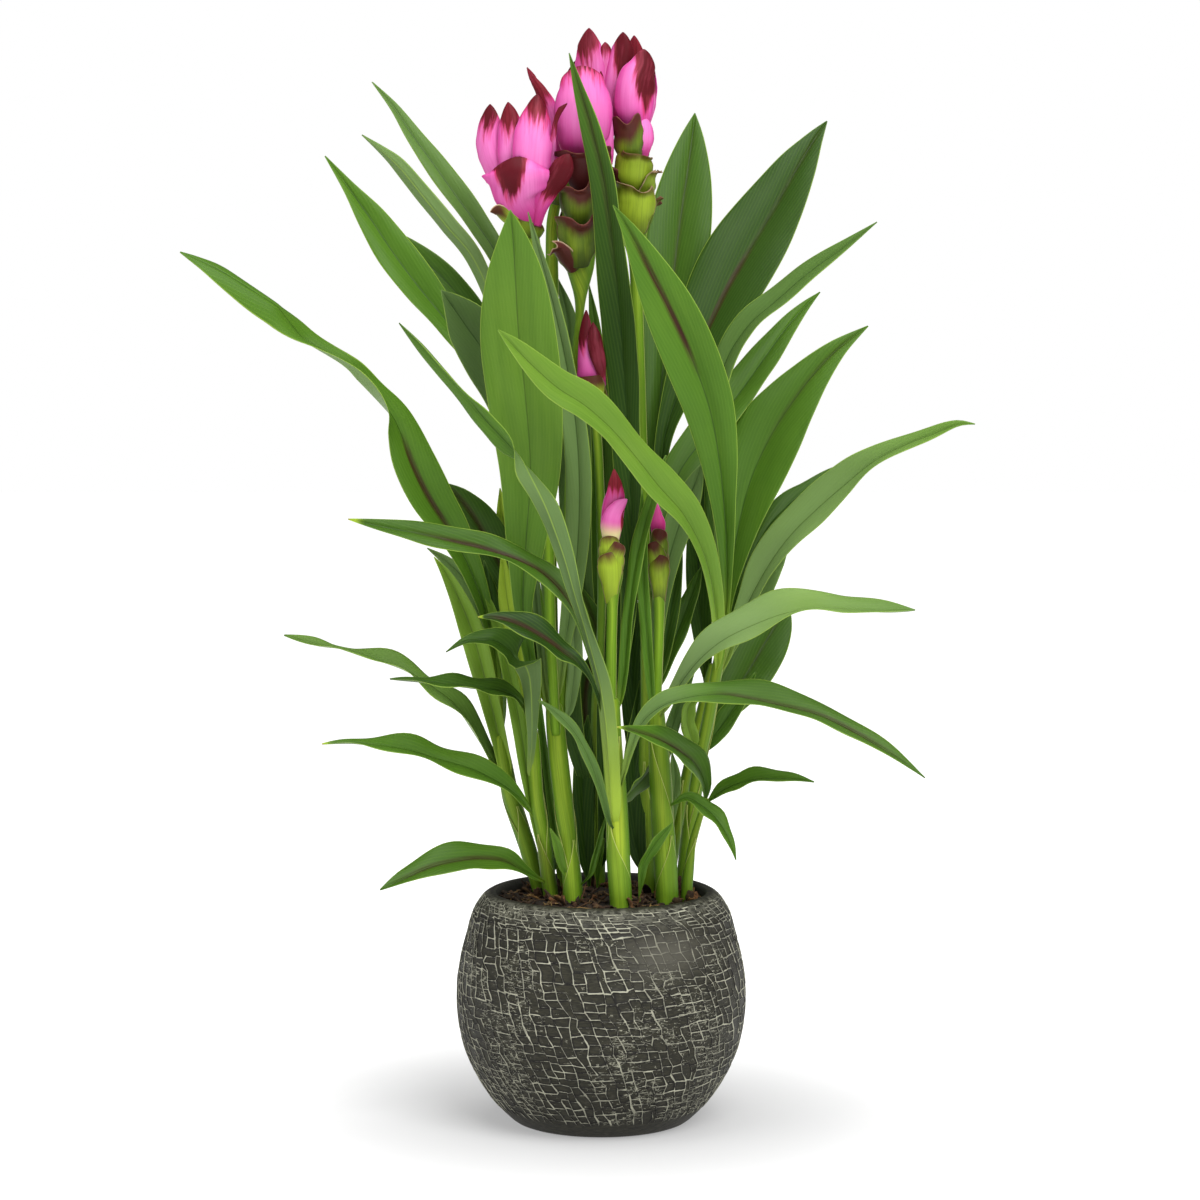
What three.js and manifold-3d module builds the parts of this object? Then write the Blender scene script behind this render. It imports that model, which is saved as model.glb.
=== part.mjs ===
// Potted siam tulip: leafy shoots with pink-bracted flower heads in a round textured pot.
// Millimetres, +Z up. The origin is the centre of the pot's foot, and -Y is the front.
import * as THREE from 'three';
import { mergeVertices } from 'three/addons/utils/BufferGeometryUtils.js';
import Module from 'manifold-3d';

const wasm = await Module();
wasm.setup();

// Driving dimensions
const GAP = 0.3;
const BLADE_THICKNESS = 0.8;
const BRACT_THICKNESS = 0.9;
const POT_RADIUS = 79.6;
const POT_HEIGHT = 127.9;
const POT_FOOT_RADIUS = 46;
const POT_MOUTH_RADIUS = 57.2;
const POT_WALL = 6;
const POT_FLOOR = 8;
const POT_SIDES = 36;
const SOIL_EDGE_HEIGHT = 123.2;
const SOIL_CROWN = 2.6;
const SOIL_RINGS = 3;
const SOIL_SPOKES = 24;
const STEM_SIDES = 8;
const SCAPE_SIDES = 6;
const NARROW_BRACT = 6.6;
const WIDE_BRACT = 8.6;
const WIDE_BLADE = 11;
const STATION_LENGTH = 39;
const FRONT = new THREE.Vector3(0, -1, 0);

// Finishes
const finish = (color, roughness) => new THREE.MeshStandardMaterial({ color, roughness, metalness: 0 });
const POT_GLAZE = finish(0x3f433f, 0.85);
const SOIL_BARK = finish(0x3a2a1e, 0.95);
const STEM_GREEN = finish(0x7fa832, 0.5);
const LEAF_GREEN = finish(0x3f7a26, 0.45);
const BRACT_PINK = finish(0xd6479a, 0.5);
const BRACT_GREEN = finish(0x6d8a2a, 0.5);

// Each stem: [x, y, z, radius] from its foot in the soil to its top.
const STEMS = {
  stem_left: [
    [-31.3, 14, 113, 3.3], [-35.2, 15, 129.7, 3.6], [-43.4, 14, 156.8, 4.4], [-50, 12, 178.3, 4.9],
    [-53.8, 10, 197.6, 4.7], [-56.5, 9, 211, 3.8],
  ],
  stem_left_front: [
    [-26.5, -5, 114.1, 3.5], [-28.2, -5, 129.7, 3.5], [-31.9, -7, 158.9, 3.8],
    [-35.2, -9, 179.1, 4.1], [-36.8, -10, 201.3, 4.1], [-37.8, -11, 215.2, 3.8],
  ],
  stem_centre_left: [
    [-14.9, -18, 113.1, 4.6], [-15.4, -18, 127.5, 4.9], [-18.1, -15, 157.9, 5.1],
    [-21.4, -11, 184.9, 5.7], [-24.2, -6, 209, 5.7], [-25.9, -2, 229, 4.9],
  ],
  stem_front: [
    [11.3, -36, 112, 5.1], [10.7, -36, 127.3, 5.4], [9.1, -37, 155.8, 6.2], [7.4, -38, 188.6, 6.1],
    [5.8, -38, 215.8, 5.6], [5.3, -38, 236.3, 4.8],
  ],
  stem_right_front: [
    [36.5, -20, 114.6, 5.4], [35.9, -20, 127.8, 5.7], [34.2, -20, 158.7, 6.2],
    [32.5, -21, 191.8, 6.2], [30.3, -22, 219.2, 5.4], [29.2, -23, 235.7, 4.3],
  ],
  stem_right: [
    [45, 18, 114.5, 3.9], [46.2, 19, 127.9, 3.9], [49.9, 17, 164.2, 3.9], [54.1, 12, 195.6, 3.6],
    [58.9, 6, 221.4, 3.6], [63.5, 0, 249.7, 3.3], [66.2, -2, 266.4, 2.7],
  ],
  stem_right_back: [
    [26, 12, 111.6, 4.4], [25.4, 12, 125.7, 4.4], [24.9, 13, 164.8, 4.7], [24.8, 12, 198.4, 4.4],
    [25.3, 10, 232, 3.8], [24.7, 8, 260, 3.3],
  ],
  stem_back: [
    [-2.9, 34, 116.3, 4.4], [-2.4, 34, 129.9, 4.4], [-2.4, 33, 167.4, 4.4], [-2.3, 32, 201.4, 4.2],
    [-1.8, 30, 229.8, 3.9], [-0.7, 28, 258, 3.3],
  ],
  stem_right_far: [
    [34.7, 29, 114.3, 3.3], [36.9, 30, 127.2, 3.6], [42.5, 33, 159, 3.6], [49.2, 34, 192.7, 3.3],
    [56.3, 31, 224.1, 3.1], [61.7, 27, 248.1, 2.5],
  ],
  shoot_small: [
    [46.5, -12, 115.9, 2.7], [47, -12, 130.9, 2.7], [49.1, -13, 152.1, 2.4],
    [53.5, -14, 168.8, 1.9], [57.2, -15, 179.9, 1.6],
  ],
};

// Each blade: the stem that carries it, the fold of its two halves in degrees at the base and beyond,
// the height of its edge waves, and its stations [x, y, z, half width, turn about the midrib in degrees].
const LEAVES = {
  leaf_left_1: {
    stem: 'stem_left', foldBase: 30, fold: 16, wave: 2, clear: [],
    rows: [
      [-55.9, 9, 208.8, 2.8, -10], [-57.4, 7.7, 243.4, 2.8, -10], [-61.1, 3.1, 274.2, 4, -15],
      [-70, -3.7, 303.9, 7, -20], [-80.6, -9.7, 326.2, 10, -22], [-91.8, -13.8, 344.9, 12.5, -24],
      [-100.1, -18.1, 363.5, 12.9, -28], [-105.8, -21.5, 380.9, 11.6, -38],
      [-112, -25, 395.5, 10.3, -62], [-125, -29.7, 410.6, 7.2, -76],
      [-136.9, -34.5, 420.8, 5.4, -80], [-160.2, -41.4, 435.7, 9.1, -62],
      [-180.7, -47.4, 449.5, 9.9, -52], [-200.2, -52.5, 463.6, 7.5, -48],
      [-212.4, -55.7, 471.4, 3.6, -48], [-221.5, -58, 476.6, 0.5, -48],
    ],
  },
  leaf_left_2: {
    stem: 'stem_centre_left', foldBase: 24, fold: 14, wave: 1, clear: [],
    rows: [
      [-25.9, -2, 226.8, 2.2, 0], [-30.9, 4.9, 265.8, 2.7, 0], [-40.3, 10.7, 320.5, 2.8, -5],
      [-48.6, 17.2, 369.8, 3.4, -10], [-62.4, 20.3, 409.3, 5.1, -15],
      [-82.2, 21.9, 437.9, 8.1, -18], [-98.6, 22.9, 458.7, 10.9, -20],
      [-113, 24.3, 477.9, 11.2, -20], [-126.7, 26.2, 497.7, 8.5, -20],
      [-139.5, 28.4, 514.7, 3.8, -20], [-152.3, 32, 531.3, 0.4, -20],
    ],
  },
  leaf_left_3: {
    stem: 'stem_back', foldBase: 24, fold: 14, wave: 1, clear: [],
    rows: [
      [-0.7, 28, 255.2, 2.2, 0], [-12.9, 33.4, 291.1, 2.8, 0], [-31.4, 39.4, 341.1, 3.4, -5],
      [-48.2, 46.3, 396.7, 5.1, -10], [-66.8, 53.2, 438.4, 7, -15], [-83.8, 60.9, 460.3, 7.7, -18],
      [-99.3, 68.2, 475, 7.1, -18], [-116.7, 76.3, 487.5, 4.2, -18], [-136.5, 85, 497.9, 0.4, -18],
    ],
  },
  leaf_left_4: {
    stem: 'stem_centre_left', foldBase: 22, fold: 14, wave: 1, clear: [],
    rows: [
      [-25.4, 0, 226.5, 2.2, 180], [-27.7, 9.1, 265.4, 2.2, 180], [-34.9, 17.4, 325.6, 2.8, 180],
      [-43.8, 24.6, 380.6, 3.3, 185], [-54.9, 32.4, 435.7, 4, 190], [-69, 39.8, 473.3, 5, 200],
      [-85.3, 46.9, 493.9, 5.6, 205], [-98.4, 53.4, 510.2, 5.6, 205],
      [-111.6, 60.5, 526.1, 4.7, 205], [-122.1, 68, 535.4, 2.8, 205],
      [-134.9, 75, 545.3, 0.4, 205],
    ],
  },
  leaf_left_5: {
    stem: 'stem_back', foldBase: 24, fold: 14, wave: 1, clear: [],
    rows: [
      [-1.2, 29, 246.7, 2.2, 0], [-6.3, 37, 285.2, 2.2, 0], [-17.5, 46.1, 340.7, 2.8, 0],
      [-29.9, 54, 396.5, 3.4, -5], [-43.4, 60.5, 446.9, 4.6, -10], [-57, 66.6, 476.1, 5.9, -15],
      [-68.4, 73.2, 494.2, 7.2, -25], [-81.1, 79.3, 511.8, 7.9, -30],
      [-94.3, 85.8, 530.1, 7.3, -30], [-106.6, 92.8, 546.3, 5.6, -30],
      [-118.3, 100.2, 562.6, 3, -30], [-131.3, 108, 577.3, 0.4, -30],
    ],
  },
  leaf_left_6: {
    stem: 'stem_centre_left', foldBase: 24, fold: 12, wave: 0.5, clear: [],
    rows: [
      [-26.4, -6, 214.6, 2.2, 0], [-32.4, -3.6, 255.6, 2.5, 0], [-37.3, -1.7, 310.3, 2.7, 0],
      [-42.7, -1.3, 359.5, 4.9, 0], [-50.7, -5.3, 397.8, 12.2, -10],
      [-60.2, -10.5, 420.6, 15.7, -15], [-71.8, -18.1, 438.4, 13.2, -20],
      [-79.5, -23.9, 449.1, 7, -22], [-85.7, -29, 457, 0.3, -22],
    ],
  },
  leaf_left_7: {
    stem: 'stem_front', foldBase: 26, fold: 14, wave: 2, clear: [],
    rows: [
      [4.7, -42, 219, 1.8, -150], [2, -47, 238.4, 2.8, -150], [-3.3, -52, 263.1, 3.6, -145],
      [-11.3, -57, 291.3, 3.9, -145], [-18.6, -61, 316.6, 5.2, -155], [-27.5, -65, 340.1, 6, -165],
      [-38, -68, 358.2, 5.1, -215], [-49.4, -70, 374, 7.4, -310], [-60.4, -71, 386.6, 6.4, -325],
      [-71.8, -72, 399.2, 7.4, -295], [-84.3, -73, 414.4, 6.1, -290], [-94.7, -73, 426.9, 5, -295],
      [-105.7, -72, 439.4, 0.6, -300],
    ],
  },
  leaf_left_8: {
    stem: 'stem_front', foldBase: 24, fold: 14, wave: 2, clear: [],
    rows: [
      [4.2, -37, 225.4, 1.7, -20], [-0.6, -40.4, 248.5, 2.9, -25], [-7.1, -44.2, 271.5, 4.6, -35],
      [-15.6, -47.3, 291.1, 6.4, -45], [-27.3, -49.7, 306.2, 8.8, -55],
      [-41, -52.3, 314.9, 9.2, -55], [-59.1, -53.1, 320.8, 8.2, -50],
      [-77.6, -54, 325.2, 7.8, -42], [-96.1, -54.2, 329.4, 7.6, -40],
      [-114.7, -53.5, 332, 4.5, -40], [-134.4, -53, 335.7, 0.4, -40],
    ],
  },
  leaf_left_9: {
    stem: 'stem_left', foldBase: 24, fold: 14, wave: 2.5, clear: [],
    rows: [
      [-51.6, 12, 181.7, 2.2, -30], [-58.7, 8.6, 199.4, 4.9, -60], [-67.9, 5.8, 216.4, 7.1, -65],
      [-78.8, 3.4, 231.7, 7.8, -65], [-91.9, 2.5, 241.7, 7, -62], [-106.1, 1.8, 251.2, 7.8, -65],
      [-121.4, 1.5, 257.3, 8, -72], [-140.6, 1.4, 262.3, 3.6, -84], [-157.2, 2.6, 264.9, 5.2, -65],
      [-174.4, 5, 268.5, 0.7, -60],
    ],
  },
  leaf_left_10: {
    stem: 'stem_left_front', foldBase: 22, fold: 14, wave: 1.5, clear: [],
    rows: [
      [-37.8, -13, 220.9, 1.9, -30], [-43.5, -20.9, 235.5, 3.8, -55],
      [-53.6, -28.8, 242.9, 6.9, -62], [-66.3, -36.3, 245.9, 8.6, -66],
      [-81, -43.4, 248.3, 7, -70], [-96.7, -50, 250, 4.4, -76], [-112.4, -56, 250.7, 0.9, -76],
    ],
  },
  leaf_left_11: {
    stem: 'stem_left_front', foldBase: 22, fold: 14, wave: 2, clear: [],
    rows: [
      [-32.5, -7, 162.2, 1.7, -20], [-40.1, -10.8, 176, 2.5, -40], [-50.8, -16.4, 188.4, 6.1, -55],
      [-68.6, -22.6, 199.6, 8.6, -58], [-87.2, -29.3, 206.5, 9.6, -58],
      [-103.1, -35.4, 212.2, 9.1, -62], [-118.8, -41.9, 215.2, 7, -70],
      [-134.5, -47.8, 216.4, 3.5, -74], [-149, -53, 215.5, 0.9, -74],
    ],
  },
  leaf_left_12: {
    stem: 'stem_left_front', foldBase: 22, fold: 14, wave: 1.5, clear: [],
    rows: [
      [-28.7, -6, 131, 1.4, -20], [-34.6, -14.8, 136.9, 2.7, -45], [-43.1, -22.4, 143.6, 4.7, -55],
      [-52.7, -29.6, 150.3, 7.5, -55], [-65.4, -37.3, 153.2, 10, -50],
      [-78.1, -44.4, 153.2, 10.8, -50], [-91.8, -50.9, 150.5, 8.7, -48],
      [-104.8, -56.8, 144.9, 5.5, -48], [-117.9, -62, 138.3, 0.5, -48],
    ],
  },
  leaf_left_13: {
    stem: 'stem_front', foldBase: 22, fold: 14, wave: 1.5, clear: ['leaf_left_7'],
    rows: [
      [5.8, -40, 209.5, 1.7, -20], [1, -48, 232.1, 2.1, -30], [-4.9, -55, 249, 4.1, -45],
      [-15.5, -60, 262.3, 6.6, -50], [-26, -64, 273.3, 9.4, -50], [-36.5, -67, 279.4, 9, -48],
      [-47, -69, 283.3, 6.3, -48], [-56, -70, 284.5, 3.5, -48], [-64.9, -71, 284.6, 0.4, -48],
    ],
  },
  leaf_left_14: {
    stem: 'stem_left_front', foldBase: 26, fold: 16, wave: 1, clear: ['leaf_left_10'],
    rows: [
      [-36.2, -10, 187.5, 2.2, -180], [-37.7, -16, 210.3, 3.5, -180],
      [-38.1, -20, 232.7, 4.6, -178], [-38, -23, 246.6, 6, -172], [-40.1, -27, 255.8, 7.9, -145],
      [-45.9, -32, 263.8, 19.7, -95], [-54.4, -37, 270.3, 9.6, -60], [-63.9, -41, 271.7, 6.5, -55],
      [-73.4, -44, 269.8, 2.9, -50], [-83, -46, 264.1, 0.4, -50],
    ],
  },
  leaf_left_15: {
    stem: 'stem_left', foldBase: 34, fold: 26, wave: 1, clear: [],
    rows: [
      [-50.4, 9, 179.3, 4.9, 0], [-54.7, 5, 203.8, 4.9, 0], [-60.6, 1, 230.3, 6, 0],
      [-65.8, -3, 252.8, 7.4, 0], [-71.1, -6, 272.3, 7.3, 0], [-77.5, -9, 289, 5.4, 0],
      [-84.4, -12, 303.4, 3, 0], [-90.8, -14, 312.8, 0.3, 0],
    ],
  },
  leaf_left_16: {
    stem: 'stem_left', foldBase: 28, fold: 20, wave: 1, clear: [],
    rows: [
      [-55.5, 14, 206.5, 2.2, 0], [-55, 17, 231.3, 2.8, 0], [-58.3, 18.1, 259, 4.4, 0],
      [-64.9, 18.9, 281.2, 5.3, -5], [-73.7, 19.4, 296.1, 5.3, -10],
      [-84.2, 20.4, 307.1, 3.4, -15], [-96.5, 23, 315.3, 0.3, -15],
    ],
  },
  leaf_left_17: {
    stem: 'stem_centre_left', foldBase: 24, fold: 14, wave: 1, clear: [],
    rows: [
      [-27.1, 3, 224.5, 2.2, 0], [-34.9, 10.4, 257, 4.4, 0], [-47.1, 16.3, 286.9, 9.4, 0],
      [-58.2, 21.2, 311, 12.2, -5], [-68.3, 25.1, 329.6, 11.2, -10],
      [-77.8, 28.7, 342.2, 6.8, -12], [-86.9, 33, 350.9, 0.3, -12],
    ],
  },
  leaf_centre_1: {
    stem: null, foldBase: 26, fold: 9, wave: 1, clear: [],
    rows: [
      [-18.9, 5, 118.5, 2.7, 0], [-21.7, 5, 132.5, 2.7, 0], [-26.1, 4, 163.3, 2.5, 0],
      [-30.4, 3, 196.8, 2.2, 0], [-34.1, -6, 228.3, 2.2, 0], [-38.7, -16, 255.7, 3.2, 0],
      [-42.3, -24, 287.5, 5.4, 0], [-40.4, -31, 323.2, 11, 0], [-38.1, -37, 361.1, 16.6, 3],
      [-40.6, -43, 398.6, 20.3, 4], [-44.1, -49, 433.1, 20.5, 4], [-45.4, -55, 462, 15.9, 2],
      [-46.3, -60, 482.8, 8.4, 0], [-47.7, -64, 498.4, 0.3, 0],
    ],
  },
  leaf_centre_2: {
    stem: 'stem_centre_left', foldBase: 24, fold: 14, wave: 1, clear: ['leaf_left_2', 'leaf_left_4'],
    rows: [
      [-24.8, -1, 225.5, 2.2, 10], [-21.5, 0, 255.2, 3.3, 12], [-16.5, -1, 288.3, 5.6, 14],
      [-13.2, -2, 321.3, 7.3, 14], [-12.6, -4, 354.2, 7.7, 16], [-14.8, -7, 387, 6.9, 20],
      [-19.6, -10, 416.8, 6.3, 26], [-26, -13, 446.5, 5.3, 30], [-32.4, -16, 472.2, 3.6, 34],
      [-39.3, -19, 498.9, 0.3, 36],
    ],
  },
  leaf_centre_3: {
    stem: 'stem_front', foldBase: 24, fold: 12, wave: 1, clear: [],
    rows: [
      [7.4, -34, 223.4, 1.9, 0], [11.2, -27, 252.5, 2.7, 10], [14, -21, 290, 4.5, 15],
      [14.5, -18, 333.2, 6.3, 20], [11.8, -17, 376.4, 7.8, 25], [9.6, -17, 414.2, 8.9, 28],
      [6.9, -18, 451.8, 9.1, 30], [3.1, -20, 486.6, 8.1, 30], [-0.6, -22, 515.8, 7.5, 30],
      [-7.1, -24, 544.9, 5.6, 30], [-12.4, -26, 565.9, 3.1, 30], [-17.1, -28, 582.7, 0.3, 30],
    ],
  },
  leaf_centre_4: {
    stem: 'stem_right', foldBase: 26, fold: 12, wave: 1, clear: [],
    rows: [
      [65.6, -3, 258.3, 2.2, 0], [67.9, -12, 289.2, 2.7, 5], [67.5, -20, 319.8, 4.9, 8],
      [65.6, -27, 344.5, 7.3, 8], [62.6, -33, 368.9, 10.8, 8], [57, -39, 395.8, 14, 6],
      [47.2, -44, 422.5, 15.2, 4], [35.9, -48, 447.3, 13.8, 2], [24.7, -51, 469.4, 9.3, 0],
      [15.2, -53, 487.2, 4.5, 0], [6.2, -54, 501.3, 0.3, 0],
    ],
  },
  leaf_centre_5: {
    stem: 'stem_right', foldBase: 24, fold: 12, wave: 1.5, clear: [],
    rows: [
      [63.5, -1, 243.2, 2, -20], [62.8, -18, 278.8, 3.7, -30], [56.8, -34, 312.6, 5.4, -38],
      [45.7, -47, 337.5, 9.4, -40], [32.2, -56, 354.5, 11.4, -40], [18.3, -65, 371.7, 10, -40],
      [5.7, -73, 386.2, 10.3, -38], [-7.9, -80, 398.3, 11, -36], [-21.4, -86, 406.8, 10, -34],
      [-33.7, -91, 417.2, 8, -32], [-44.5, -95, 427.5, 4.5, -30], [-53.1, -98, 435.8, 0.4, -30],
    ],
  },
  leaf_centre_7: {
    stem: 'stem_back', foldBase: 24, fold: 14, wave: 1, clear: ['leaf_left_5', 'leaf_left_3'],
    rows: [
      [-1.8, 31, 221.3, 2.3, 10], [-0.7, 31.1, 257.7, 4.6, 15], [0.4, 32.4, 296.8, 7.1, 20],
      [1, 33.4, 341.4, 8, 20], [0.4, 35.2, 380.2, 7.1, 20], [-1.8, 36.6, 413.5, 5.3, 20],
      [-4, 38.5, 441.2, 3, 20], [-6.8, 41, 461.1, 0.3, 20],
    ],
  },
  leaf_right_1: {
    stem: 'stem_right_back', foldBase: 22, fold: 10, wave: 0.5, clear: [],
    rows: [
      [25.3, 12, 254, 2.2, 0], [27, 21.4, 286.5, 2.8, 0], [28.9, 34.3, 330.2, 3.9, 0],
      [31.2, 44.3, 374.4, 6.7, 0], [35.2, 55.1, 418.9, 12.9, 0], [39.9, 65.7, 458.1, 17.5, 0],
      [44.6, 77.1, 494.9, 18.2, 0], [48.7, 87.1, 521.7, 14.3, 0], [51.8, 96.8, 543.7, 7.5, 0],
      [53.7, 106, 559.5, 0.3, 0],
    ],
  },
  leaf_right_2: {
    stem: 'stem_right_back', foldBase: 24, fold: 12, wave: 0.5, clear: [],
    rows: [
      [25.8, 10, 257, 2.2, 0], [30.3, 16.1, 286.9, 2.8, 5], [32, 25.4, 330.7, 3.6, 8],
      [33.7, 30.5, 369.3, 4.5, 12], [41, 35.3, 396.9, 8.1, 16], [53.3, 39.7, 426.2, 14.8, 20],
      [67.3, 45.7, 456.8, 21.4, 20], [82.1, 53.2, 482.5, 22.1, 20], [96.9, 61.2, 506.1, 18, 20],
      [109.6, 68.7, 527, 12.1, 20], [120.1, 76.6, 543.1, 5.4, 20], [127.9, 84, 553.6, 0.4, 20],
    ],
  },
  leaf_right_3: {
    stem: 'stem_right', foldBase: 22, fold: 12, wave: 1, clear: [],
    rows: [
      [64.2, 3, 238.4, 1.9, 10], [67.3, -1.5, 274.6, 2.9, 20], [66, -3.5, 315.9, 3.8, 30],
      [63.1, -5.1, 354.3, 4.7, 35], [61.4, -4.4, 386.9, 6, 40], [65.6, -4.4, 416.7, 7.6, 44],
      [78, -5.2, 438.4, 8.6, 46], [94.2, -5.7, 453, 8.6, 46], [112, -6, 468.1, 7.4, 46],
      [132, -6.1, 481.6, 3.9, 46], [149.3, -5, 494, 0.4, 46],
    ],
  },
  leaf_right_4: {
    stem: 'stem_right_back', foldBase: 24, fold: 12, wave: 1, clear: ['leaf_right_2'],
    rows: [
      [25.8, 8, 237.8, 1.9, 0], [30.7, 5.1, 276.8, 2.8, 8], [32.9, 7.4, 309.7, 4.5, 12],
      [35.7, 11.6, 334.2, 6.9, 16], [42.3, 17.4, 357.6, 10, 20], [56.4, 26.8, 377.2, 10.9, 24],
      [74.6, 41.9, 399.5, 11.1, 28], [90.3, 56.4, 420, 9.8, 30], [103.8, 69.5, 436.8, 6.5, 30],
      [115.2, 80, 448.7, 3.3, 30], [124.8, 89, 457.2, 0.4, 30],
    ],
  },
  leaf_right_5: {
    stem: 'stem_right', foldBase: 24, fold: 12, wave: 0.5, clear: ['leaf_right_3'],
    rows: [
      [65.7, 0, 258, 2.2, 0], [69.3, 10.4, 290.2, 4.5, 10], [73.9, 17.1, 322.9, 12, 15],
      [81.2, 22.9, 353, 19.2, 18], [92.4, 27.5, 377.7, 20.1, 20], [104.7, 31.9, 395.9, 16, 20],
      [117.1, 36, 411.3, 11, 20], [131.8, 40.7, 425.7, 5.6, 20], [148.9, 46, 437.9, 0.4, 20],
    ],
  },
  leaf_right_6: {
    stem: 'stem_right', foldBase: 24, fold: 14, wave: 1.5, clear: ['leaf_right_5', 'leaf_right_3'],
    rows: [
      [64.7, 2, 241.2, 2, 20], [71.1, -2.5, 266.5, 4, 35], [79, -7.6, 288.9, 6.6, 42],
      [88.5, -13, 309.5, 10.5, 48], [100, -19.8, 326.8, 13, 50], [114.6, -26.8, 342.3, 13.4, 50],
      [129.6, -34.1, 355.6, 11.3, 50], [144, -40.6, 367.1, 8.2, 52], [160, -46.4, 375.8, 6.8, 54],
      [175.4, -51.4, 381.8, 5.2, 56], [188.3, -54.6, 386.2, 3, 58], [197.5, -57, 386.2, 0.5, 58],
    ],
  },
  leaf_right_7: {
    stem: 'stem_right_far', foldBase: 24, fold: 14, wave: 1, clear: [],
    rows: [
      [61.8, 28, 235.6, 2.1, 20], [69.6, 30.8, 263.4, 3.8, 30], [78.6, 36.4, 299.3, 6.8, 35],
      [90.6, 44.3, 324, 8.5, 38], [103.9, 52.3, 338.1, 7.3, 40], [116.8, 61.3, 347.3, 5.5, 40],
      [128.6, 70.3, 354.2, 3.3, 40], [139.5, 80, 360.1, 0.4, 40],
    ],
  },
  leaf_right_8: {
    stem: 'stem_right_front', foldBase: 22, fold: 14, wave: 1.5, clear: [],
    rows: [
      [29.7, -27, 222.6, 2, 20], [38, -38.6, 241.3, 4.2, 45], [48.5, -48.8, 259, 7.3, 52],
      [61, -57.4, 272.7, 12, 55], [77, -65.5, 283, 14.9, 58], [94, -72.8, 290.5, 14.5, 62],
      [112, -79.5, 294.2, 11.8, 68], [129.9, -85.4, 293.7, 10.7, 70], [147.8, -90.6, 292, 7.6, 72],
      [163, -95, 290.8, 0.8, 72],
    ],
  },
  leaf_right_9: {
    stem: 'stem_front', foldBase: 22, fold: 14, wave: 2, clear: [],
    rows: [
      [8.5, -42, 183.8, 1.7, 20], [14.3, -52.4, 209.5, 2.6, 35], [20.6, -59.3, 228, 4.3, 48],
      [32.2, -65.5, 239.4, 7, 58], [47.9, -71, 245.4, 9.5, 62], [63.6, -75.7, 247.5, 10.7, 64],
      [79.2, -79.6, 245.8, 12.2, 62], [96.3, -83.7, 242, 10.8, 58], [114.4, -87, 237.1, 8.8, 58],
      [132.6, -89.5, 227.9, 6.9, 58], [150.8, -91.2, 216.6, 4.9, 58], [169.2, -92, 202.5, 0.5, 58],
    ],
  },
  leaf_right_10: {
    stem: 'shoot_small', foldBase: 22, fold: 14, wave: 1, fused: true, clear: [],
    rows: [
      [56.1, -15, 176.6, 1.9, 30], [61.3, -22.1, 183.7, 3.8, 50], [70.8, -30.2, 191.4, 6.4, 60],
      [82.9, -37.2, 196.1, 7.3, 64], [98.7, -43.8, 197, 5.2, 66], [113.9, -50, 194.6, 0.7, 66],
    ],
  },
  leaf_right_11: {
    stem: 'stem_right_front', foldBase: 22, fold: 14, wave: 1, fused: true, clear: [],
    rows: [
      [34.1, -26, 173.3, 1.4, 20], [44.8, -32, 184, 2.8, 40], [54.9, -37, 180.9, 5.4, 50],
      [62.9, -41, 173.9, 5.3, 45], [68.7, -44, 164, 3.4, 45], [72.4, -46, 151.8, 0.4, 45],
    ],
  },
  leaf_right_12: {
    stem: 'shoot_small', foldBase: 22, fold: 14, wave: 1, fused: true, clear: [],
    rows: [
      [56.7, -15, 174.4, 1.4, -20], [57.4, -26, 189.7, 4.2, -40], [52.6, -42, 203.8, 8.3, -50],
      [43, -57, 213.8, 9, -52], [31.6, -69, 221.2, 7.3, -52], [20.4, -77, 225.4, 4.2, -52],
      [8.3, -82, 228.1, 0.4, -52],
    ],
  },
  leaf_right_13: {
    stem: 'stem_right_far', foldBase: 24, fold: 12, wave: 1, clear: [],
    rows: [
      [54.7, 33, 209.8, 1.9, 0], [61.1, 39.9, 216.3, 5, 5], [71.5, 49.9, 227.6, 10.8, 10],
      [82.7, 60.2, 242.4, 14.4, 12], [92.1, 69.8, 256.8, 14.5, 12], [100.6, 80.4, 269.1, 9.9, 12],
      [108, 91, 279.7, 0.4, 12],
    ],
  },
  leaf_right_15: {
    stem: 'stem_right_front', foldBase: 24, fold: 14, wave: 1, clear: [],
    rows: [
      [29.8, -19, 223.3, 1.9, 0], [29.3, -13, 253.8, 3.3, 5], [32.1, -6, 286, 5, 10],
      [37, -3, 312.1, 6.7, 12], [44.7, 0, 336.5, 8.4, 12], [51.3, 2, 352.8, 5, 12],
      [55.1, 3, 363.2, 0.3, 12],
    ],
  },
  leaf_right_16: {
    stem: 'stem_right_far', foldBase: 24, fold: 14, wave: 1, clear: [],
    rows: [
      [59.5, 28, 232.8, 1.9, 0], [57.4, 33.6, 257.5, 5, 0], [54.9, 43.8, 287.5, 7, 0],
      [55.1, 55, 314.9, 7.3, 0], [57.1, 66.8, 339.6, 5.1, 0], [59.7, 79, 358.4, 0.3, 0],
    ],
  },
  leaf_right_17: {
    stem: 'stem_front', foldBase: 24, fold: 14, wave: 1, clear: [],
    rows: [
      [8, -38, 223.9, 1.6, 0], [11.7, -40, 251.1, 2.8, 15], [14.4, -38, 283.3, 3.5, 25],
      [18.1, -37, 311.7, 4.3, 30], [23.5, -36, 334.2, 4.3, 30], [29.4, -34, 352.9, 3.1, 30],
      [34.7, -33, 368.9, 0.4, 30],
    ],
  },
  leaf_right_18: {
    stem: 'stem_right_front', foldBase: 24, fold: 14, wave: 1, fused: true, clear: [],
    rows: [
      [28.6, -25, 222.3, 1.6, 0], [26.4, -27, 247.1, 2.7, 5], [24.2, -27, 274.2, 3.3, 10],
      [22.5, -27, 301.3, 3.3, 10], [22, -27, 328.3, 2.7, 10], [22, -27, 349.9, 0.3, 10],
    ],
  },
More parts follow.
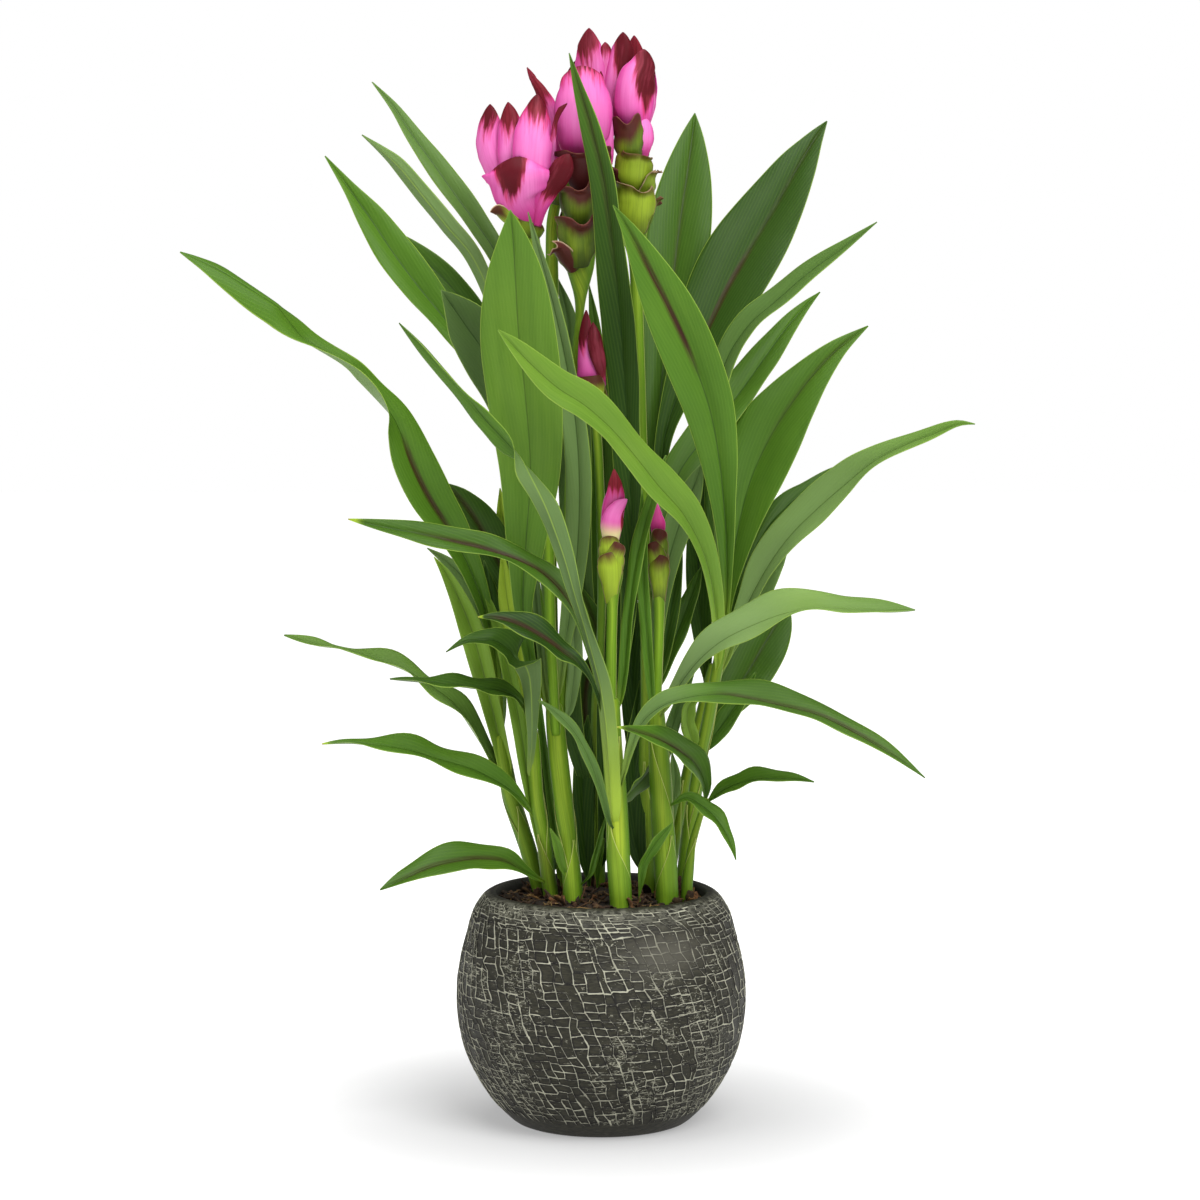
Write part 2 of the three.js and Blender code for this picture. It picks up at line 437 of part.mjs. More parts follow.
  leaf_right_14: {
    stem: 'stem_right_far', foldBase: 24, fold: 14, wave: 1, fused: true, clear: [],
    rows: [
      [60.1, 29, 229.9, 1.9, 0], [68.2, 22.6, 255.8, 4.5, 10], [78.1, 21.7, 275.4, 6.9, 15],
      [85.8, 22.3, 289.2, 8.1, 18], [92.5, 23.2, 300.8, 7.1, 20], [98.6, 24.5, 307.4, 3.5, 20],
      [103.1, 26, 312.9, 0.4, 20],
    ],
  },
  leaf_young: {
    stem: null, foldBase: 22, fold: 12, wave: 1, clear: [],
    rows: [
      [21.1, -28, 118.8, 1.3, -20], [21.1, -29, 132.7, 1.3, -20], [22.7, -31, 145, 2.7, -25],
      [27.5, -34, 155.4, 3.5, -25], [33.4, -37, 164, 3, -25], [38.7, -39, 171.4, 0.3, -25],
    ],
  },
  leaf_centre_6: {
    stem: 'stem_centre_left', foldBase: 24, fold: 12, wave: 0.5, fused: true, clear: [],
    rows: [
      [-27, 0, 221, 1.6, 0], [-33.8, 9.6, 240.4, 2.2, 0], [-45, 19.8, 272.7, 4.4, 0],
      [-51.7, 25.5, 305.7, 5, 0], [-54.5, 27.6, 330.6, 3.9, 0], [-56.2, 30, 348.2, 0.3, 0],
    ],
  },
};

// Flower heads
const HEADS = {
  bloom_left: {
    stem: 'stem_centre_left',
    stalk: [
      [-24.7, -8, 214.8, 2.7], [-27.9, -9, 278.1, 3], [-29, -6, 359.7, 3], [-31.1, -2, 435.7, 3],
      [-36, 3, 479.1, 3.3], [-37.7, 5, 492.7, 4.4], [-41.4, 5, 511.6, 4.4],
    ],
    core: [
      [-38.2, 5, 494.3, 4.4], [-42, 6, 511.6, 6.6], [-45.2, 6, 525.1, 6.6], [-46.9, 6, 535.9, 3.3],
    ],
    green: [
      { cup: 45, rows: [
        [-37.6, 0, 486.6, 3.3, 0], [-40.7, -4, 490.8, 4.9, 10], [-43.9, -6, 493.9, 3.8, 10],
        [-47.1, -8, 495.5, 0.5, 10],
      ] },
      { cup: 45, rows: [
        [-38.6, -2, 486.5, 2.7, 30], [-46.1, -6, 492.9, 4.4, 35], [-53, -9, 498.1, 3.8, 35],
        [-58.9, -11, 499.7, 0.4, 35],
      ] },
      { cup: 45, rows: [
        [-36.5, 2, 484.5, 2.7, -20], [-34.3, -1, 489.2, 3.8, -25], [-32.6, -3, 493, 0.5, -25],
      ] },
    ],
    pink: [
      { cup: 48, rows: [
        [-36.5, 0, 490.9, 2.7, 0], [-39, -7, 498.2, 8.7, 0], [-42.1, -13, 505.5, 14.1, 0],
        [-45.2, -17, 513.9, 19.5, 0], [-46.2, -20, 520.1, 19.4, 0], [-47.2, -23, 525.3, 13.5, 0],
        [-49.8, -27, 526.7, 8.1, -20], [-52.4, -29, 518.7, 0.4, -30],
      ] },
      { cup: 50, rows: [
        [-39.2, 0, 496.8, 2.7, 30], [-48.8, -5, 512.2, 7.1, 34], [-56.2, -8, 525.5, 9.2, 36],
        [-59.4, -9, 536.7, 8.1, 36], [-59.9, -9, 547.9, 5.4, 34], [-59.9, -8, 557.1, 0.4, 32],
      ] },
      { cup: 50, rows: [
        [-38.8, 7, 498.1, 2.7, 10], [-45.3, 9, 514.5, 6.6, 10], [-50.2, 9, 528, 8.2, 10],
        [-51.3, 8, 538.7, 7.7, 10], [-50.7, 7, 548.9, 4.9, 10], [-50.6, 6, 559.1, 0.4, 10],
      ] },
      { cup: 50, rows: [
        [-36.4, -3, 494.6, 3.3, -10], [-35.2, -10, 511, 8.7, -12], [-34, -12, 525.9, 10.3, -12],
        [-34, -12, 537.6, 10.3, -12], [-34, -10, 549.5, 7.6, -12], [-34.6, -8, 561.9, 0.4, -12],
      ] },
      { cup: 50, rows: [
        [-34.4, 4, 495.9, 2.7, -50], [-29.4, 2, 513.1, 5.5, -50], [-26.7, 1, 529.2, 6, -50],
        [-25, -1, 542, 4.9, -50], [-22.8, -4, 550.9, 2.2, -50], [-18.4, -7, 557.1, 0.4, -50],
      ] },
      { cup: 45, rows: [
        [-35.5, 4, 492.6, 2.2, -20], [-28.8, -7, 504.1, 4.9, -28], [-22.7, -17, 513.9, 6.5, -30],
        [-18.3, -22, 522.7, 5.4, -30], [-15.1, -24, 529.5, 0.5, -30],
      ] },
      { cup: 50, rows: [
        [-39.9, 9, 497.7, 3.3, 170], [-47.8, 20, 515.5, 8.3, 170], [-52.2, 23, 530.3, 9.4, 170],
        [-52.7, 21, 542.7, 6.6, 170], [-52, 17, 553.9, 0.4, 170],
      ] },
      { cup: 50, rows: [
        [-36.7, 9, 497.7, 3.3, 215], [-37.4, 20, 515.5, 8.3, 210], [-38, 23, 530.3, 9.4, 210],
        [-38.5, 21, 542.7, 6.6, 210], [-38.9, 17, 555.5, 0.4, 210],
      ] },
    ],
  },
  bloom_middle: {
    stem: 'stem_centre_left',
    stalk: [
      [-22.6, 0, 213.8, 2.5], [-19.4, 12, 276.2, 2.5], [-17.7, 15, 353.3, 2.5],
      [-13.8, 12, 419.3, 2.5], [-11.6, 9, 449.3, 2.7], [-11.6, 8, 470.5, 7.7],
      [-12.1, 8, 487.3, 9], [-11.6, 8, 509, 8.8], [-10.4, 8, 533.3, 5.5],
    ],
    core: [
      [-10.5, 8, 526.8, 5.5], [-9.9, 8, 538.7, 7.1], [-9.4, 8, 554.9, 6.6], [-8.8, 8, 568.4, 3.3],
    ],
    green: [
      { cup: 50, rows: [
        [-14.8, 1, 467.1, 3.3, 20], [-19.1, -5, 473.5, 5.4, 30], [-22.8, -9, 478.8, 4.3, 30],
        [-27.6, -11, 479.8, 0.4, 30],
      ] },
      { cup: 55, rows: [
        [-11.5, -2, 470.3, 5.5, 0], [-12, -8, 480.4, 9.8, 0], [-13.6, -10, 489.5, 10.3, 5],
        [-17.9, -12, 495.9, 6, 10], [-24.3, -15, 495.3, 0.8, 20],
      ] },
      { cup: 55, rows: [
        [-11.5, -2, 490.8, 5.5, 0], [-13.1, -8, 500.3, 9.2, 5], [-14.7, -10, 508.3, 8.1, 10],
        [-17.9, -13, 513, 4.9, 15], [-22.1, -16, 513.9, 0.5, 20],
      ] },
      { cup: 55, rows: [
        [-10.4, -2, 510.2, 5.5, 0], [-10.9, -8, 520.7, 9.8, 0], [-12.5, -11, 528.6, 10.9, 5],
        [-17.3, -14, 532.7, 7, 10], [-23.7, -17, 533.1, 0.8, 15],
      ] },
      { cup: 50, rows: [
        [-8.3, 8, 472.7, 4.9, -70], [-4.5, 6, 481.9, 7.7, -70], [-2.8, 4, 489.9, 6.6, -70],
        [-1.2, 2, 495.8, 0.5, -70],
      ] },
      { cup: 50, rows: [
        [-8.3, 8, 498.2, 4.9, -70], [-3.4, 6, 508.9, 7.7, -70], [-0.7, 4, 518, 6.6, -70],
        [2.6, 2, 524.9, 0.5, -70],
      ] },
      { cup: 50, rows: [
        [-12.7, 15, 479.3, 5.5, 180], [-13.3, 23, 490.5, 10, 180], [-13.3, 24, 500.3, 8.3, 180],
        [-13.3, 27, 505.9, 0.6, 180],
      ] },
      { cup: 50, rows: [
        [-11.1, 15, 501.1, 5.5, 200], [-10.5, 23, 512.3, 10, 200], [-10, 24, 523.3, 8.3, 200],
        [-10, 28, 530, 0.6, 200],
      ] },
      { cup: 50, rows: [
        [-14.9, 14, 490.2, 5, 110], [-20.9, 15, 501.1, 8.3, 110], [-22.5, 15, 512, 7.2, 110],
        [-24.7, 15, 518.5, 0.6, 110],
      ] },
      { cup: 50, rows: [
        [-6.1, 10, 514.5, 4.9, -100], [-0.1, 11, 525.4, 8.2, -100], [2.1, 11, 533.5, 7.1, -100],
        [4.8, 11, 538.9, 0.5, -100],
      ] },
    ],
    pink: [
      { cup: 52, rows: [
        [-11.5, 2, 524.4, 4.4, 8], [-13.6, -5, 534.8, 10.3, 8], [-13.6, -8, 548, 11.4, 8],
        [-13, -9, 559.7, 10.9, 8], [-11.4, -8, 569.9, 7.1, 8], [-9.8, -7, 578, 0.4, 8],
      ] },
      { cup: 50, rows: [
        [-6.1, 2, 524.4, 4.4, -30], [-2.3, -5, 538, 7.6, -30], [-0.6, -7, 551.3, 7.6, -30],
        [-0.1, -7, 562, 4.9, -30], [-0.6, -6, 572.2, 0.4, -30],
      ] },
      { cup: 50, rows: [
        [-9.9, 12, 528.1, 4.4, 5], [-8.8, 13, 548.7, 8.2, 5], [-7.7, 12, 567, 8.2, 5],
        [-7.2, 10, 580.9, 7.1, 5], [-6.6, 9, 590, 4.4, 5], [-6.6, 8, 598.5, 0.4, 5],
      ] },
      { cup: 50, rows: [
        [-5, 14, 528.2, 4.4, -20], [-0.7, 15, 548.9, 6.6, -20], [1.5, 15, 567.3, 6.6, -20],
        [2.6, 13, 579.5, 4.4, -20], [2.1, 11, 591.2, 0.4, -20],
      ] },
      { cup: 50, rows: [
        [-13.8, 14, 528.2, 4.4, 120], [-21.4, 15, 545.6, 7.2, 120], [-23, 15, 558.6, 7.2, 120],
        [-21.9, 14, 568.3, 5, 120], [-19.7, 13, 576.8, 0.4, 120],
      ] },
      { cup: 50, rows: [
        [-12.7, 16, 528.3, 4.4, 170], [-15.5, 26, 547.9, 8.3, 170], [-16, 28, 562.7, 8.3, 170],
        [-14.9, 26, 573.5, 5.5, 170], [-13.8, 22, 582.9, 0.4, 170],
      ] },
      { cup: 50, rows: [
        [-7.2, 16, 528.3, 4.4, 215], [-2.9, 25, 546.2, 7.7, 215], [-0.7, 26, 559.9, 7.8, 215],
        [-0.7, 24, 570.6, 5, 215], [-1.8, 21, 579.6, 0.4, 215],
      ] },
    ],
  },
  bloom_right: {
    stem: 'stem_right_back',
    stalk: [
      [24.7, 9, 243.3, 2.5], [23.6, 10, 309.5, 3.3], [21.9, 13, 375.4, 3.3],
      [19.7, 17, 446.6, 3.3], [18.6, 20, 472.9, 3.6], [18, 20, 487.1, 6.6], [18.5, 20, 504, 9.4],
      [18, 20, 523.1, 8.8], [17.4, 20, 536.1, 6.1],
    ],
    core: [
      [17.4, 20, 529.6, 4.4], [17.4, 20, 542.1, 6.6], [17.4, 20, 558.4, 6.1],
      [17.9, 20, 571.9, 2.8],
    ],
    green: [
      { cup: 55, rows: [
        [16.8, 12, 509.7, 5.5, 0], [15.7, 5, 518.6, 9.9, 0], [16.2, 3, 526.6, 9.8, 0],
        [17.8, 2, 531.9, 6, -5], [19.4, 2, 534.1, 0.8, -5],
      ] },
      { cup: 50, rows: [
        [22.8, 12, 504.3, 4.9, -50], [26.1, 9, 512.3, 6, -50], [27.6, 6, 518.1, 4.4, -50],
        [30.8, 3, 523.4, 0.4, -50],
      ] },
      { cup: 55, rows: [
        [17.9, 12, 488, 5.5, 5], [17.3, 5, 497.5, 9.9, 5], [16.7, 3, 505.6, 10.4, 5],
        [15.6, 3, 511, 6.6, 5], [14, 2, 513.1, 0.8, 5],
      ] },
      { cup: 50, rows: [
        [12.5, 13, 506.5, 4.4, 55], [8.6, 11, 515.1, 6, 55], [6.4, 9, 521.5, 4.4, 55],
        [4.2, 7, 526.3, 0.4, 55],
      ] },
      { cup: 55, rows: [
        [15.7, 12, 523.8, 4.9, 10], [14.6, 5, 533.7, 8.2, 10], [13.5, 3, 541.7, 8.8, 10],
        [11.8, 1, 548, 6, 10], [9.1, 0, 551.7, 0.8, 10],
      ] },
      { cup: 50, rows: [
        [19.2, 28, 498.8, 5.5, 190], [19.8, 36, 510.1, 10, 190], [19.8, 37, 520, 8.4, 190],
        [19.8, 40, 527.3, 0.6, 190],
      ] },
      { cup: 50, rows: [
        [16.9, 27, 520.7, 5.5, 160], [15.9, 34, 532, 9.5, 160], [15.3, 35, 540.2, 7.8, 160],
        [15.4, 38, 547, 0.6, 160],
      ] },
      { cup: 50, rows: [
        [14.7, 20, 484.9, 4.4, 100], [9.2, 20, 494.8, 7.7, 100], [7.6, 20, 502.9, 6.6, 100],
        [5.4, 20, 508.9, 0.6, 100],
      ] },
      { cup: 50, rows: [
        [21.8, 20, 484.9, 4.4, -100], [27.3, 20, 494.8, 7.7, -100], [29.5, 20, 502.9, 6.6, -100],
        [31.7, 20, 508.9, 0.6, -100],
      ] },
    ],
    pink: [
      { cup: 50, rows: [
        [14.7, 17, 538.1, 4.4, 20], [9.7, 13, 554.2, 7.1, 20], [8.1, 11, 567.5, 8.2, 20],
        [9.1, 11, 578.8, 7.1, 20], [10.8, 11, 588.5, 4.4, 20], [11.8, 11, 596.6, 0.4, 20],
      ] },
      { cup: 50, rows: [
        [18, 26, 539.7, 4.4, 0], [18, 29, 561.7, 7.2, 0], [18.6, 28, 576.9, 6.1, 0],
        [18.5, 26, 587.1, 3.9, 0], [18, 24, 595.6, 0.4, 0],
      ] },
      { cup: 52, rows: [
        [17.9, 12, 540, 4.9, -10], [17.3, 5, 551.5, 9.9, -10], [18.9, 3, 562.1, 10.9, -10],
        [21.6, 3, 571.2, 8.2, -10], [23.2, 4, 578.8, 4.9, -10], [23.2, 5, 587.5, 0.4, -10],
      ] },
      { cup: 48, rows: [
        [19.5, 13, 524.9, 3.3, -40], [22.8, 9, 532.8, 5.5, -40], [24.4, 7, 540.8, 5.5, -40],
        [24.4, 7, 546.2, 3.3, -40], [23.8, 8, 550.1, 0.5, -40],
      ] },
      { cup: 50, rows: [
        [15.8, 26, 538.6, 4.4, 160], [12, 35, 555.6, 7.8, 160], [10.9, 36, 569.3, 7.8, 160],
        [11.5, 33, 579.4, 5.6, 160], [12.5, 29, 588.9, 0.4, 160],
      ] },
      { cup: 50, rows: [
        [20.2, 26, 538.6, 4.4, 210], [24.2, 34, 555.5, 7.8, 210], [25.8, 35, 569.2, 7.8, 210],
        [25.8, 32, 578.3, 5.6, 210], [24.6, 28, 586.7, 0.4, 210],
      ] },
      { cup: 50, rows: [
        [21.8, 20, 538.3, 3.9, -80], [27.8, 20, 553, 6.6, -80], [29.4, 19, 563.8, 6.6, -80],
        [28.8, 18, 572.9, 4.4, -80], [27.2, 17, 581.5, 0.4, -80],
      ] },
    ],
  },
  bloom_back: {
    stem: 'stem_centre_left', single: true,
    stalk: [
      [-24.9, 3, 220.7, 2.2], [-27.2, 17, 286.9, 3], [-29.5, 28, 374.9, 3.6],
      [-27.2, 32, 441.2, 3.6], [-27.3, 37, 490.9, 3.3], [-24.5, 40, 510.3, 5],
      [-24.5, 40, 529.5, 5], [-25.6, 40, 548.7, 2.2],
    ],
    core: [
      [-24.5, 40, 518.5, 4.5], [-25, 40, 535, 5], [-25.6, 40, 546, 2.2],
    ],
    green: [
      { cup: 50, rows: [
        [-24.4, 34, 504.5, 3.3, 0], [-23.3, 31, 512.6, 5.6, 0], [-22.1, 29, 519.1, 3.9, 0],
        [-21, 27, 524.5, 0.6, 0],
      ] },
      { cup: 50, rows: [
        [-24.6, 46, 505, 3.4, 180], [-25.2, 50, 513.4, 5.6, 180], [-25.2, 52, 520.1, 4.5, 180],
        [-25.2, 55, 525.8, 0.6, 180],
      ] },
    ],
    pink: [
      { cup: 48, rows: [
        [-25, 36, 515, 2.8, 15], [-26, 33, 530.3, 6.1, 15], [-28.2, 33, 545.6, 6.1, 15],
        [-31.5, 33, 559.3, 3.9, 15], [-35.9, 33, 569.6, 1.9, 15], [-40.9, 33, 578.9, 0.4, 15],
      ] },
      { cup: 48, rows: [
        [-23.4, 37, 515.1, 2.8, -40], [-19.4, 34, 530.3, 5.6, -40], [-18.9, 33, 544.5, 5, -40],
        [-20, 33, 555.4, 0.4, -40],
      ] },
      { cup: 48, rows: [
        [-25.7, 44, 515.4, 2.8, 150], [-29.6, 50, 531.1, 6.2, 150], [-30.7, 50, 545.5, 5.6, 150],
        [-30.6, 46, 558.5, 0.4, 150],
      ] },
      { cup: 48, rows: [
        [-23.4, 44, 515.4, 2.8, 210], [-20.2, 50, 531.1, 6.2, 210], [-19.6, 50, 545.5, 5.6, 210],
        [-20.1, 46, 559.6, 0.4, 210],
      ] },
    ],
  },
  bud_upper: {
    stem: 'stem_back', single: true,
    stalk: [
      [-1.2, 28, 238.4, 2.2], [0.4, 12, 298.3, 2.5], [-1.2, 2, 359.4, 2.5], [-3.4, -2, 389.5, 2.7],
      [-4.5, -3, 403.2, 5.5], [-5.5, -3, 419.4, 4.9], [-7.2, -3, 436.8, 1.6],
    ],
    core: [
      [-3.9, -3, 402.1, 4.9], [-5, -3, 414, 5.5], [-6.1, -3, 424.9, 4.4], [-7.2, -3, 435.7, 1.6],
    ],
    green: [
      { cup: 50, rows: [
        [-3.9, -6, 391.3, 3.3, 0], [-6.1, -10, 399, 5.4, 10], [-8.2, -11, 405.5, 3.8, 15],
        [-10.4, -12, 409.8, 0.4, 20],
      ] },
      { cup: 50, rows: [
        [-2.8, 0, 391.1, 3.3, 180], [-2.3, 4, 398.7, 5.5, 180], [-1.7, 5, 405.2, 3.8, 180],
        [-1.2, 6, 411.7, 0.4, 180],
      ] },
    ],
    pink: [
      { cup: 50, rows: [
        [-4.5, -6, 396.7, 3.8, 5], [-5, -10, 408.7, 6.5, 5], [-6.1, -10, 421.1, 6.5, 5],
        [-7.7, -8, 433, 4.3, 5], [-8.8, -6, 446, 0.4, 5],
      ] },
      { cup: 50, rows: [
        [-3.4, -3, 396.6, 3.8, -40], [-1.2, -5, 408.6, 5.4, -40], [-0.7, -5, 421.1, 5.4, -40],
        [-2.3, -4, 431.4, 3.3, -40], [-3.9, -4, 440.6, 0.4, -40],
      ] },
      { cup: 50, rows: [
        [-4.5, 0, 396.6, 3.8, 180], [-5, 4, 408.5, 6.6, 180], [-6.1, 4, 421, 6, 180],
        [-7.2, 0, 434.6, 0.4, 180],
      ] },
    ],
  },
  bud_front: {
    stem: 'stem_front', single: true,
    stalk: [
      [5.3, -39, 224, 2.7], [5.3, -40, 259.2, 2.9], [5.8, -40, 289.9, 3.2], [5.2, -40, 306, 6.4],
      [5.8, -40, 321.1, 5.6], [6.3, -40, 339.8, 4.8], [6.8, -40, 354.2, 1.6],
    ],
    core: [
      [6.3, -40, 328, 4.3], [6.3, -40, 337.1, 4.8], [6.8, -40, 345.2, 4], [6.8, -40, 353.2, 1.6],
    ],
    green: [
      { cup: 50, rows: [
        [5.2, -46, 302.7, 4.3, 0], [4.7, -47.5, 310.9, 6.4, 0], [4.2, -47, 316.7, 4.3, 0],
        [3.1, -46.5, 319.3, 0.5, 0],
      ] },
      { cup: 50, rows: [
        [6.8, -45, 313.4, 4.3, -10], [7.4, -47.5, 319.4, 5.8, -10], [8.4, -48, 322.6, 3.7, -15],
        [10, -48, 324.8, 0.5, -20],
      ] },
      { cup: 50, rows: [
        [5.2, -45, 317.6, 4.3, 10], [4.2, -47, 323.1, 5.6, 10], [3.1, -47, 326.3, 3.2, 10],
        [1.5, -47, 327.9, 0.5, 10],
      ] },
      { cup: 50, rows: [
        [5.3, -35, 301.9, 4.3, 180], [5.3, -32.5, 311.4, 5.9, 180], [5.3, -32.5, 317.9, 3.8, 180],
        [5.3, -33, 322.2, 0.5, 180],
      ] },
    ],
    pink: [
      { cup: 50, rows: [
        [5.8, -44, 324, 3.7, 5], [5.8, -46, 333.7, 5.9, 5], [6.3, -46, 343.9, 5.6, 5],
        [6.8, -44, 352.8, 3.2, 5], [6.6, -41, 362.8, 0.4, 5],
      ] },
      { cup: 50, rows: [
        [6.8, -40, 323.7, 3.7, -60], [9.5, -41, 333.4, 4.3, -60], [10, -41, 342.5, 4, -60],
        [9, -41, 350.6, 2.4, -60], [7.9, -41, 357, 0.4, -60],
      ] },
      { cup: 50, rows: [
        [5.8, -36, 323.5, 3.7, 180], [5.8, -34, 334.1, 5.9, 180], [6.3, -35, 344.9, 4.8, 180],
        [6.8, -38, 355.8, 0.4, 180],
      ] },
    ],
  },
  bud_right: {
    stem: 'stem_right_front', single: true,
    stalk: [
      [29.7, -22, 223.6, 2.4], [30.8, -20, 257.2, 2.7], [31.4, -18, 287.6, 3.2],
      [30.8, -18, 304.4, 5.7], [30.2, -18, 319.6, 5.9], [30.2, -18, 330.5, 3.8],
      [30.7, -18, 338.6, 1.4],
    ],
    core: [
      [30.2, -18, 327.8, 3.2], [30.7, -18, 333.2, 2.7], [30.7, -18, 337.5, 1.4],
    ],
    green: [
      { cup: 50, rows: [
        [31.2, -24, 303.8, 4.3, 0], [31.7, -26, 311, 5.9, 0], [32.3, -25, 316.3, 3.8, 0],
        [33.4, -24.5, 319.5, 0.5, 0],
      ] },
      { cup: 50, rows: [
        [29.6, -23, 311.8, 4.3, 0], [28.5, -25.5, 319, 5.9, 0], [27.4, -25, 323.3, 3.8, 0],
        [26.3, -25, 326, 0.5, 0],
      ] },
      { cup: 50, rows: [
        [30.2, -22, 319.9, 3.8, 0], [30.7, -24, 327, 5.4, 0], [31.2, -23, 331.9, 3.2, 0],
        [31.7, -22.5, 334.5, 0.5, 0],
      ] },
      { cup: 50, rows: [
        [30.9, -13, 303, 4.3, 180], [30.9, -10.5, 312.1, 6, 180], [30.9, -11, 319.2, 3.8, 180],
        [30.9, -12, 324.1, 0.5, 180],
      ] },
    ],
    pink: [
      { cup: 50, rows: [
        [30.2, -21, 325.8, 3.2, 0], [30.7, -22, 332.3, 4.3, 0], [31.2, -21, 336.6, 2.7, 0],
        [31.2, -20, 342, 0.4, 0],
      ] },
    ],
  },
};

// Splines through hand-chosen rows

function splineRow(rows, t) {
  const span = t * (rows.length - 1);
  const i = Math.min(Math.floor(span), rows.length - 2);
  const f = span - i;
  const row = (k) => rows[THREE.MathUtils.clamp(k, 0, rows.length - 1)];
  const [a, b, c, d] = [row(i - 1), row(i), row(i + 1), row(i + 2)];
  return b.map((_, k) => 0.5 * (2 * b[k] + (c[k] - a[k]) * f
    + (2 * a[k] - 5 * b[k] + 4 * c[k] - d[k]) * f * f
    + (3 * b[k] - a[k] - 3 * c[k] + d[k]) * f * f * f));
}

const pointOf = (row) => new THREE.Vector3(row[0], row[1], row[2]);

function spineLength(rows) {
  let length = 0;
  for (let i = 1; i < rows.length; i += 1) {
    length += pointOf(rows[i]).distanceTo(pointOf(rows[i - 1]));
  }
  return length;
}

function tangentAt(rows, t) {
  const step = 0.004;
  const ahead = pointOf(splineRow(rows, Math.min(t + step, 1)));
  const behind = pointOf(splineRow(rows, Math.max(t - step, 0)));
  return ahead.sub(behind).normalize();
}

function frameAt(rows, t, turn) {
  const along = tangentAt(rows, t);
  const side = along.clone().cross(FRONT).normalize();
  const face = side.clone().cross(along).normalize();
  const angle = THREE.MathUtils.degToRad(turn);
  return {
    side: side.clone().multiplyScalar(Math.cos(angle)).addScaledVector(face, Math.sin(angle)),
    face: face.clone().multiplyScalar(Math.cos(angle)).addScaledVector(side, -Math.sin(angle)),
  };
}

// Closed meshes

function closedGeometry(points, triangles) {
  const geometry = new THREE.BufferGeometry();
  geometry.setAttribute('position', new THREE.Float32BufferAttribute(points.flatMap((p) => p.toArray()), 3));
  geometry.setIndex(triangles);
  return geometry;
}

// A sheet between two like grids of points, with both faces split along the same diagonals.
function sheetGeometry(top, bottom) {
  const rows = top.length;
  const columns = top[0].length;
  const points = [...top.flat(), ...bottom.flat()];
  const under = rows * columns;
  const at = (i, j) => i * columns + j;
  const triangles = [];
  for (let i = 0; i < rows - 1; i += 1) {
    for (let j = 0; j < columns - 1; j += 1) {
      const [a, b, c, d] = [at(i, j), at(i, j + 1), at(i + 1, j + 1), at(i + 1, j)];
      const split = j < (columns - 1) / 2 ? [a, b, c, a, c, d] : [a, b, d, b, c, d];
      triangles.push(...split);
      for (let k = 0; k < 6; k += 3) {
        triangles.push(split[k] + under, split[k + 2] + under, split[k + 1] + under);
      }
    }
  }
  const wall = (a, b) => triangles.push(a, b, a + under, b, b + under, a + under);
  for (let i = 0; i < rows - 1; i += 1) {
    wall(at(i, 0), at(i + 1, 0));
    wall(at(i + 1, columns - 1), at(i, columns - 1));
  }
  for (let j = 0; j < columns - 1; j += 1) {
    wall(at(0, j + 1), at(0, j));
    wall(at(rows - 1, j), at(rows - 1, j + 1));
  }
  return closedGeometry(points, triangles);
}

function tubeGeometry(rows, sides, grow = 0) {
  const rings = rows.length - 1;
  const points = [];
  const triangles = [];
  const ring = (t, scale, shift) => {
    const row = splineRow(rows, t);
    const { side, face } = frameAt(rows, t, 0);
    const centre = pointOf(row).addScaledVector(tangentAt(rows, t), shift);
    for (let k = 0; k < sides; k += 1) {
      const angle = (k / sides) * 2 * Math.PI;
      const radius = (row[3] + grow) * scale;
      points.push(centre.clone().addScaledVector(side, radius * Math.cos(angle))
        .addScaledVector(face, radius * Math.sin(angle)));
    }
  };
  ring(0, 1, -grow);
  for (let i = 1; i < rings; i += 1) {
    ring(i / rings, 1, 0);
  }
  ring(1, 1, 0);
  ring(1, 0.6, rows[rows.length - 1][3] * 0.5 + grow);
  const count = points.length / sides;
  for (let i = 0; i < count - 1; i += 1) {
    for (let k = 0; k < sides; k += 1) {
      const next = (k + 1) % sides;
      const [a, b] = [i * sides + k, i * sides + next];
      triangles.push(a, b + sides, b, a, a + sides, b + sides);
    }
  }
  const last = (count - 1) * sides;
  for (let k = 1; k < sides - 1; k += 1) {
    triangles.push(0, k, k + 1, last, last + k + 1, last + k);
  }
  return closedGeometry(points, triangles);
}

// Leaves

function bladeGeometry(leaf, grow = 0) {
  const { rows, foldBase, fold, wave } = leaf;
  const widest = Math.max(...rows.map((row) => row[3]));
  const stations = Math.round(THREE.MathUtils.clamp(spineLength(rows) / STATION_LENGTH, 6, 12));
  const across = widest > WIDE_BLADE ? [-1, -0.5, 0, 0.5, 1] : [-1, 0, 1];
  const top = [];
  const bottom = [];
  for (let i = 0; i <= stations; i += 1) {
    const t = i / stations;
    const row = splineRow(rows, t);
    const { side, face } = frameAt(rows, t, row[4]);
    const half = Math.max(row[3], 0.3) + grow;
    const easing = THREE.MathUtils.smoothstep(t, 0.05, 0.4);
    const angle = THREE.MathUtils.degToRad(THREE.MathUtils.lerp(foldBase, fold, easing));
    const upper = [];
    const lower = [];
    for (const v of across) {
      const rise = (Math.abs(v) - 1) * half * Math.sin(angle) + half * 0.07 * Math.sin(Math.PI * Math.abs(v));
      const ripple = wave * v * Math.abs(v) * Math.sin(t * Math.PI) * Math.sin(19 * t + (v > 0 ? 2.1 : 0));
      const centre = pointOf(row).addScaledVector(side, v * half * Math.cos(angle))
        .addScaledVector(face, rise + ripple);
      const thick = BLADE_THICKNESS / 2 + grow;
      upper.push(centre.clone().addScaledVector(face, thick));
      lower.push(centre.clone().addScaledVector(face, -thick));
    }
    top.push(upper);
    bottom.push(lower);
  }
  return sheetGeometry(top, bottom);
}

// Joining and cutting

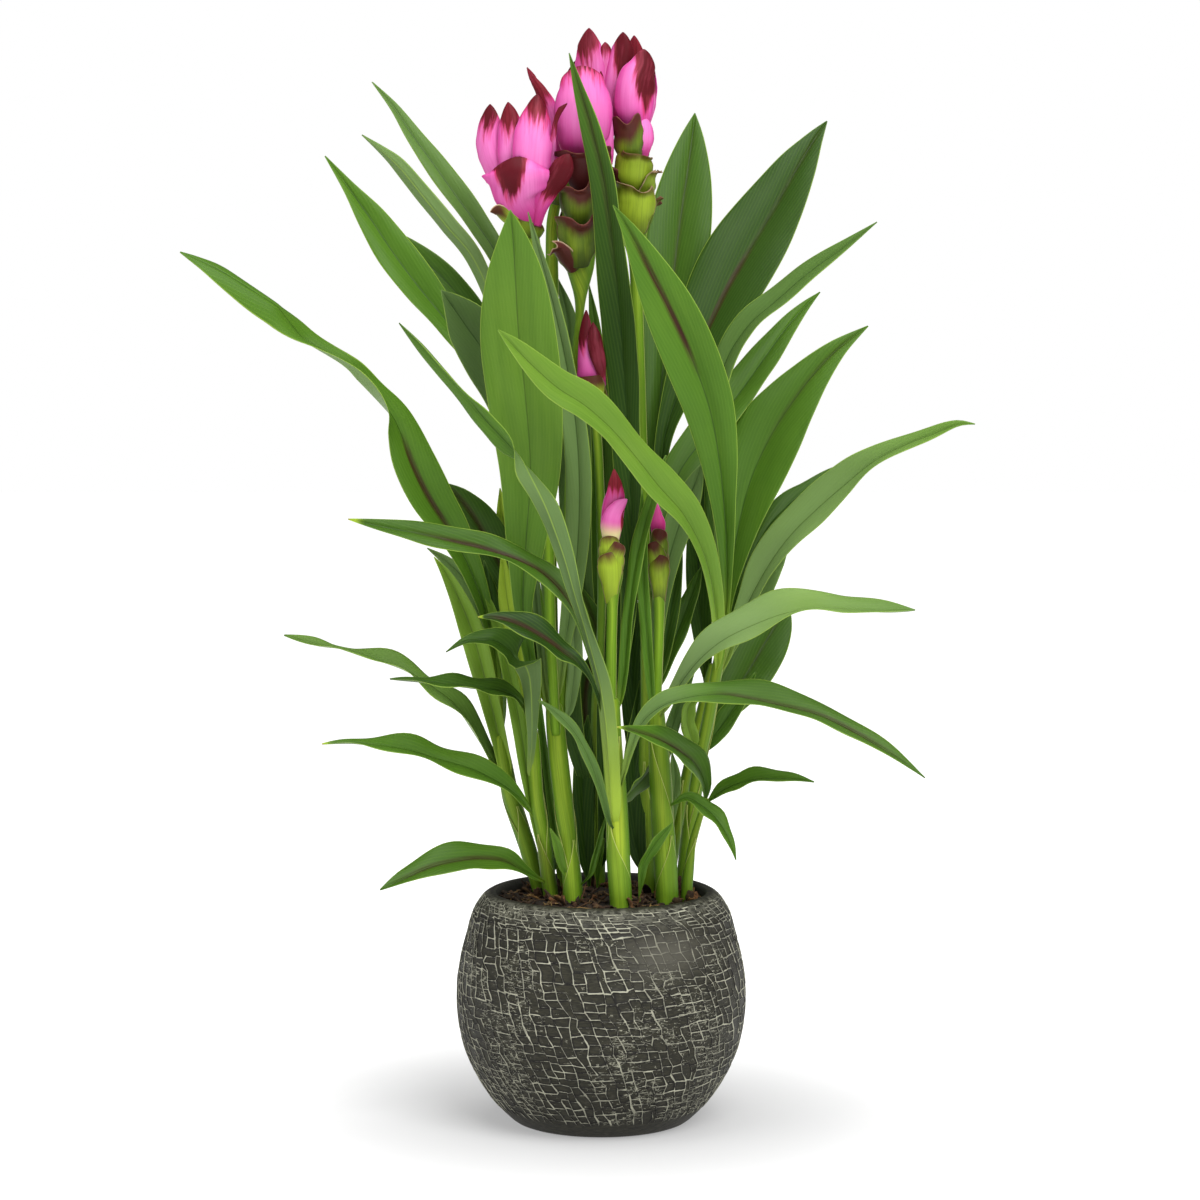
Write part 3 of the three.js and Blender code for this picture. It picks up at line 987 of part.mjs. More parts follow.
function solidOf(geometry) {
  const bare = geometry.clone();
  bare.deleteAttribute('normal');
  bare.deleteAttribute('uv');
  const merged = mergeVertices(bare, 1e-4);
  return new wasm.Manifold(new wasm.Mesh({
    numProp: 3,
    vertProperties: new Float32Array(merged.attributes.position.array),
    triVerts: new Uint32Array(merged.index.array),
  }));
}

function largestPiece(solid) {
  return solid.decompose().reduce((best, piece) => (piece.volume() > best.volume() ? piece : best));
}

function meshOf(name, solid, material) {
  const { vertProperties, triVerts } = solid.getMesh();
  const geometry = new THREE.BufferGeometry();
  geometry.setAttribute('position', new THREE.BufferAttribute(new Float32Array(vertProperties), 3));
  geometry.setIndex(new THREE.BufferAttribute(new Uint32Array(triVerts), 1));
  geometry.computeVertexNormals();
  const mesh = new THREE.Mesh(geometry, material.clone());
  mesh.name = name;
  return mesh;
}

// Bracts: blades cupped round the flower head, convex outwards

function bractGeometry(bract, grow = 0) {
  const { cup, rows } = bract;
  const top = [];
  const bottom = [];
  const thick = BRACT_THICKNESS / 2 + grow;
  const widest = Math.max(...rows.map((row) => row[3]));
  const across = widest > NARROW_BRACT ? [-1, -0.4, 0.4, 1] : [-1, 0, 1];
  const stations = widest > WIDE_BRACT ? 4 : 3;
  for (let i = 0; i <= stations; i += 1) {
    const t = i / stations;
    const row = splineRow(rows, t);
    const { side, face } = frameAt(rows, t, row[4]);
    const radius = (Math.max(row[3], 0.5) + grow) / Math.sin(THREE.MathUtils.degToRad(cup));
    const outer = [];
    const inner = [];
    for (const v of across) {
      const angle = THREE.MathUtils.degToRad(v * cup);
      const out = side.clone().multiplyScalar(Math.sin(angle)).addScaledVector(face, Math.cos(angle));
      const centre = pointOf(row).addScaledVector(out, radius).addScaledVector(face, -radius);
      outer.push(centre.clone().addScaledVector(out, thick));
      inner.push(centre.clone().addScaledVector(out, -thick));
    }
    top.push(outer);
    bottom.push(inner);
  }
  return sheetGeometry(top, bottom);
}

// Pot: a turned body with a flat foot, a rounded belly and an open mouth

const POT_OUTSIDE = [
  [0, 0], [POT_FOOT_RADIUS, 0], [49.8, 1.5], [57, 8.5], [65.5, 20.5], [73.4, 35.5], [78.4, 53],
  [POT_RADIUS, 69], [78.4, 85], [74.9, 101], [70, 115], [65.2, 123.6], [60.6, POT_HEIGHT],
  [POT_MOUTH_RADIUS, 125.2],
];

const POT_INSIDE = [
  [POT_MOUTH_RADIUS, 117], [66.5, 97], [71.8, 69], [66.5, 39], [51, 14], [42, POT_FLOOR], [0, POT_FLOOR],
];

function turned(profile, sides) {
  const lathe = new THREE.LatheGeometry(profile.map(([x, y]) => new THREE.Vector2(x, y)), sides);
  return lathe.rotateX(Math.PI / 2);
}

// Soil: fills the pot up to a low crown with an uneven surface

function soilHeight(radius, angle) {
  const edge = radius / POT_MOUTH_RADIUS;
  const lumps = 0.7 * Math.sin(radius * 0.31 + 3 * angle) + 0.6 * Math.sin(5 * angle - radius * 0.23)
    + 0.5 * Math.cos(9 * angle + radius * 0.4);
  return SOIL_EDGE_HEIGHT + SOIL_CROWN * (1 - edge * edge) + lumps * Math.min(1, 3 * edge);
}

function soilGeometry() {
  const wall = POT_INSIDE.slice(0, -1).map(([radius, height]) => [radius - GAP, height]);
  const rims = [];
  for (let i = 1; i <= SOIL_RINGS; i += 1) {
    const radius = (wall[0][0] * i) / SOIL_RINGS;
    rims.push((angle) => [radius, soilHeight(radius, angle)]);
  }
  for (const [radius, height] of wall.slice(0, -1)) {
    rims.push(() => [radius, height]);
  }
  rims.push(() => [wall[wall.length - 1][0], POT_FLOOR + GAP]);
  const points = [new THREE.Vector3(0, 0, soilHeight(0, 0))];
  for (const rim of rims) {
    for (let k = 0; k < SOIL_SPOKES; k += 1) {
      const angle = (k / SOIL_SPOKES) * 2 * Math.PI;
      const [radius, height] = rim(angle);
      points.push(new THREE.Vector3(radius * Math.cos(angle), radius * Math.sin(angle), height));
    }
  }
  points.push(new THREE.Vector3(0, 0, POT_FLOOR + GAP));
  const triangles = [];
  const at = (i, k) => 1 + i * SOIL_SPOKES + (k % SOIL_SPOKES);
  for (let k = 0; k < SOIL_SPOKES; k += 1) {
    triangles.push(0, at(0, k), at(0, k + 1));
    for (let i = 0; i < rims.length - 1; i += 1) {
      triangles.push(at(i, k), at(i + 1, k), at(i + 1, k + 1), at(i, k), at(i + 1, k + 1), at(i, k + 1));
    }
    triangles.push(points.length - 1, at(rims.length - 1, k + 1), at(rims.length - 1, k));
  }
  return closedGeometry(points, triangles);
}

// Assembly

const plant = new THREE.Group();
const grown = new Map();

function place(name, solid, thicker, material) {
  grown.set(name, thicker);
  plant.add(meshOf(name, solid, material));
}

function clearOf(solid, names) {
  return largestPiece(names.reduce((rest, name) => rest.subtract(grown.get(name)), solid));
}

function union(geometries) {
  return geometries.map(solidOf).reduce((sum, next) => sum.add(next));
}

const fusedWith = (stem) => Object.values(LEAVES).filter((leaf) => leaf.fused && leaf.stem === stem);

function stemParts(stem, grow) {
  return [
    tubeGeometry(STEMS[stem], STEM_SIDES, grow),
    ...fusedWith(stem).map((leaf) => bladeGeometry(leaf, grow)),
  ];
}

function greenParts(head, grow) {
  return [
    tubeGeometry(head.stalk, SCAPE_SIDES, grow),
    ...head.green.map((bract) => bractGeometry(bract, grow)),
  ];
}

function pinkParts(head, grow) {
  const core = head.single ? [] : [tubeGeometry(head.core, SCAPE_SIDES, grow)];
  return [...core, ...head.pink.map((bract) => bractGeometry(bract, grow))];
}

plant.add(meshOf('pot', solidOf(turned([...POT_OUTSIDE, ...POT_INSIDE], POT_SIDES)), POT_GLAZE));

let soil = solidOf(soilGeometry());
for (const stem of Object.keys(STEMS)) {
  place(stem, union(stemParts(stem, 0)), union(stemParts(stem, GAP)), STEM_GREEN);
  soil = soil.subtract(grown.get(stem));
}

const headNodes = [];
const headsOn = new Map(Object.keys(STEMS).map((stem) => [stem, []]));

function placeHead(name, head, parts, material) {
  const clear = [head.stem, ...headNodes];
  place(name, clearOf(union(parts(head, 0)), clear), union(parts(head, GAP)), material);
  headNodes.push(name);
  headsOn.get(head.stem).push(name);
}

for (const [name, head] of Object.entries(HEADS)) {
  if (head.single) {
    placeHead(name, head, (...given) => [...greenParts(...given), ...pinkParts(...given)], BRACT_PINK);
  } else {
    placeHead(`${name}_green`, head, greenParts, BRACT_GREEN);
    placeHead(`${name}_pink`, head, pinkParts, BRACT_PINK);
  }
}

for (const [name, leaf] of Object.entries(LEAVES).filter(([, { fused }]) => !fused)) {
  const solid = solidOf(bladeGeometry(leaf));
  const thicker = solidOf(bladeGeometry(leaf, GAP));
  if (leaf.stem) {
    place(name, clearOf(solid, [leaf.stem, ...headsOn.get(leaf.stem), ...leaf.clear]), thicker, LEAF_GREEN);
  } else {
    place(name, solid, thicker, LEAF_GREEN);
    soil = soil.subtract(thicker);
  }
}

plant.add(meshOf('soil', soil, SOIL_BARK));

export default plant;
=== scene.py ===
"""Looks for a potted siam tulip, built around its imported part.

Metres and +Z up in the scene, millimetres in the tables. The origin is the centre of the pot's
foot, and -Y is the side that the photograph shows.
"""

from __future__ import annotations

import logging
import math
from dataclasses import dataclass, field
from enum import Enum
from functools import partial, reduce
from typing import Optional, Sequence, Union

import bpy
import numpy as np
from mathutils import Matrix, Vector, noise


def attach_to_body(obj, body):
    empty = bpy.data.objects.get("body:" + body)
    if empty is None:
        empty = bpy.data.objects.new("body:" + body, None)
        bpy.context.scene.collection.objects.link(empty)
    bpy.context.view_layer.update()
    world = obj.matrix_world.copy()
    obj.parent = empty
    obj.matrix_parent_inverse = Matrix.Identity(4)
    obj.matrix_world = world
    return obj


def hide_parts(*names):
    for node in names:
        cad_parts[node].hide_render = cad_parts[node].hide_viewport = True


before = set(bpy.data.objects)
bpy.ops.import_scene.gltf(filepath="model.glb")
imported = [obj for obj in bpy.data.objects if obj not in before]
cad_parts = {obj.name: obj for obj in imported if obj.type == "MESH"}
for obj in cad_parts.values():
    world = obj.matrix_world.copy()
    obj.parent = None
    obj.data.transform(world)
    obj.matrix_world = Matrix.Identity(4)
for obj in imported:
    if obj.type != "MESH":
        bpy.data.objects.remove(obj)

log = logging.getLogger("siam_tulip")

MM = 0.001
BODY = "root"
FRONT = np.array([0.0, -1.0, 0.0])
SEED = 47
TURN = 2 * math.pi

Array = np.ndarray
Random = np.random.Generator
Material = bpy.types.Material
Tree = bpy.types.NodeTree
Socket = bpy.types.NodeSocket
Rgb = tuple[float, float, float]
Curve = tuple[tuple[float, float], ...]
Rows = Sequence[Sequence[float]]
Plug = Union[Socket, float, Sequence[float]]


class Attr(Enum):
    """Names of the point attributes that the finishes read."""

    LIE = "lie"
    RIM = "rim"
    TINT = "tint"


Values = dict[Attr, Array]


class Slot(Enum):
    """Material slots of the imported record."""

    POT = "pot"
    SOIL = "soil"
    STEM = "stem"
    LEAF = "leaf"
    PINK = "bract_pink"
    GREEN = "bract_green"


# Splines and frames


def spline(rows: Array, t: Array) -> Array:
    """Rows of a uniform Catmull-Rom spline.

    Args:
        rows: Control rows, one per line.
        t: Places along the whole spline, from 0 to 1.

    Returns:
        One interpolated row for each place.
    """
    last = len(rows) - 1
    span = t * last
    i = np.minimum(span.astype(int), last - 1)
    f = (span - i)[:, None]
    a, b, c, d = (rows[np.clip(i + k, 0, last)] for k in (-1, 0, 1, 2))
    curve = 2 * b + (c - a) * f
    curve = curve + (2 * a - 5 * b + 4 * c - d) * f**2 + (3 * b - a - 3 * c + d) * f**3
    return 0.5 * curve


def unit(v: Array) -> Array:
    """Vectors scaled to length one."""
    return v / np.maximum(np.linalg.norm(v, axis=-1, keepdims=True), 1e-9)


def frames(rows: Array, t: Array, turn: Union[Array, float] = 0.0) -> tuple[Array, Array]:
    """Directions across a blade at places along its spine.

    Args:
        rows: Control rows that start with x, y and z.
        t: Places along the spine.
        turn: Turn about the spine at each place, in degrees.

    Returns:
        The directions to the side of the blade and out of its face.
    """
    step = 0.004
    ahead = spline(rows, np.minimum(t + step, 1))[:, :3]
    behind = spline(rows, np.maximum(t - step, 0))[:, :3]
    along = unit(ahead - behind)
    side = unit(np.cross(along, FRONT))
    face = unit(np.cross(side, along))
    angle = np.radians(turn + np.zeros_like(t))[:, None]
    return side * np.cos(angle) + face * np.sin(angle), face * np.cos(angle) - side * np.sin(angle)


def travelled(points: Array) -> Array:
    """Distance from the first point to each point along a line of points."""
    steps = np.linalg.norm(np.diff(points[:, :3], axis=0), axis=1)
    return np.concatenate([[0.0], np.cumsum(steps)])


def along_curve(curve: Union[Curve, float], t: Array) -> Array:
    """Values of a plain number, or of a broken line given by its corners (place, value)."""
    corners = np.atleast_2d(curve)
    return np.interp(t, corners[:, 0], corners[:, -1])


def smoothstep(t: Array, low: float, high: float) -> Array:
    """Smooth rise from 0 at low to 1 at high, held outside."""
    x = np.clip((t - low) / (high - low), 0, 1)
    return x * x * (3 - 2 * x)


def uneven(gone: Array, pace: float, seed: tuple[float, float], apart: float, right: Array) -> Array:
    """Noise along the two edges of a blade.

    Args:
        gone: Millimetres from the foot at each row.
        pace: How fast the noise changes along the blade.
        seed: Where the noise starts, along the blade and in depth.
        apart: How far apart the noise of the two edges is.
        right: True in the columns that follow the right edge.

    Returns:
        The noise at each row and column.
    """
    wild = np.array([[noise.noise((a * pace + seed[0], s, seed[1])) for s in (0.0, apart)] for a in gone])
    return np.where(right, wild[:, 1:2], wild[:, 0:1])


# Meshes


@dataclass
class Surface:
    """Quads and point attributes that grow into one mesh, in millimetres."""

    points: list[Array] = field(default_factory=list)
    faces: list[Array] = field(default_factory=list)
    finish: list[Array] = field(default_factory=list)
    values: dict[Attr, list[Array]] = field(default_factory=lambda: {a: [] for a in Attr})
    count: int = 0

    def add(self, points: Array, faces: Array, values: Values, finish: int = 0) -> None:
        """Adds points with their faces.

        Args:
            points: Points, one per row.
            faces: Quads as rows of point numbers that start at 0.
            values: Attribute rows for the points.
            finish: Index of the material that the faces take.
        """
        self.points.append(points)
        self.faces.append(faces + self.count)
        self.finish.append(np.full(len(faces), finish))
        for name, rows in self.values.items():
            width = 4 if name is Attr.TINT else 3
            rows.append(values.get(name, np.zeros((len(points), width))))
        self.count += len(points)

    def build(self, name: str, materials: Sequence[Material]) -> bpy.types.Object:
        """Makes the smooth mesh object.

        Args:
            name: Name of the object.
            materials: Its materials, in the order of the finish numbers.

        Returns:
            The new object, linked to the scene.
        """
        mesh = bpy.data.meshes.new(name)
        corners = [tuple(dict.fromkeys(quad)) for quad in np.concatenate(self.faces).tolist()]
        mesh.from_pydata((np.concatenate(self.points) * MM).tolist(), [], corners)
        for attr, rows in self.values.items():
            kind, holder = ("FLOAT_COLOR", "color") if attr is Attr.TINT else ("FLOAT_VECTOR", "vector")
            layer = mesh.attributes.new(attr.value, kind, "POINT")
            layer.data.foreach_set(holder, np.concatenate(rows).astype(np.float32).ravel())
        mesh.polygons.foreach_set("use_smooth", np.ones(len(mesh.polygons), bool))
        mesh.polygons.foreach_set("material_index", np.concatenate(self.finish).astype(np.int32))
        for material in materials:
            mesh.materials.append(material)
        mesh.validate()
        return linked(name, mesh)


def linked(name: str, data: bpy.types.ID) -> bpy.types.Object:
    """Puts a new object into the scene.

    Args:
        name: Name of the object.
        data: Mesh, lamp or camera that it shows.

    Returns:
        The new object.
    """
    made = bpy.data.objects.new(name, data)
    bpy.context.scene.collection.objects.link(made)
    return made


def attach(piece: bpy.types.Object, slot: Slot, *nodes: str) -> None:
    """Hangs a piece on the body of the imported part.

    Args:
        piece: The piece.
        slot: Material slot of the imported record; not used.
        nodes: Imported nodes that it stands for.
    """
    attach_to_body(piece, BODY)
    if nodes:
        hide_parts(*nodes)


def grid_faces(rows: int, columns: int, closed: bool = False) -> Array:
    """Quads of a grid of points.

    Args:
        rows: Points along the grid.
        columns: Points across the grid.
        closed: True if the last column joins the first.

    Returns:
        The quads as rows of four point numbers.
    """
    i, j = np.meshgrid(np.arange(rows - 1), np.arange(columns - (0 if closed else 1)), indexing="ij")
    i, j = i.ravel(), j.ravel()
    k = (j + 1) % columns
    return np.stack([i * columns + j, i * columns + k, (i + 1) * columns + k, (i + 1) * columns + j], 1)


def tube_faces(rows: int, sides: int) -> Array:
    """Faces of rings of points, closed by two more points in the middle of its ends.

    Args:
        rows: How many rings there are.
        sides: Points in each ring.

    Returns:
        The quads. Those of the two ends have the middle twice.
    """
    k = np.arange(sides)
    after = (k + 1) % sides
    end = (rows - 1) * sides
    middle = np.full(sides, rows * sides)
    first = np.stack([after, k, middle, middle], 1)
    last = np.stack([end + k, end + after, middle + 1, middle + 1], 1)
    return np.concatenate([grid_faces(rows, sides, closed=True), first, last])


def blade_values(gone: Array, across: Array, share: Array, aside: Array, half: Array, tint: Array) -> Values:
    """Attribute grids of a blade. All but across may be smaller grids that spread over its shape.

    Args:
        gone: Millimetres from the foot, shifted far apart from blade to blade.
        across: Millimetres from the midrib.
        share: Share of the length.
        aside: Share of the half width.
        half: Half width in millimetres.
        tint: Four values for the TINT attribute.

    Returns:
        The grids of LIE, RIM and TINT.
    """
    lie = np.stack(np.broadcast_arrays(gone, across, share), -1)
    rim = np.stack(np.broadcast_arrays(aside, half, np.zeros_like(across)), -1)
    return {Attr.LIE: lie, Attr.RIM: rim, Attr.TINT: np.broadcast_to(tint, across.shape + (4,))}


def add_sheet(
    surface: Surface, middle: Array, out: Array, thick: Array, values: Values, finish: int = 0
) -> None:
    """Adds a thin closed sheet round a grid of points.

    Args:
        surface: Where the sheet goes.
        middle: Grid of points half way through the sheet.
        out: Direction out of the upper face at each point.
        thick: Thickness at each point.
        values: Attribute grids. The sheet marks its lower face in the third value of RIM.
        finish: Index of the material.
    """
    rows, columns = middle.shape[:2]
    half = out * (thick * 0.5)[..., None]
    points = np.concatenate([(middle + half).reshape(-1, 3), (middle - half).reshape(-1, 3)])
    faces = grid_faces(rows, columns)
    under = rows * columns
    at = np.arange(under).reshape(rows, columns)
    ring = np.concatenate([at[0, :-1], at[:-1, -1], at[-1, :0:-1], at[:0:-1, 0]])
    after = np.roll(ring, -1)
    wall = np.stack([after, ring, ring + under, after + under], 1)
    doubled = {name: np.tile(grid.reshape(under, -1), (2, 1)) for name, grid in values.items()}
    doubled.setdefault(Attr.RIM, np.zeros((2 * under, 3)))[under:, 2] = 1.0
    surface.add(points, np.concatenate([faces, faces[:, ::-1] + under, wall]), doubled, finish)


def add_tube(
    surface: Surface,
    rows: Array,
    sides: int,
    rings: int,
    tint: Sequence[float],
    finish: int = 0,
    ribs: float = 0.0,
    glow: float = 0.0,
) -> None:
    """Adds a closed round tube along control rows x, y, z, radius.

    Args:
        surface: Where the tube goes.
        rows: Control rows.
        sides: Points round the tube.
        rings: Points along the tube.
        tint: Four values for the TINT attribute.
        finish: Index of the material.
        ribs: Height of fine ribs along the tube, as a share of its radius.
        glow: Painted light: how much lighter the front and the back of the tube are than its sides.
    """
    t = np.linspace(0, 1, rings)
    row = spline(rows, t)
    side, face = frames(rows, t)
    angle = np.linspace(0, TURN, sides, endpoint=False)
    radius = row[:, 3:4] * (1 + ribs * np.cos(angle * 11) + 0.6 * ribs * np.cos(angle * 5 + 1))
    ring = side[:, None] * np.cos(angle)[:, None] - face[:, None] * np.sin(angle)[:, None]
    points = row[:, None, :3] + ring * radius[..., None]
    around = angle / np.pi - 1
    shade = np.broadcast_to(np.array(tint, float), radius.shape + (4,)).copy()
    # Painted light on the front and the back of the tube.
    shade[..., 2] += glow * ring[..., 1] ** 4
    gone = travelled(row)[:, None]
    values = blade_values(gone, around * radius * np.pi, t[:, None], np.abs(around), radius, shade)
    for name, grid in values.items():
        flat = grid.reshape(rings * sides, -1)
        values[name] = np.concatenate([flat, flat[[0, -1]]])
    every = np.concatenate([points.reshape(-1, 3), row[[0, -1], :3]])
    surface.add(every, tube_faces(rings, sides), values, finish)


# Nodes


class Bench:
    """Short calls that lay nodes out in one node tree."""

    def __init__(self, tree: Tree) -> None:
        """Takes the tree that the nodes go into."""
        self.tree = tree

    def node(self, kind: str, *values: Plug, **settings: object) -> bpy.types.Node:
        """Lays out a node.

        Args:
            kind: Blender's name of the kind of node.
            values: What its first inputs take.
            settings: Its settings by name.

        Returns:
            The new node.
        """
        made = self.tree.nodes.new(kind)
        for name, value in settings.items():
            setattr(made, name, value)
        for socket, value in zip(made.inputs, values):
            self.feed(socket, value)
        return made

    def feed(self, socket: Socket, value: Plug) -> None:
        """Links an input, or sets it to a number, vector or colour.

        Args:
            socket: The input.
            value: Socket to link, or value to set.
        """
        if isinstance(value, Socket):
            self.tree.links.new(value, socket)
        elif isinstance(value, (int, float)):
            socket.default_value = value
        else:
            wanted = len(socket.default_value)
            socket.default_value = (tuple(value) + (1.0,))[:wanted]

    def feed_all(self, node: bpy.types.Node, values: dict[str, Plug]) -> bpy.types.Node:
        """Sets several inputs of a node.

        Args:
            node: The node.
            values: What each input takes, by its name.

        Returns:
            The same node.
        """
        for name, value in values.items():
            self.feed(node.inputs[name], value)
        return node

    def maths(self, operation: str, *values: Plug, clamp: bool = False) -> Socket:
        """Result of one Math node."""
        return self.node("ShaderNodeMath", *values, operation=operation, use_clamp=clamp).outputs[0]

    def times(self, *values: Plug, clamp: bool = False) -> Socket:
        """Product of numbers."""
        return reduce(lambda a, b: self.maths("MULTIPLY", a, b, clamp=clamp), values)

    def plus(self, *values: Plug, clamp: bool = False) -> Socket:
        """Sum of numbers."""
        return reduce(lambda a, b: self.maths("ADD", a, b, clamp=clamp), values)

    def less(self, first: Plug, second: Plug) -> Socket:
        """First number less the second."""
        return self.maths("SUBTRACT", first, second)

    def most(self, first: Plug, second: Plug) -> Socket:
        """Larger of two numbers."""
        return self.maths("MAXIMUM", first, second)

    def maths_vector(self, operation: str, *values: Plug) -> Socket:
        """Result of one Vector Math node."""
        return self.node("ShaderNodeVectorMath", *values, operation=operation).outputs[0]

    def blend(self, share: Plug, a: Plug, b: Plug, mode: str = "MIX") -> Socket:
        """Mixes two colours.

        Args:
            share: How much of b there is.
            a: First colour.
            b: Second colour.
            mode: Way of blending.

        Returns:
            The mixed colour.
        """
        made = self.node("ShaderNodeMix", share, data_type="RGBA", blend_type=mode)
        self.feed(made.inputs[6], a)
        self.feed(made.inputs[7], b)
        return made.outputs[2]

    def paint(self, under: Plug, paint: Plug, share: Plug, amount: float) -> Socket:
        """Colour that a share of another, times an amount, covers."""
        return self.blend(self.times(share, amount), under, paint)

    def tone(self, under: Plug, factors: Rgb, share: Plug, amount: float) -> Socket:
        """Colour that is multiplied by three factors where a share, times an amount, says so."""
        return self.paint(under, self.blend(1.0, under, factors, "MULTIPLY"), share, amount)

    def between(self, share: Plug, a: Plug, b: Plug) -> Socket:
        """Mixes two numbers.

        Args:
            share: How much of b there is.
            a: First number.
            b: Second number.

        Returns:
            The mixed number.
        """
        made = self.node("ShaderNodeMix", share, data_type="FLOAT")
        self.feed(made.inputs[2], a)
        self.feed(made.inputs[3], b)
        return made.outputs[0]

    def ranged(self, value: Plug, low: Plug, high: Plug, to_low: Plug = 0.0, to_high: Plug = 1.0) -> Socket:
        """Value mapped smoothly from one range to another and held inside it."""
        given = (value, low, high, to_low, to_high)
        return self.node("ShaderNodeMapRange", *given, interpolation_type="SMOOTHSTEP").outputs[0]

    def parts(self, vector: Socket) -> Sequence[Socket]:
        """The three numbers of a vector."""
        return self.node("ShaderNodeSeparateXYZ", vector).outputs

    def vector(self, x: Plug, y: Plug, z: Plug) -> Socket:
        """Vector of three numbers."""
        return self.node("ShaderNodeCombineXYZ", x, y, z).outputs[0]

    def cloud(self, at: Socket, scale: Plug, detail: float = 3.0, rough: float = 0.5) -> Socket:
        """Noise from 0 to 1."""
        inputs = {"Vector": at, "Scale": scale, "Detail": detail, "Roughness": rough}
        return self.feed_all(self.node("ShaderNodeTexNoise"), inputs).outputs["Fac"]

    def attribute(self, name: Attr) -> bpy.types.Node:
        """Node that reads a point attribute."""
        return self.node("ShaderNodeAttribute", attribute_name=name.value)

    def place(self) -> Socket:
        """Where the surface is, in metres."""
        return self.node("ShaderNodeTexCoord").outputs["Object"]

    def mask(self, group: Tree, **values: Plug) -> Socket:
        """What a node group puts out for its inputs."""
        return self.feed_all(self.node("ShaderNodeGroup", node_tree=group), values).outputs[0]

    def bumped(self, height: Plug, depth: float, strength: float) -> Socket:
        """Normal of a relief, by its height from 0 to 1, its depth in metres and its strength."""
        inputs = {"Strength": strength, "Distance": depth, "Height": height}
        return self.feed_all(self.node("ShaderNodeBump"), inputs).outputs["Normal"]


class Mask(Bench):
    """A node group in the making, which puts out one mask."""

    def __init__(self, name: str, **inputs: Optional[float]) -> None:
        """Starts the group.

        Args:
            name: Name of the group.
            inputs: Default of each input, or None for a vector.
        """
        super().__init__(bpy.data.node_groups.new(name, "ShaderNodeTree"))
        face = self.tree.interface
        for label, default in inputs.items():
            kind = "NodeSocketVector" if default is None else "NodeSocketFloat"
            made = face.new_socket(label, in_out="INPUT", socket_type=kind)
            if default is not None:
                made.default_value = default
        face.new_socket("Mask", in_out="OUTPUT", socket_type="NodeSocketFloat")
        self.given = self.node("NodeGroupInput").outputs

    def band(self, away: Plug, core: float) -> Socket:
        """Band of the width in the inputs, from a distance and the share of the width that is full."""
        wide = self.given["Width"]
        return self.ranged(away, wide, self.times(wide, core))

    def done(self, mask: Socket) -> Tree:
        """Puts the mask out and hands over the group."""
        self.node("NodeGroupOutput", mask)
        return self.tree


class Effects:
    """Node groups that several finishes share. Each is built once."""

    def __init__(self) -> None:
        """Builds the groups."""
        self.streaks = self._streaks()
        self.veins = self._veins()
        self.rim = self._rim()
        self.midrib = self._midrib()
        self.stain = self._stain()
        self.curls = self._curls()

    @staticmethod
    def _streaks() -> Tree:
        """Soft streaks along a blade or stem, by their scale along and across it."""
        mask = Mask("growth streaks", Lie=None, Along=0.02, Across=0.6)
        s, across, _ = mask.parts(mask.given["Lie"])
        at = mask.vector(mask.times(s, mask.given["Along"]), mask.times(across, mask.given["Across"]), 0.0)
        return mask.done(mask.cloud(at, 1.0, 4.0, 0.6))

    @staticmethod
    def _veins() -> Tree:
        """Fine veins that leave the midrib at a low angle, by their pitch in millimetres."""
        mask = Mask("slanting veins", Lie=None, Pitch=1.3, Slant=0.13)
        s, across, _ = mask.parts(mask.given["Lie"])
        shift = mask.times(s, mask.given["Slant"])
        turn = mask.maths("DIVIDE", mask.less(mask.maths("ABSOLUTE", across), shift), mask.given["Pitch"])
        return mask.done(mask.ranged(mask.maths("COSINE", mask.times(turn, TURN)), -0.2, 1.0))

    @staticmethod
    def _rim() -> Tree:
        """Band along the edge of a blade, by its width in millimetres."""
        mask = Mask("rim band", Rim=None, Width=0.5)
        share, half, _ = mask.parts(mask.given["Rim"])
        return mask.done(mask.band(mask.times(mask.less(1.0, share), half), 0.35))

    @staticmethod
    def _midrib() -> Tree:
        """Band along the midrib of a blade, by its half width in millimetres."""
        mask = Mask("midrib band", Lie=None, Width=0.5)
        _, across, _ = mask.parts(mask.given["Lie"])
        return mask.done(mask.band(mask.maths("ABSOLUTE", across), 0.3))

    @staticmethod
    def _stain() -> Tree:
        """Stain with a feathered end, where a smooth field is above zero."""
        mask = Mask("feathered stain", Lie=None, Field=-1.0, Feather=0.35, Across=0.9, Soft=0.05)
        s, across, _ = mask.parts(mask.given["Lie"])
        at = mask.vector(mask.times(s, 0.035), mask.times(across, mask.given["Across"]), 0.0)
        ragged = mask.less(mask.cloud(at, 1.0, 5.0, 0.65), 0.5)
        inside = mask.maths("MULTIPLY_ADD", ragged, mask.given["Feather"], mask.given["Field"])
        soft = mask.given["Soft"]
        return mask.done(mask.ranged(inside, mask.times(soft, -1.0), soft))

    @staticmethod
    def _curls() -> Tree:
        """Thin broken hooks and curls of clay slip."""
        mask = Mask("slip curls", Place=None, Scale=300.0, Width=0.06, Broken=0.5)
        at, scale, broken = (mask.given[name] for name in ("Place", "Scale", "Broken"))
        sway = mask.cloud(at, mask.times(scale, 0.55), 2.0).node.outputs["Color"]
        swept = mask.maths_vector("SCALE", mask.maths_vector("SUBTRACT", sway, (0.5, 0.5, 0.5)))
        mask.feed(swept.node.inputs["Scale"], mask.maths("DIVIDE", 1.3, scale))
        cells = mask.node("ShaderNodeTexVoronoi", feature="DISTANCE_TO_EDGE")
        mask.feed_all(cells, {"Vector": mask.maths_vector("ADD", at, swept), "Scale": scale})
        line = mask.band(cells.outputs["Distance"], 0.3)
        elsewhere = mask.maths_vector("ADD", at, (0.37, 0.11, 0.23))
        gaps = mask.cloud(elsewhere, mask.times(scale, 0.8), 2.0)
        return mask.done(mask.times(line, mask.ranged(gaps, broken, mask.plus(broken, 0.05))))


# Finishes


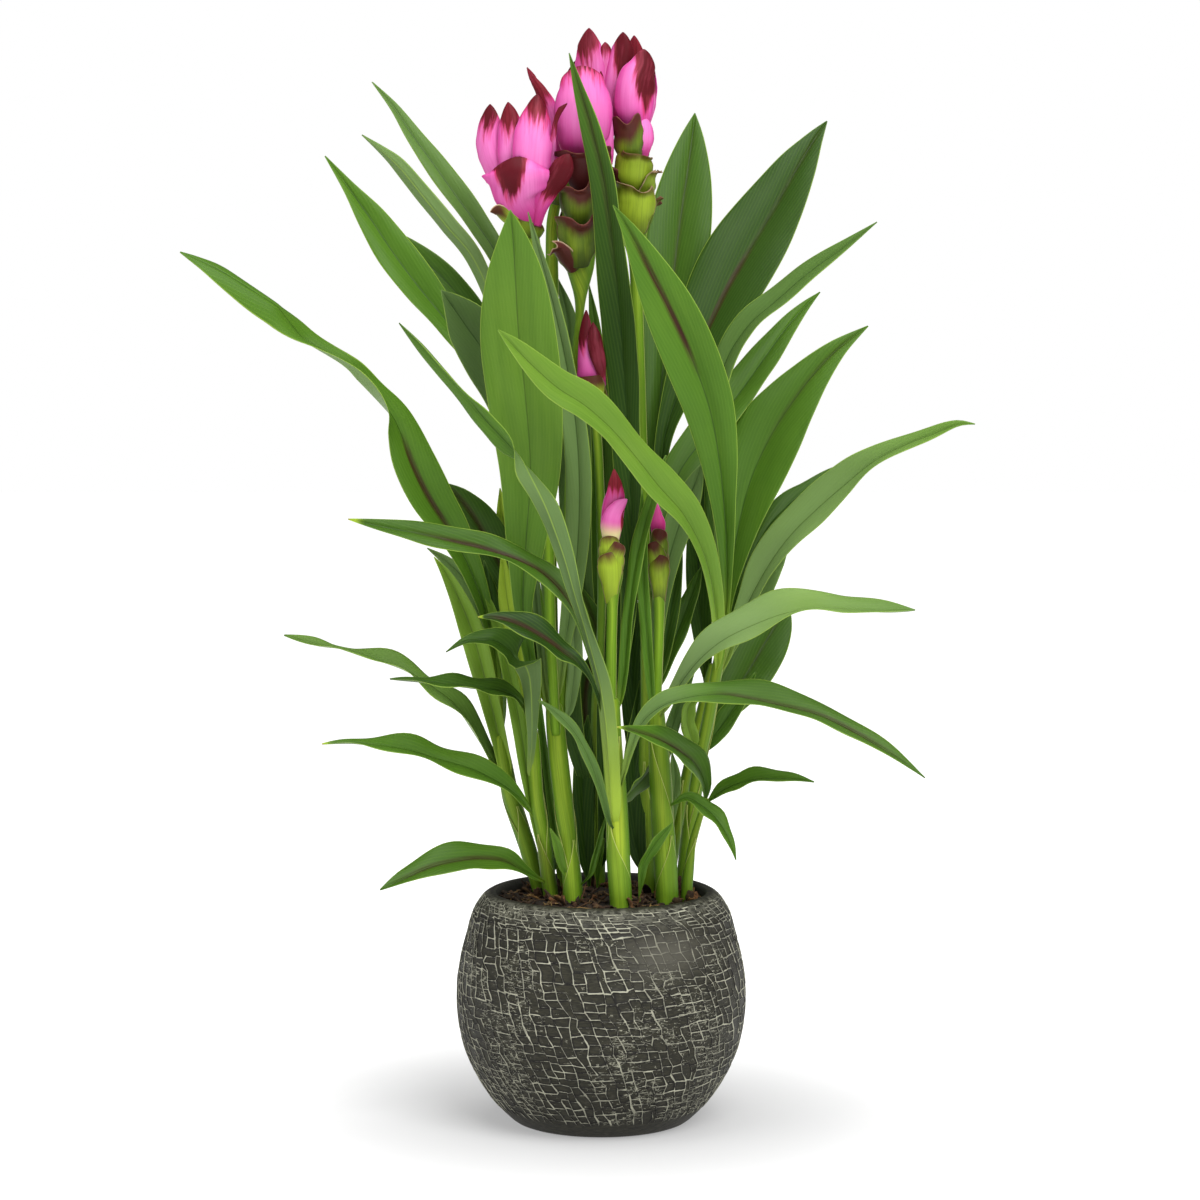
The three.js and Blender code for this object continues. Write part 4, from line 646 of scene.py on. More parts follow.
class Coat(Bench):
    """A material in the making, round its Principled shader."""

    def __init__(self, name: str) -> None:
        """Starts the material.

        Args:
            name: Name of the material.
        """
        self.made = bpy.data.materials.new(name)
        self.made.use_nodes = True
        super().__init__(self.made.node_tree)
        self.shader = self.tree.nodes["Principled BSDF"]

    def done(self, colour: Plug, rough: Plug, specular: float, normal: Optional[Socket] = None) -> Material:
        """Feeds the shader.

        Args:
            colour: Base colour.
            rough: Roughness.
            specular: Strength of the reflections, where 0.5 is that of most things.
            normal: Normal of the relief, if there is one.

        Returns:
            The finished material.
        """
        inputs = {"Base Color": colour, "Roughness": rough, "Specular IOR Level": specular}
        self.feed_all(self.shader, inputs | ({"Normal": normal} if normal else {}))
        return self.made


class BladeCoat(Coat):
    """A material in the making for a leaf, stem or bract, with what its points say."""

    def __init__(self, name: str, effects: Effects) -> None:
        """Starts the material and reads the point attributes.

        Args:
            name: Name of the material.
            effects: The shared node groups.
        """
        super().__init__(name)
        self.effects = effects
        self.lie = self.attribute(Attr.LIE).outputs["Vector"]
        self.rim = self.attribute(Attr.RIM).outputs["Vector"]
        tint = self.attribute(Attr.TINT)
        self.tint = self.parts(tint.outputs["Vector"])
        # The alpha of TINT is painted light and shade: 0 shaded, 0.5 plain, 1 lit.
        self.shade = tint.outputs["Alpha"]
        self.share = self.parts(self.lie)[2]
        self.aside, self.half, self.under = self.parts(self.rim)

    def streaks(self, along: float, across: float) -> Socket:
        """Growth streaks."""
        return self.mask(self.effects.streaks, Lie=self.lie, Along=along, Across=across)

    def midrib(self, width: float) -> Socket:
        """Band along the midrib."""
        return self.mask(self.effects.midrib, Lie=self.lie, Width=width)

    def edge(self, width: float) -> Socket:
        """Band along the edge."""
        return self.mask(self.effects.rim, Rim=self.rim, Width=width)

    def stain(self, reach: Plug, feather: float, across: float, soft: float) -> Socket:
        """Feathered stain."""
        inputs = {"Field": reach, "Feather": feather, "Across": across, "Soft": soft}
        return self.mask(self.effects.stain, Lie=self.lie, **inputs)

    def soften(self, weight: float, radius: Rgb) -> None:
        """Lets some light through, by its weight and how far each colour goes in metres."""
        inputs = {"Subsurface Weight": weight, "Subsurface Radius": radius, "Subsurface Scale": 1.0}
        self.feed_all(self.shader, inputs)


@dataclass(frozen=True)
class LeafFinish:
    """Satin leaf with slanting veins, a pale rim, a maroon midrib stripe, and painted light and shade."""

    fresh: Rgb = (0.062, 0.150, 0.010)
    # Painted shade: the green of a leaf in deep shade.
    deep: Rgb = (0.011, 0.036, 0.003)
    # Painted light: the green of a brightly lit leaf, also used for the veins.
    bright: Rgb = (0.185, 0.315, 0.040)
    back: Rgb = (0.150, 0.235, 0.080)
    # Painted shade and painted light of the lower face.
    shaded_back: Rgb = (0.045, 0.080, 0.028)
    lit_back: Rgb = (0.260, 0.380, 0.140)
    lime: Rgb = (0.330, 0.470, 0.035)
    straw: Rgb = (0.420, 0.330, 0.090)
    maroon: Rgb = (0.040, 0.012, 0.007)
    rim: Rgb = (0.270, 0.400, 0.055)
    rib: Rgb = (0.095, 0.165, 0.016)
    duller: Rgb = (0.60, 0.68, 0.55)
    paler: Rgb = (1.45, 1.25, 1.3)
    lined: Rgb = (1.5, 1.3, 1.6)
    roughness: tuple[float, float] = (0.36, 0.54)
    relief: float = 0.00022
    soft_reach: Rgb = (0.0012, 0.0016, 0.0004)

    def material(self, effects: Effects) -> Material:
        """Builds the material.

        Args:
            effects: The shared node groups.

        Returns:
            The leaf material.
        """
        coat = BladeCoat("tulip leaf", effects)
        stripe, dry, grey = coat.tint
        broad, fine = coat.streaks(0.011, 0.16), coat.streaks(0.02, 1.1)
        vein = coat.mask(effects.veins, Lie=coat.lie, Pitch=1.7, Slant=0.1)
        mottle = coat.cloud(coat.place(), 26.0, 4.0)
        # Painted light and shade: the shade value mixes the green towards the lit green or the shaded green.
        light, dark = coat.ranged(coat.shade, 0.5, 1.0), coat.ranged(coat.shade, 0.5, 0.0)
        colour = coat.blend(dark, coat.blend(light, self.fresh, self.bright), self.deep)
        colour = coat.tone(colour, self.duller, coat.ranged(broad, 0.35, 0.7), 0.38)
        colour = coat.tone(colour, self.paler, coat.ranged(mottle, 0.45, 0.75), 0.25)
        colour = coat.tone(colour, self.lined, coat.ranged(fine, 0.42, 0.62), 0.14)
        colour = coat.paint(colour, self.bright, vein, 0.07)
        # The lower face takes the same painted light and shade.
        reverse = coat.blend(dark, coat.blend(light, self.back, self.lit_back), self.shaded_back)
        colour = coat.blend(coat.most(grey, coat.times(coat.under, 0.75)), colour, reverse)
        colour = coat.paint(colour, self.lime, coat.ranged(dry, 0.0, 0.5), 0.85)
        roomy = coat.ranged(coat.half, 1.5, 6.5, 0.25, 1.0)
        # Painted shade on the upper face's midrib: shaded green, turning to the rib green where painted lit.
        seam = coat.blend(coat.under, coat.blend(light, self.deep, self.rib), self.rim)
        colour = coat.paint(colour, seam, coat.times(coat.midrib(0.5), roomy), 0.6)
        ragged = coat.maths("MULTIPLY_ADD", coat.ranged(fine, 0.62, 0.36), 0.5, 0.62)
        striped = coat.times(coat.midrib(2.5), stripe)
        colour = coat.blend(coat.times(striped, ragged, clamp=True), colour, self.maroon)
        colour = coat.paint(colour, self.rim, coat.times(coat.edge(0.5), roomy), 0.7)
        colour = coat.blend(coat.ranged(dry, 0.6, 1.0), colour, self.straw)
        groove = coat.times(coat.midrib(1.1), -1.2)
        height = coat.plus(coat.times(vein, 0.22), groove, coat.times(fine, 0.8))
        coat.soften(0.04, self.soft_reach)
        rough = coat.between(fine, *self.roughness)
        return coat.done(colour, rough, 0.15, coat.bumped(height, self.relief, 0.6))


@dataclass(frozen=True)
class StemFinish:
    """Smooth yellow-green stem of wrapped leaf bases, with painted light and shade."""

    green: Rgb = (0.072, 0.190, 0.007)
    fresh: Rgb = (0.235, 0.450, 0.022)
    lime: Rgb = (0.410, 0.510, 0.036)
    cream: Rgb = (0.480, 0.520, 0.150)
    shadow: Rgb = (0.022, 0.062, 0.004)
    rust: Rgb = (0.130, 0.045, 0.018)
    roughness: tuple[float, float] = (0.40, 0.55)
    relief: float = 0.0003
    soft_reach: Rgb = (0.0025, 0.003, 0.0008)

    def material(self, effects: Effects) -> Material:
        """Builds the material.

        Args:
            effects: The shared node groups.

        Returns:
            The stem material.
        """
        coat = BladeCoat("tulip stem", effects)
        rust, pale, glow = coat.tint
        broad, fine = coat.streaks(0.008, 0.22), coat.streaks(0.015, 1.5)
        # Painted light: the glow value makes the front and back of a stem lighter than its sides.
        light = coat.times(coat.ranged(broad, 0.36, 0.66, 0.4, 1.2), glow, clamp=True)
        ripe = coat.blend(coat.ranged(coat.share, 0.0, 0.6, 0.1, 1.0), self.fresh, self.lime)
        colour = coat.blend(light, self.green, ripe)
        colour = coat.paint(colour, self.shadow, coat.ranged(fine, 0.4, 0.65), 0.3)
        # Painted shade by the shade value, towards the shadow green.
        colour = coat.blend(coat.ranged(coat.shade, 0.5, 0.0), colour, self.shadow)
        colour = coat.paint(colour, self.lime, pale, 0.7)
        colour = coat.paint(colour, self.cream, coat.edge(0.5), 0.75)
        colour = coat.blend(coat.times(rust, coat.ranged(fine, 0.35, 0.6)), colour, self.rust)
        coat.soften(0.08, self.soft_reach)
        rough = coat.between(fine, *self.roughness)
        return coat.done(colour, rough, 0.16, coat.bumped(fine, self.relief, 0.7))


@dataclass(frozen=True)
class PinkFinish:
    """Silky pink bract with a dark, feathered tip, and painted light and shade."""

    pink: Rgb = (0.630, 0.064, 0.320)
    blush: Rgb = (0.770, 0.205, 0.505)
    rose: Rgb = (0.420, 0.012, 0.130)
    cream: Rgb = (0.700, 0.640, 0.300)
    maroon: Rgb = (0.075, 0.004, 0.006)
    wine: Rgb = (0.210, 0.016, 0.024)
    bleed: Rgb = (0.480, 0.016, 0.060)
    lightened: Rgb = (0.340, 0.060, 0.095)
    roughness: tuple[float, float] = (0.40, 0.56)
    relief: float = 0.00025
    soft_reach: Rgb = (0.004, 0.0015, 0.003)

    def material(self, effects: Effects) -> Material:
        """Builds the material.

        Args:
            effects: The shared node groups.

        Returns:
            The bract material.
        """
        coat = BladeCoat("pink bract", effects)
        reach, foot, wine = coat.tint
        share, aside = coat.share, coat.aside
        broad, fine = coat.streaks(0.02, 0.14), coat.streaks(0.03, 1.3)
        # Painted light: the middle of each bract is lighter, mixed with random broad streaks.
        centre = coat.times(coat.ranged(aside, 0.95, 0.25), coat.ranged(share, 0.15, 0.6))
        lit = coat.maths("MULTIPLY_ADD", coat.ranged(broad, 0.36, 0.66), 0.35, coat.times(centre, 0.65))
        colour = coat.blend(lit, self.pink, self.blush)
        colour = coat.paint(colour, self.rose, coat.ranged(fine, 0.45, 0.7), 0.14)
        # Painted shade at the foot and towards the sides.
        low = coat.most(coat.ranged(share, 0.42, 0.0), coat.ranged(aside, 0.62, 1.0, 0.0, 0.45))
        colour = coat.paint(colour, self.rose, low, 0.6)
        # Painted shade by the bract's shade value.
        colour = coat.paint(colour, self.rose, coat.ranged(coat.shade, 0.5, 0.0), 0.85)
        colour = coat.blend(coat.times(foot, coat.ranged(share, 0.45, 0.1)), colour, self.cream)
        colour = coat.paint(colour, self.blush, coat.edge(0.6), 0.4)
        colour = coat.paint(colour, self.bleed, coat.stain(coat.plus(reach, 0.05), 0.62, 0.6, 0.09), 0.75)
        mixed = coat.maths("MULTIPLY_ADD", coat.ranged(reach, 0.0, 0.22), -0.6, coat.ranged(broad, 0.3, 0.7))
        dark = coat.blend(coat.most(mixed, wine), self.maroon, self.wine)
        dark = coat.paint(dark, self.maroon, coat.ranged(fine, 0.42, 0.62), 0.5)
        dark = coat.paint(dark, self.lightened, coat.ranged(broad, 0.50, 0.68), 0.4)
        colour = coat.paint(colour, dark, coat.stain(reach, 0.5, 0.5, 0.05), 0.97)
        coat.soften(0.12, self.soft_reach)
        rough = coat.between(fine, *self.roughness)
        return coat.done(colour, rough, 0.1, coat.bumped(fine, self.relief, 0.5))


@dataclass(frozen=True)
class GreenBractFinish:
    """Green pocket bract that turns maroon towards its lip, with painted light and shade."""

    green: Rgb = (0.095, 0.155, 0.008)
    lime: Rgb = (0.290, 0.400, 0.022)
    deep: Rgb = (0.022, 0.036, 0.004)
    maroon: Rgb = (0.070, 0.008, 0.009)
    lip: Rgb = (0.170, 0.058, 0.036)
    buff: Rgb = (0.55, 0.42, 0.26)
    roughness: tuple[float, float] = (0.40, 0.56)
    relief: float = 0.00025
    soft_reach: Rgb = (0.002, 0.002, 0.0008)

    def material(self, effects: Effects) -> Material:
        """Builds the material.

        Args:
            effects: The shared node groups.

        Returns:
            The bract material.
        """
        coat = BladeCoat("green bract", effects)
        reach, pale, whole = coat.tint
        shade = coat.shade
        broad, fine = coat.streaks(0.03, 0.2), coat.streaks(0.03, 1.6)
        # Painted light: a high shade value, with the broad streaks, lightens the green towards lime.
        streaked = coat.times(coat.ranged(broad, 0.38, 0.68), 0.5)
        light = coat.plus(streaked, coat.ranged(shade, 0.5, 1.0), clamp=True)
        colour = coat.blend(light, self.green, self.lime)
        colour = coat.paint(colour, self.deep, coat.ranged(fine, 0.42, 0.66), 0.2)
        # Painted shade by a low shade value.
        colour = coat.paint(colour, self.deep, coat.ranged(shade, 0.5, 0.0), 0.9)
        # Painted shade at the foot and the sides, under the lips that overlap it; less on the lit bracts.
        foot = coat.ranged(coat.share, 0.45, 0.0, 0.0, 0.75)
        sides = coat.ranged(coat.aside, 0.4, 1.0, 0.0, 0.55)
        overlap_shade = coat.times(coat.most(foot, sides), coat.ranged(shade, 0.7, 1.0, 1.0, 0.35))
        colour = coat.blend(overlap_shade, colour, self.deep)
        colour = coat.paint(colour, self.maroon, coat.stain(reach, 0.3, 0.25, 0.17), 0.96)
        colour = coat.paint(colour, self.maroon, whole, 0.9)
        edge = coat.edge(0.7)
        colour = coat.blend(coat.times(edge, pale), coat.paint(colour, self.lip, edge, 0.6), self.buff)
        coat.soften(0.08, self.soft_reach)
        rough = coat.between(fine, *self.roughness)
        return coat.done(colour, rough, 0.2, coat.bumped(fine, self.relief, 0.5))


@dataclass(frozen=True)
class PotFinish:
    """Charcoal stoneware with a raised, white-washed mosaic of lines and a painted highlight."""

    body: Rgb = (0.031, 0.029, 0.017)
    dark: Rgb = (0.0125, 0.012, 0.0072)
    joint: Rgb = (0.005, 0.004, 0.003)
    dust_and_highlight: Rgb = (0.100, 0.095, 0.074)
    wash: Rgb = (0.455, 0.450, 0.345)
    lip: Rgb = (0.032, 0.031, 0.026)
    flatness: Rgb = (1.0, 1.0, 4.5)
    roughness: tuple[float, float] = (0.58, 0.85)
    relief: float = 0.0006

    def material(self, effects: Effects) -> Material:
        """Builds the material.

        Args:
            effects: The shared node groups.

        Returns:
            The pot material.
        """
        coat = Coat("mosaic stoneware")
        # RIM: ridge, line strength (weaker in the painted highlight), and where the mosaic is bare.
        ridge, strength, plain = coat.parts(coat.attribute(Attr.RIM).outputs["Vector"])
        # TINT: the painted highlight, the lip's powder and the inside.
        lightened, powder, inner = coat.parts(coat.attribute(Attr.TINT).outputs["Vector"])
        at = coat.place()
        flat = coat.maths_vector("MULTIPLY", at, self.flatness)
        grain, worn = coat.cloud(at, 900.0, 4.0, 0.6), coat.cloud(at, 300.0, 4.0, 0.6)
        scored, patch = coat.cloud(flat, 260.0, 3.0, 0.6), coat.cloud(at, 30.0)
        colour = coat.blend(coat.ranged(scored, 0.36, 0.66), self.dark, self.body)
        colour = coat.paint(colour, self.dust_and_highlight, coat.ranged(worn, 0.54, 0.75), 0.22)
        edge = coat.maths("MULTIPLY_ADD", coat.less(worn, 0.5), 0.6, 0.73)
        line = coat.ranged(ridge, edge, coat.plus(edge, 0.13))
        line = coat.times(line, coat.ranged(coat.cloud(at, 75.0), 0.34, 0.56, 0.6, 1.0))
        few, fewer = coat.ranged(patch, 0.45, 0.62, 0.66, 0.51), coat.ranged(patch, 0.48, 0.62, 0.68, 0.56)
        hooks = coat.mask(effects.curls, Place=flat, Scale=250.0, Width=0.07, Broken=few)
        small = coat.mask(effects.curls, Place=at, Scale=430.0, Width=0.09, Broken=fewer)
        line = coat.most(line, coat.most(coat.times(hooks, 0.9), coat.times(small, 0.6)))
        bare = coat.less(1.0, plain)
        haze = coat.times(powder, coat.ranged(worn, 0.4, 0.62), 0.4)
        line = coat.most(coat.times(line, strength, bare), haze)
        joint = coat.ranged(ridge, 0.25, 0.60)
        colour = coat.paint(colour, self.joint, coat.times(joint, bare), 0.95)
        # Painted highlight: a soft pool of light on the front of the pot, in the dust colour.
        colour = coat.paint(colour, self.dust_and_highlight, lightened, 0.7)
        colour = coat.blend(inner, coat.paint(colour, self.wash, line, 0.95), self.lip)
        height = coat.plus(coat.times(line, 0.8), coat.times(worn, 0.5), coat.times(scored, 0.5))
        height = coat.plus(height, coat.times(grain, 0.2))
        rough = coat.between(line, *self.roughness)
        return coat.done(colour, rough, 0.27, coat.bumped(height, self.relief, 0.8))


@dataclass(frozen=True)
class EarthFinish:
    """Crumbly peat or a piece of bark, by its three colours."""

    name: str
    dark: Rgb
    brown: Rgb
    pale: Rgb
    grain: float = 600.0
    roughness: tuple[float, float] = (0.8, 0.97)
    relief: float = 0.0012

    def material(self) -> Material:
        """Builds the material.

        Returns:
            The material of one kind of earth or root.
        """
        coat = Coat(self.name)
        tint = coat.attribute(Attr.TINT)
        at = coat.place()
        crumbs, clods = coat.cloud(at, self.grain, 6.0, 0.7), coat.cloud(at, self.grain * 0.22, 4.0)
        colour = coat.blend(coat.ranged(crumbs, 0.35, 0.65), self.dark, self.brown)
        colour = coat.paint(colour, self.pale, coat.ranged(clods, 0.5, 0.8), 0.5)
        toned = coat.blend(1.0, colour, tint.outputs["Color"], "MULTIPLY")
        colour = coat.blend(tint.outputs["Alpha"], colour, toned)
        rough = coat.between(crumbs, *self.roughness)
        return coat.done(colour, rough, 0.5, coat.bumped(crumbs, self.relief, 0.9))


# Leaves


@dataclass(frozen=True)
class Leaf:
    """One leaf.

    Rows are x, y, z and half width in millimetres, and the turn about the midrib in degrees. The folds are
    those of the foot and the tip. The colours are numbers or broken lines of (place, amount), and the
    shade runs from -1 to 1.
    """

    rows: Rows
    folds: tuple[float, float] = (24, 14)
    wave: float = 1.0
    maroon: Union[Curve, float] = 0.0
    dry: Union[Curve, float] = 0.0
    grey: Union[Curve, float] = 0.0
    # Painted shade and light, from -1 (deep shade) to 1 (brightly lit).
    shade: Union[Curve, float] = 0.0
    fold_line: Curve = ()


LEAVES: dict[str, Leaf] = {
    "leaf_left_1": Leaf(((-55.9, 9, 208.8, 2.8, -10), (-57.4, 7.7, 243.4, 2.8, -10),
        (-61.1, 3.1, 274.2, 4, -15), (-70, -3.7, 303.9, 7, -20), (-80.6, -9.7, 326.2, 10, -22),
        (-91.8, -13.8, 344.9, 12.5, -24), (-100.1, -18.1, 363.5, 12.9, -28),
        (-105.8, -21.5, 380.9, 11.6, -38), (-112, -25, 395.5, 10.3, -62), (-125, -29.7, 410.6, 7.2, -76),
        (-136.9, -34.5, 420.8, 5.4, -80), (-160.2, -41.4, 435.7, 9.1, -62),
        (-180.7, -47.4, 449.5, 9.9, -52), (-200.2, -52.5, 463.6, 7.5, -48),
        (-212.4, -55.7, 471.4, 3.6, -48), (-221.5, -58, 476.6, 0.5, -48)), folds=(30, 16), wave=2,
        maroon=((0, 0), (0.24, 0), (0.3, 1), (0.42, 1), (0.47, 0), (1, 0)),
        fold_line=((0, 30), (0.35, 16), (0.5, 16), (0.62, 34), (0.72, 20), (0.78, -22), (1, -14))),
    "leaf_left_2": Leaf(((-25.9, -2, 226.8, 2.2, 0), (-30.9, 4.9, 265.8, 2.7, 0),
        (-40.3, 10.7, 320.5, 2.8, -5), (-48.6, 17.2, 369.8, 3.4, -10), (-62.4, 20.3, 409.3, 5.1, -15),
        (-82.2, 21.9, 437.9, 8.1, -18), (-98.6, 22.9, 458.7, 10.9, -20), (-113, 24.3, 477.9, 11.2, -20),
        (-126.7, 26.2, 497.7, 8.5, -20), (-139.5, 28.4, 514.7, 3.8, -20), (-152.3, 32, 531.3, 0.4, -20)),
        shade=-0.05),
    "leaf_left_3": Leaf(((-0.7, 28, 255.2, 2.2, 0), (-12.9, 33.4, 291.1, 2.8, 0),
        (-31.4, 39.4, 341.1, 3.4, -5), (-48.2, 46.3, 396.7, 5.1, -10), (-66.8, 53.2, 438.4, 7, -15),
        (-83.8, 60.9, 460.3, 7.7, -18), (-99.3, 68.2, 475, 7.1, -18), (-116.7, 76.3, 487.5, 4.2, -18),
        (-136.5, 85, 497.9, 0.4, -18)), shade=-0.4),
    "leaf_left_4": Leaf(((-25.4, 0, 226.5, 2.2, 180), (-27.7, 9.1, 265.4, 2.2, 180),
        (-34.9, 17.4, 325.6, 2.8, 180), (-43.8, 24.6, 380.6, 3.3, 185), (-54.9, 32.4, 435.7, 4, 190),
        (-69, 39.8, 473.3, 5, 200), (-85.3, 46.9, 493.9, 5.6, 205), (-98.4, 53.4, 510.2, 5.6, 205),
        (-111.6, 60.5, 526.1, 4.7, 205), (-122.1, 68, 535.4, 2.8, 205), (-134.9, 75, 545.3, 0.4, 205)),
        folds=(22, 14), grey=0.6),
    "leaf_left_5": Leaf(((-1.2, 29, 246.7, 2.2, 0), (-6.3, 37, 285.2, 2.2, 0), (-17.5, 46.1, 340.7, 2.8, 0),
        (-29.9, 54, 396.5, 3.4, -5), (-43.4, 60.5, 446.9, 4.6, -10), (-57, 66.6, 476.1, 5.9, -15),
        (-68.4, 73.2, 494.2, 7.2, -25), (-81.1, 79.3, 511.8, 7.9, -30), (-94.3, 85.8, 530.1, 7.3, -30),
        (-106.6, 92.8, 546.3, 5.6, -30), (-118.3, 100.2, 562.6, 3, -30), (-131.3, 108, 577.3, 0.4, -30)),
        grey=((0, 0.3), (1, 0.4)), shade=-0.2),
    "leaf_left_6": Leaf(((-26.4, -6, 214.6, 2.2, 0), (-32.4, -3.6, 255.6, 2.5, 0),
        (-37.3, -1.7, 310.3, 2.7, 0), (-42.7, -1.3, 359.5, 4.9, 0), (-50.7, -5.3, 397.8, 12.2, -10),
        (-60.2, -10.5, 420.6, 15.7, -15), (-71.8, -18.1, 438.4, 13.2, -20), (-79.5, -23.9, 449.1, 7, -22),
        (-85.7, -29, 457, 0.3, -22)), folds=(24, 12), wave=0.5, grey=0.6, shade=-0.5),
    "leaf_left_7": Leaf(((7.2, -43, 163.3, 3.3, -152), (6.9, -45.5, 184.3, 4.9, -152),
        (5.8, -47, 206.1, 5.3, -152), (3.9, -49, 226.8, 5.1, -152), (1.2, -51, 244.2, 4.9, -150),
        (-2.2, -52.5, 258.3, 4.8, -148), (-7.3, -55, 276.2, 4.3, -146), (-12.6, -57.5, 294.6, 4.5, -146),
        (-18.9, -61, 316.6, 5.2, -155), (-27.5, -65, 340.1, 6, -165), (-38, -68, 358.2, 5.1, -215),
        (-49.4, -70, 374, 7.4, -310), (-60.4, -71, 386.6, 6.4, -325), (-71.8, -72, 399.2, 7.4, -295),
        (-84.3, -73, 414.4, 6.1, -290), (-94.7, -73, 426.9, 5, -295), (-105.7, -72, 439.4, 0.6, -300)),
        folds=(26, 14), wave=2, dry=((0, 0.26), (0.18, 0.18), (0.3, 0.04), (0.36, 0), (1, 0)),
        grey=((0, 0), (0.15, 0.05), (0.3, 0.4), (0.5, 0.5), (0.64, 0), (1, 0)),
        shade=((0, -0.25), (0.22, -0.4), (0.36, -0.45), (0.54, -0.4), (0.68, -0.1), (1, 0))),
    "leaf_left_8": Leaf(((4.2, -37, 225.4, 1.7, -20), (-0.6, -40.4, 248.5, 2.9, -25),
        (-7.1, -44.2, 271.5, 4.6, -35), (-15.6, -47.3, 291.1, 6.4, -45), (-27.3, -49.7, 306.2, 8.8, -55),
        (-41, -52.3, 314.9, 9.2, -55), (-59.1, -53.1, 320.8, 8.2, -50), (-77.6, -54, 325.2, 7.8, -42),
        (-96.1, -54.2, 329.4, 7.6, -40), (-114.7, -53.5, 332, 4.5, -40), (-134.4, -53, 335.7, 0.4, -40)),
        wave=2, maroon=((0, 0), (0.2, 0), (0.35, 0.8), (0.7, 0.8), (0.85, 0), (1, 0)),
        dry=((0, 0), (0.95, 0), (1, 0.9)), grey=((0, 0.5), (0.3, 0.35), (0.45, 0), (1, 0)), shade=-0.4),
    "leaf_left_9": Leaf(((-51.6, 12, 181.7, 2.2, -30), (-58.7, 8.6, 199.4, 4.9, -60),
        (-67.9, 5.8, 216.4, 7.1, -65), (-78.8, 3.4, 231.7, 7.8, -65), (-91.9, 2.5, 241.7, 7, -62),
        (-106.1, 1.8, 251.2, 7.8, -65), (-121.4, 1.5, 257.3, 8, -72), (-140.6, 1.4, 262.3, 3.6, -84),
        (-157.2, 2.6, 264.9, 5.2, -65), (-174.4, 5, 268.5, 0.7, -60)), wave=2.5, grey=((0, 0.2), (1, 0.15)),
        shade=0.3),
    "leaf_left_10": Leaf(((-37.8, -13, 220.9, 1.9, -30), (-43.5, -20.9, 235.5, 3.8, -55),
        (-53.6, -28.8, 242.9, 6.9, -62), (-66.3, -36.3, 245.9, 8.6, -66), (-81, -43.4, 248.3, 7, -70),
        (-96.7, -50, 250, 4.4, -76), (-112.4, -56, 250.7, 0.9, -76)), folds=(22, 14), wave=1.5,
        shade=-0.55),
    "leaf_left_11": Leaf(((-32.5, -7, 162.2, 1.7, -20), (-40.1, -10.8, 176, 2.5, -40),
        (-50.8, -16.4, 188.4, 6.1, -55), (-68.6, -22.6, 199.6, 8.6, -58), (-87.2, -29.3, 206.5, 9.6, -58),
        (-103.1, -35.4, 212.2, 9.1, -62), (-118.8, -41.9, 215.2, 7, -70), (-134.5, -47.8, 216.4, 3.5, -74),
        (-149, -53, 215.5, 0.9, -74)), folds=(22, 14), wave=2, dry=((0, 0), (0.95, 0), (1, 0.9)),
        shade=-0.15),
    "leaf_left_12": Leaf(((-28.7, -6, 131, 1.4, -20), (-34.6, -14.8, 136.9, 2.7, -45),
        (-43.1, -22.4, 143.6, 4.7, -55), (-52.7, -29.6, 150.3, 7.5, -55), (-65.4, -37.3, 153.2, 10, -50),
        (-78.1, -44.4, 153.2, 10.8, -50), (-91.8, -50.9, 150.5, 8.7, -48), (-104.8, -56.8, 144.9, 5.5, -48),
        (-117.9, -62, 138.3, 0.5, -48)), folds=(22, 14), wave=1.5,
        maroon=((0, 0), (0.2, 0), (0.4, 0.6), (0.8, 0.6), (0.95, 0), (1, 0)), shade=-0.35),
    "leaf_left_13": Leaf(((5.8, -40, 209.5, 1.3, -20), (1, -48, 232.1, 1.5, -30),
        (-4.9, -55, 249, 2.1, -45), (-12.8, -60, 260.7, 3.7, -50), (-19.2, -62, 266.8, 7, -50),
        (-27.6, -65, 273.9, 9, -50), (-37.6, -67, 280, 9, -48), (-47.6, -69, 283.9, 6.3, -48),
        (-56, -70, 285, 3.5, -48), (-64.9, -71, 285.1, 0.4, -48)), folds=(22, 14), wave=1.5,
        maroon=((0, 0), (0.3, 0), (0.5, 0.9), (0.85, 0.8), (0.95, 0), (1, 0)),
        dry=((0, 0), (0.95, 0), (1, 0.9)), shade=-0.85),
    "leaf_left_14": Leaf(((-40.6, -9, 181.8, 1.2, -180), (-38.9, -13, 198.9, 1.9, -180),
        (-37.7, -17, 213.2, 2.7, -180), (-37.6, -20, 232.7, 4.4, -178), (-38, -23, 245.6, 6, -172),
        (-39.1, -26, 252.9, 7.4, -168), (-40.6, -29, 258.1, 9.3, -150), (-43.8, -32, 262.2, 13.1, -55),
        (-50.1, -35, 267.9, 9.6, -50), (-57.5, -39, 271.5, 7.4, -52), (-63.9, -41, 271.7, 6.5, -55),
        (-73.4, -44, 269.8, 2.9, -50), (-83, -46, 264.1, 0.4, -50)), folds=(26, 16),
        grey=((0, 0.8), (0.45, 0.8), (0.6, 0), (1, 0)),
        shade=((0, -0.35), (0.5, -0.35), (0.6, -0.65), (1, -0.5))),
    "leaf_left_15": Leaf(((-50.4, 9, 179.3, 4.9, 0), (-54.7, 5, 203.8, 4.9, 0), (-60.6, 1, 230.3, 6, 0),
        (-65.8, -3, 252.8, 7.4, 0), (-71.1, -6, 272.3, 7.3, 0), (-77.5, -9, 289, 5.4, 0),
        (-84.4, -12, 303.4, 3, 0), (-90.8, -14, 312.8, 0.3, 0)), folds=(34, 26),
        dry=((0, 0.12), (0.9, 0.1), (1, 0.3)), shade=0.5),
    "leaf_left_16": Leaf(((-55.5, 14, 206.5, 2.2, 0), (-55, 17, 231.3, 2.8, 0), (-58.3, 18.1, 259, 4.4, 0),
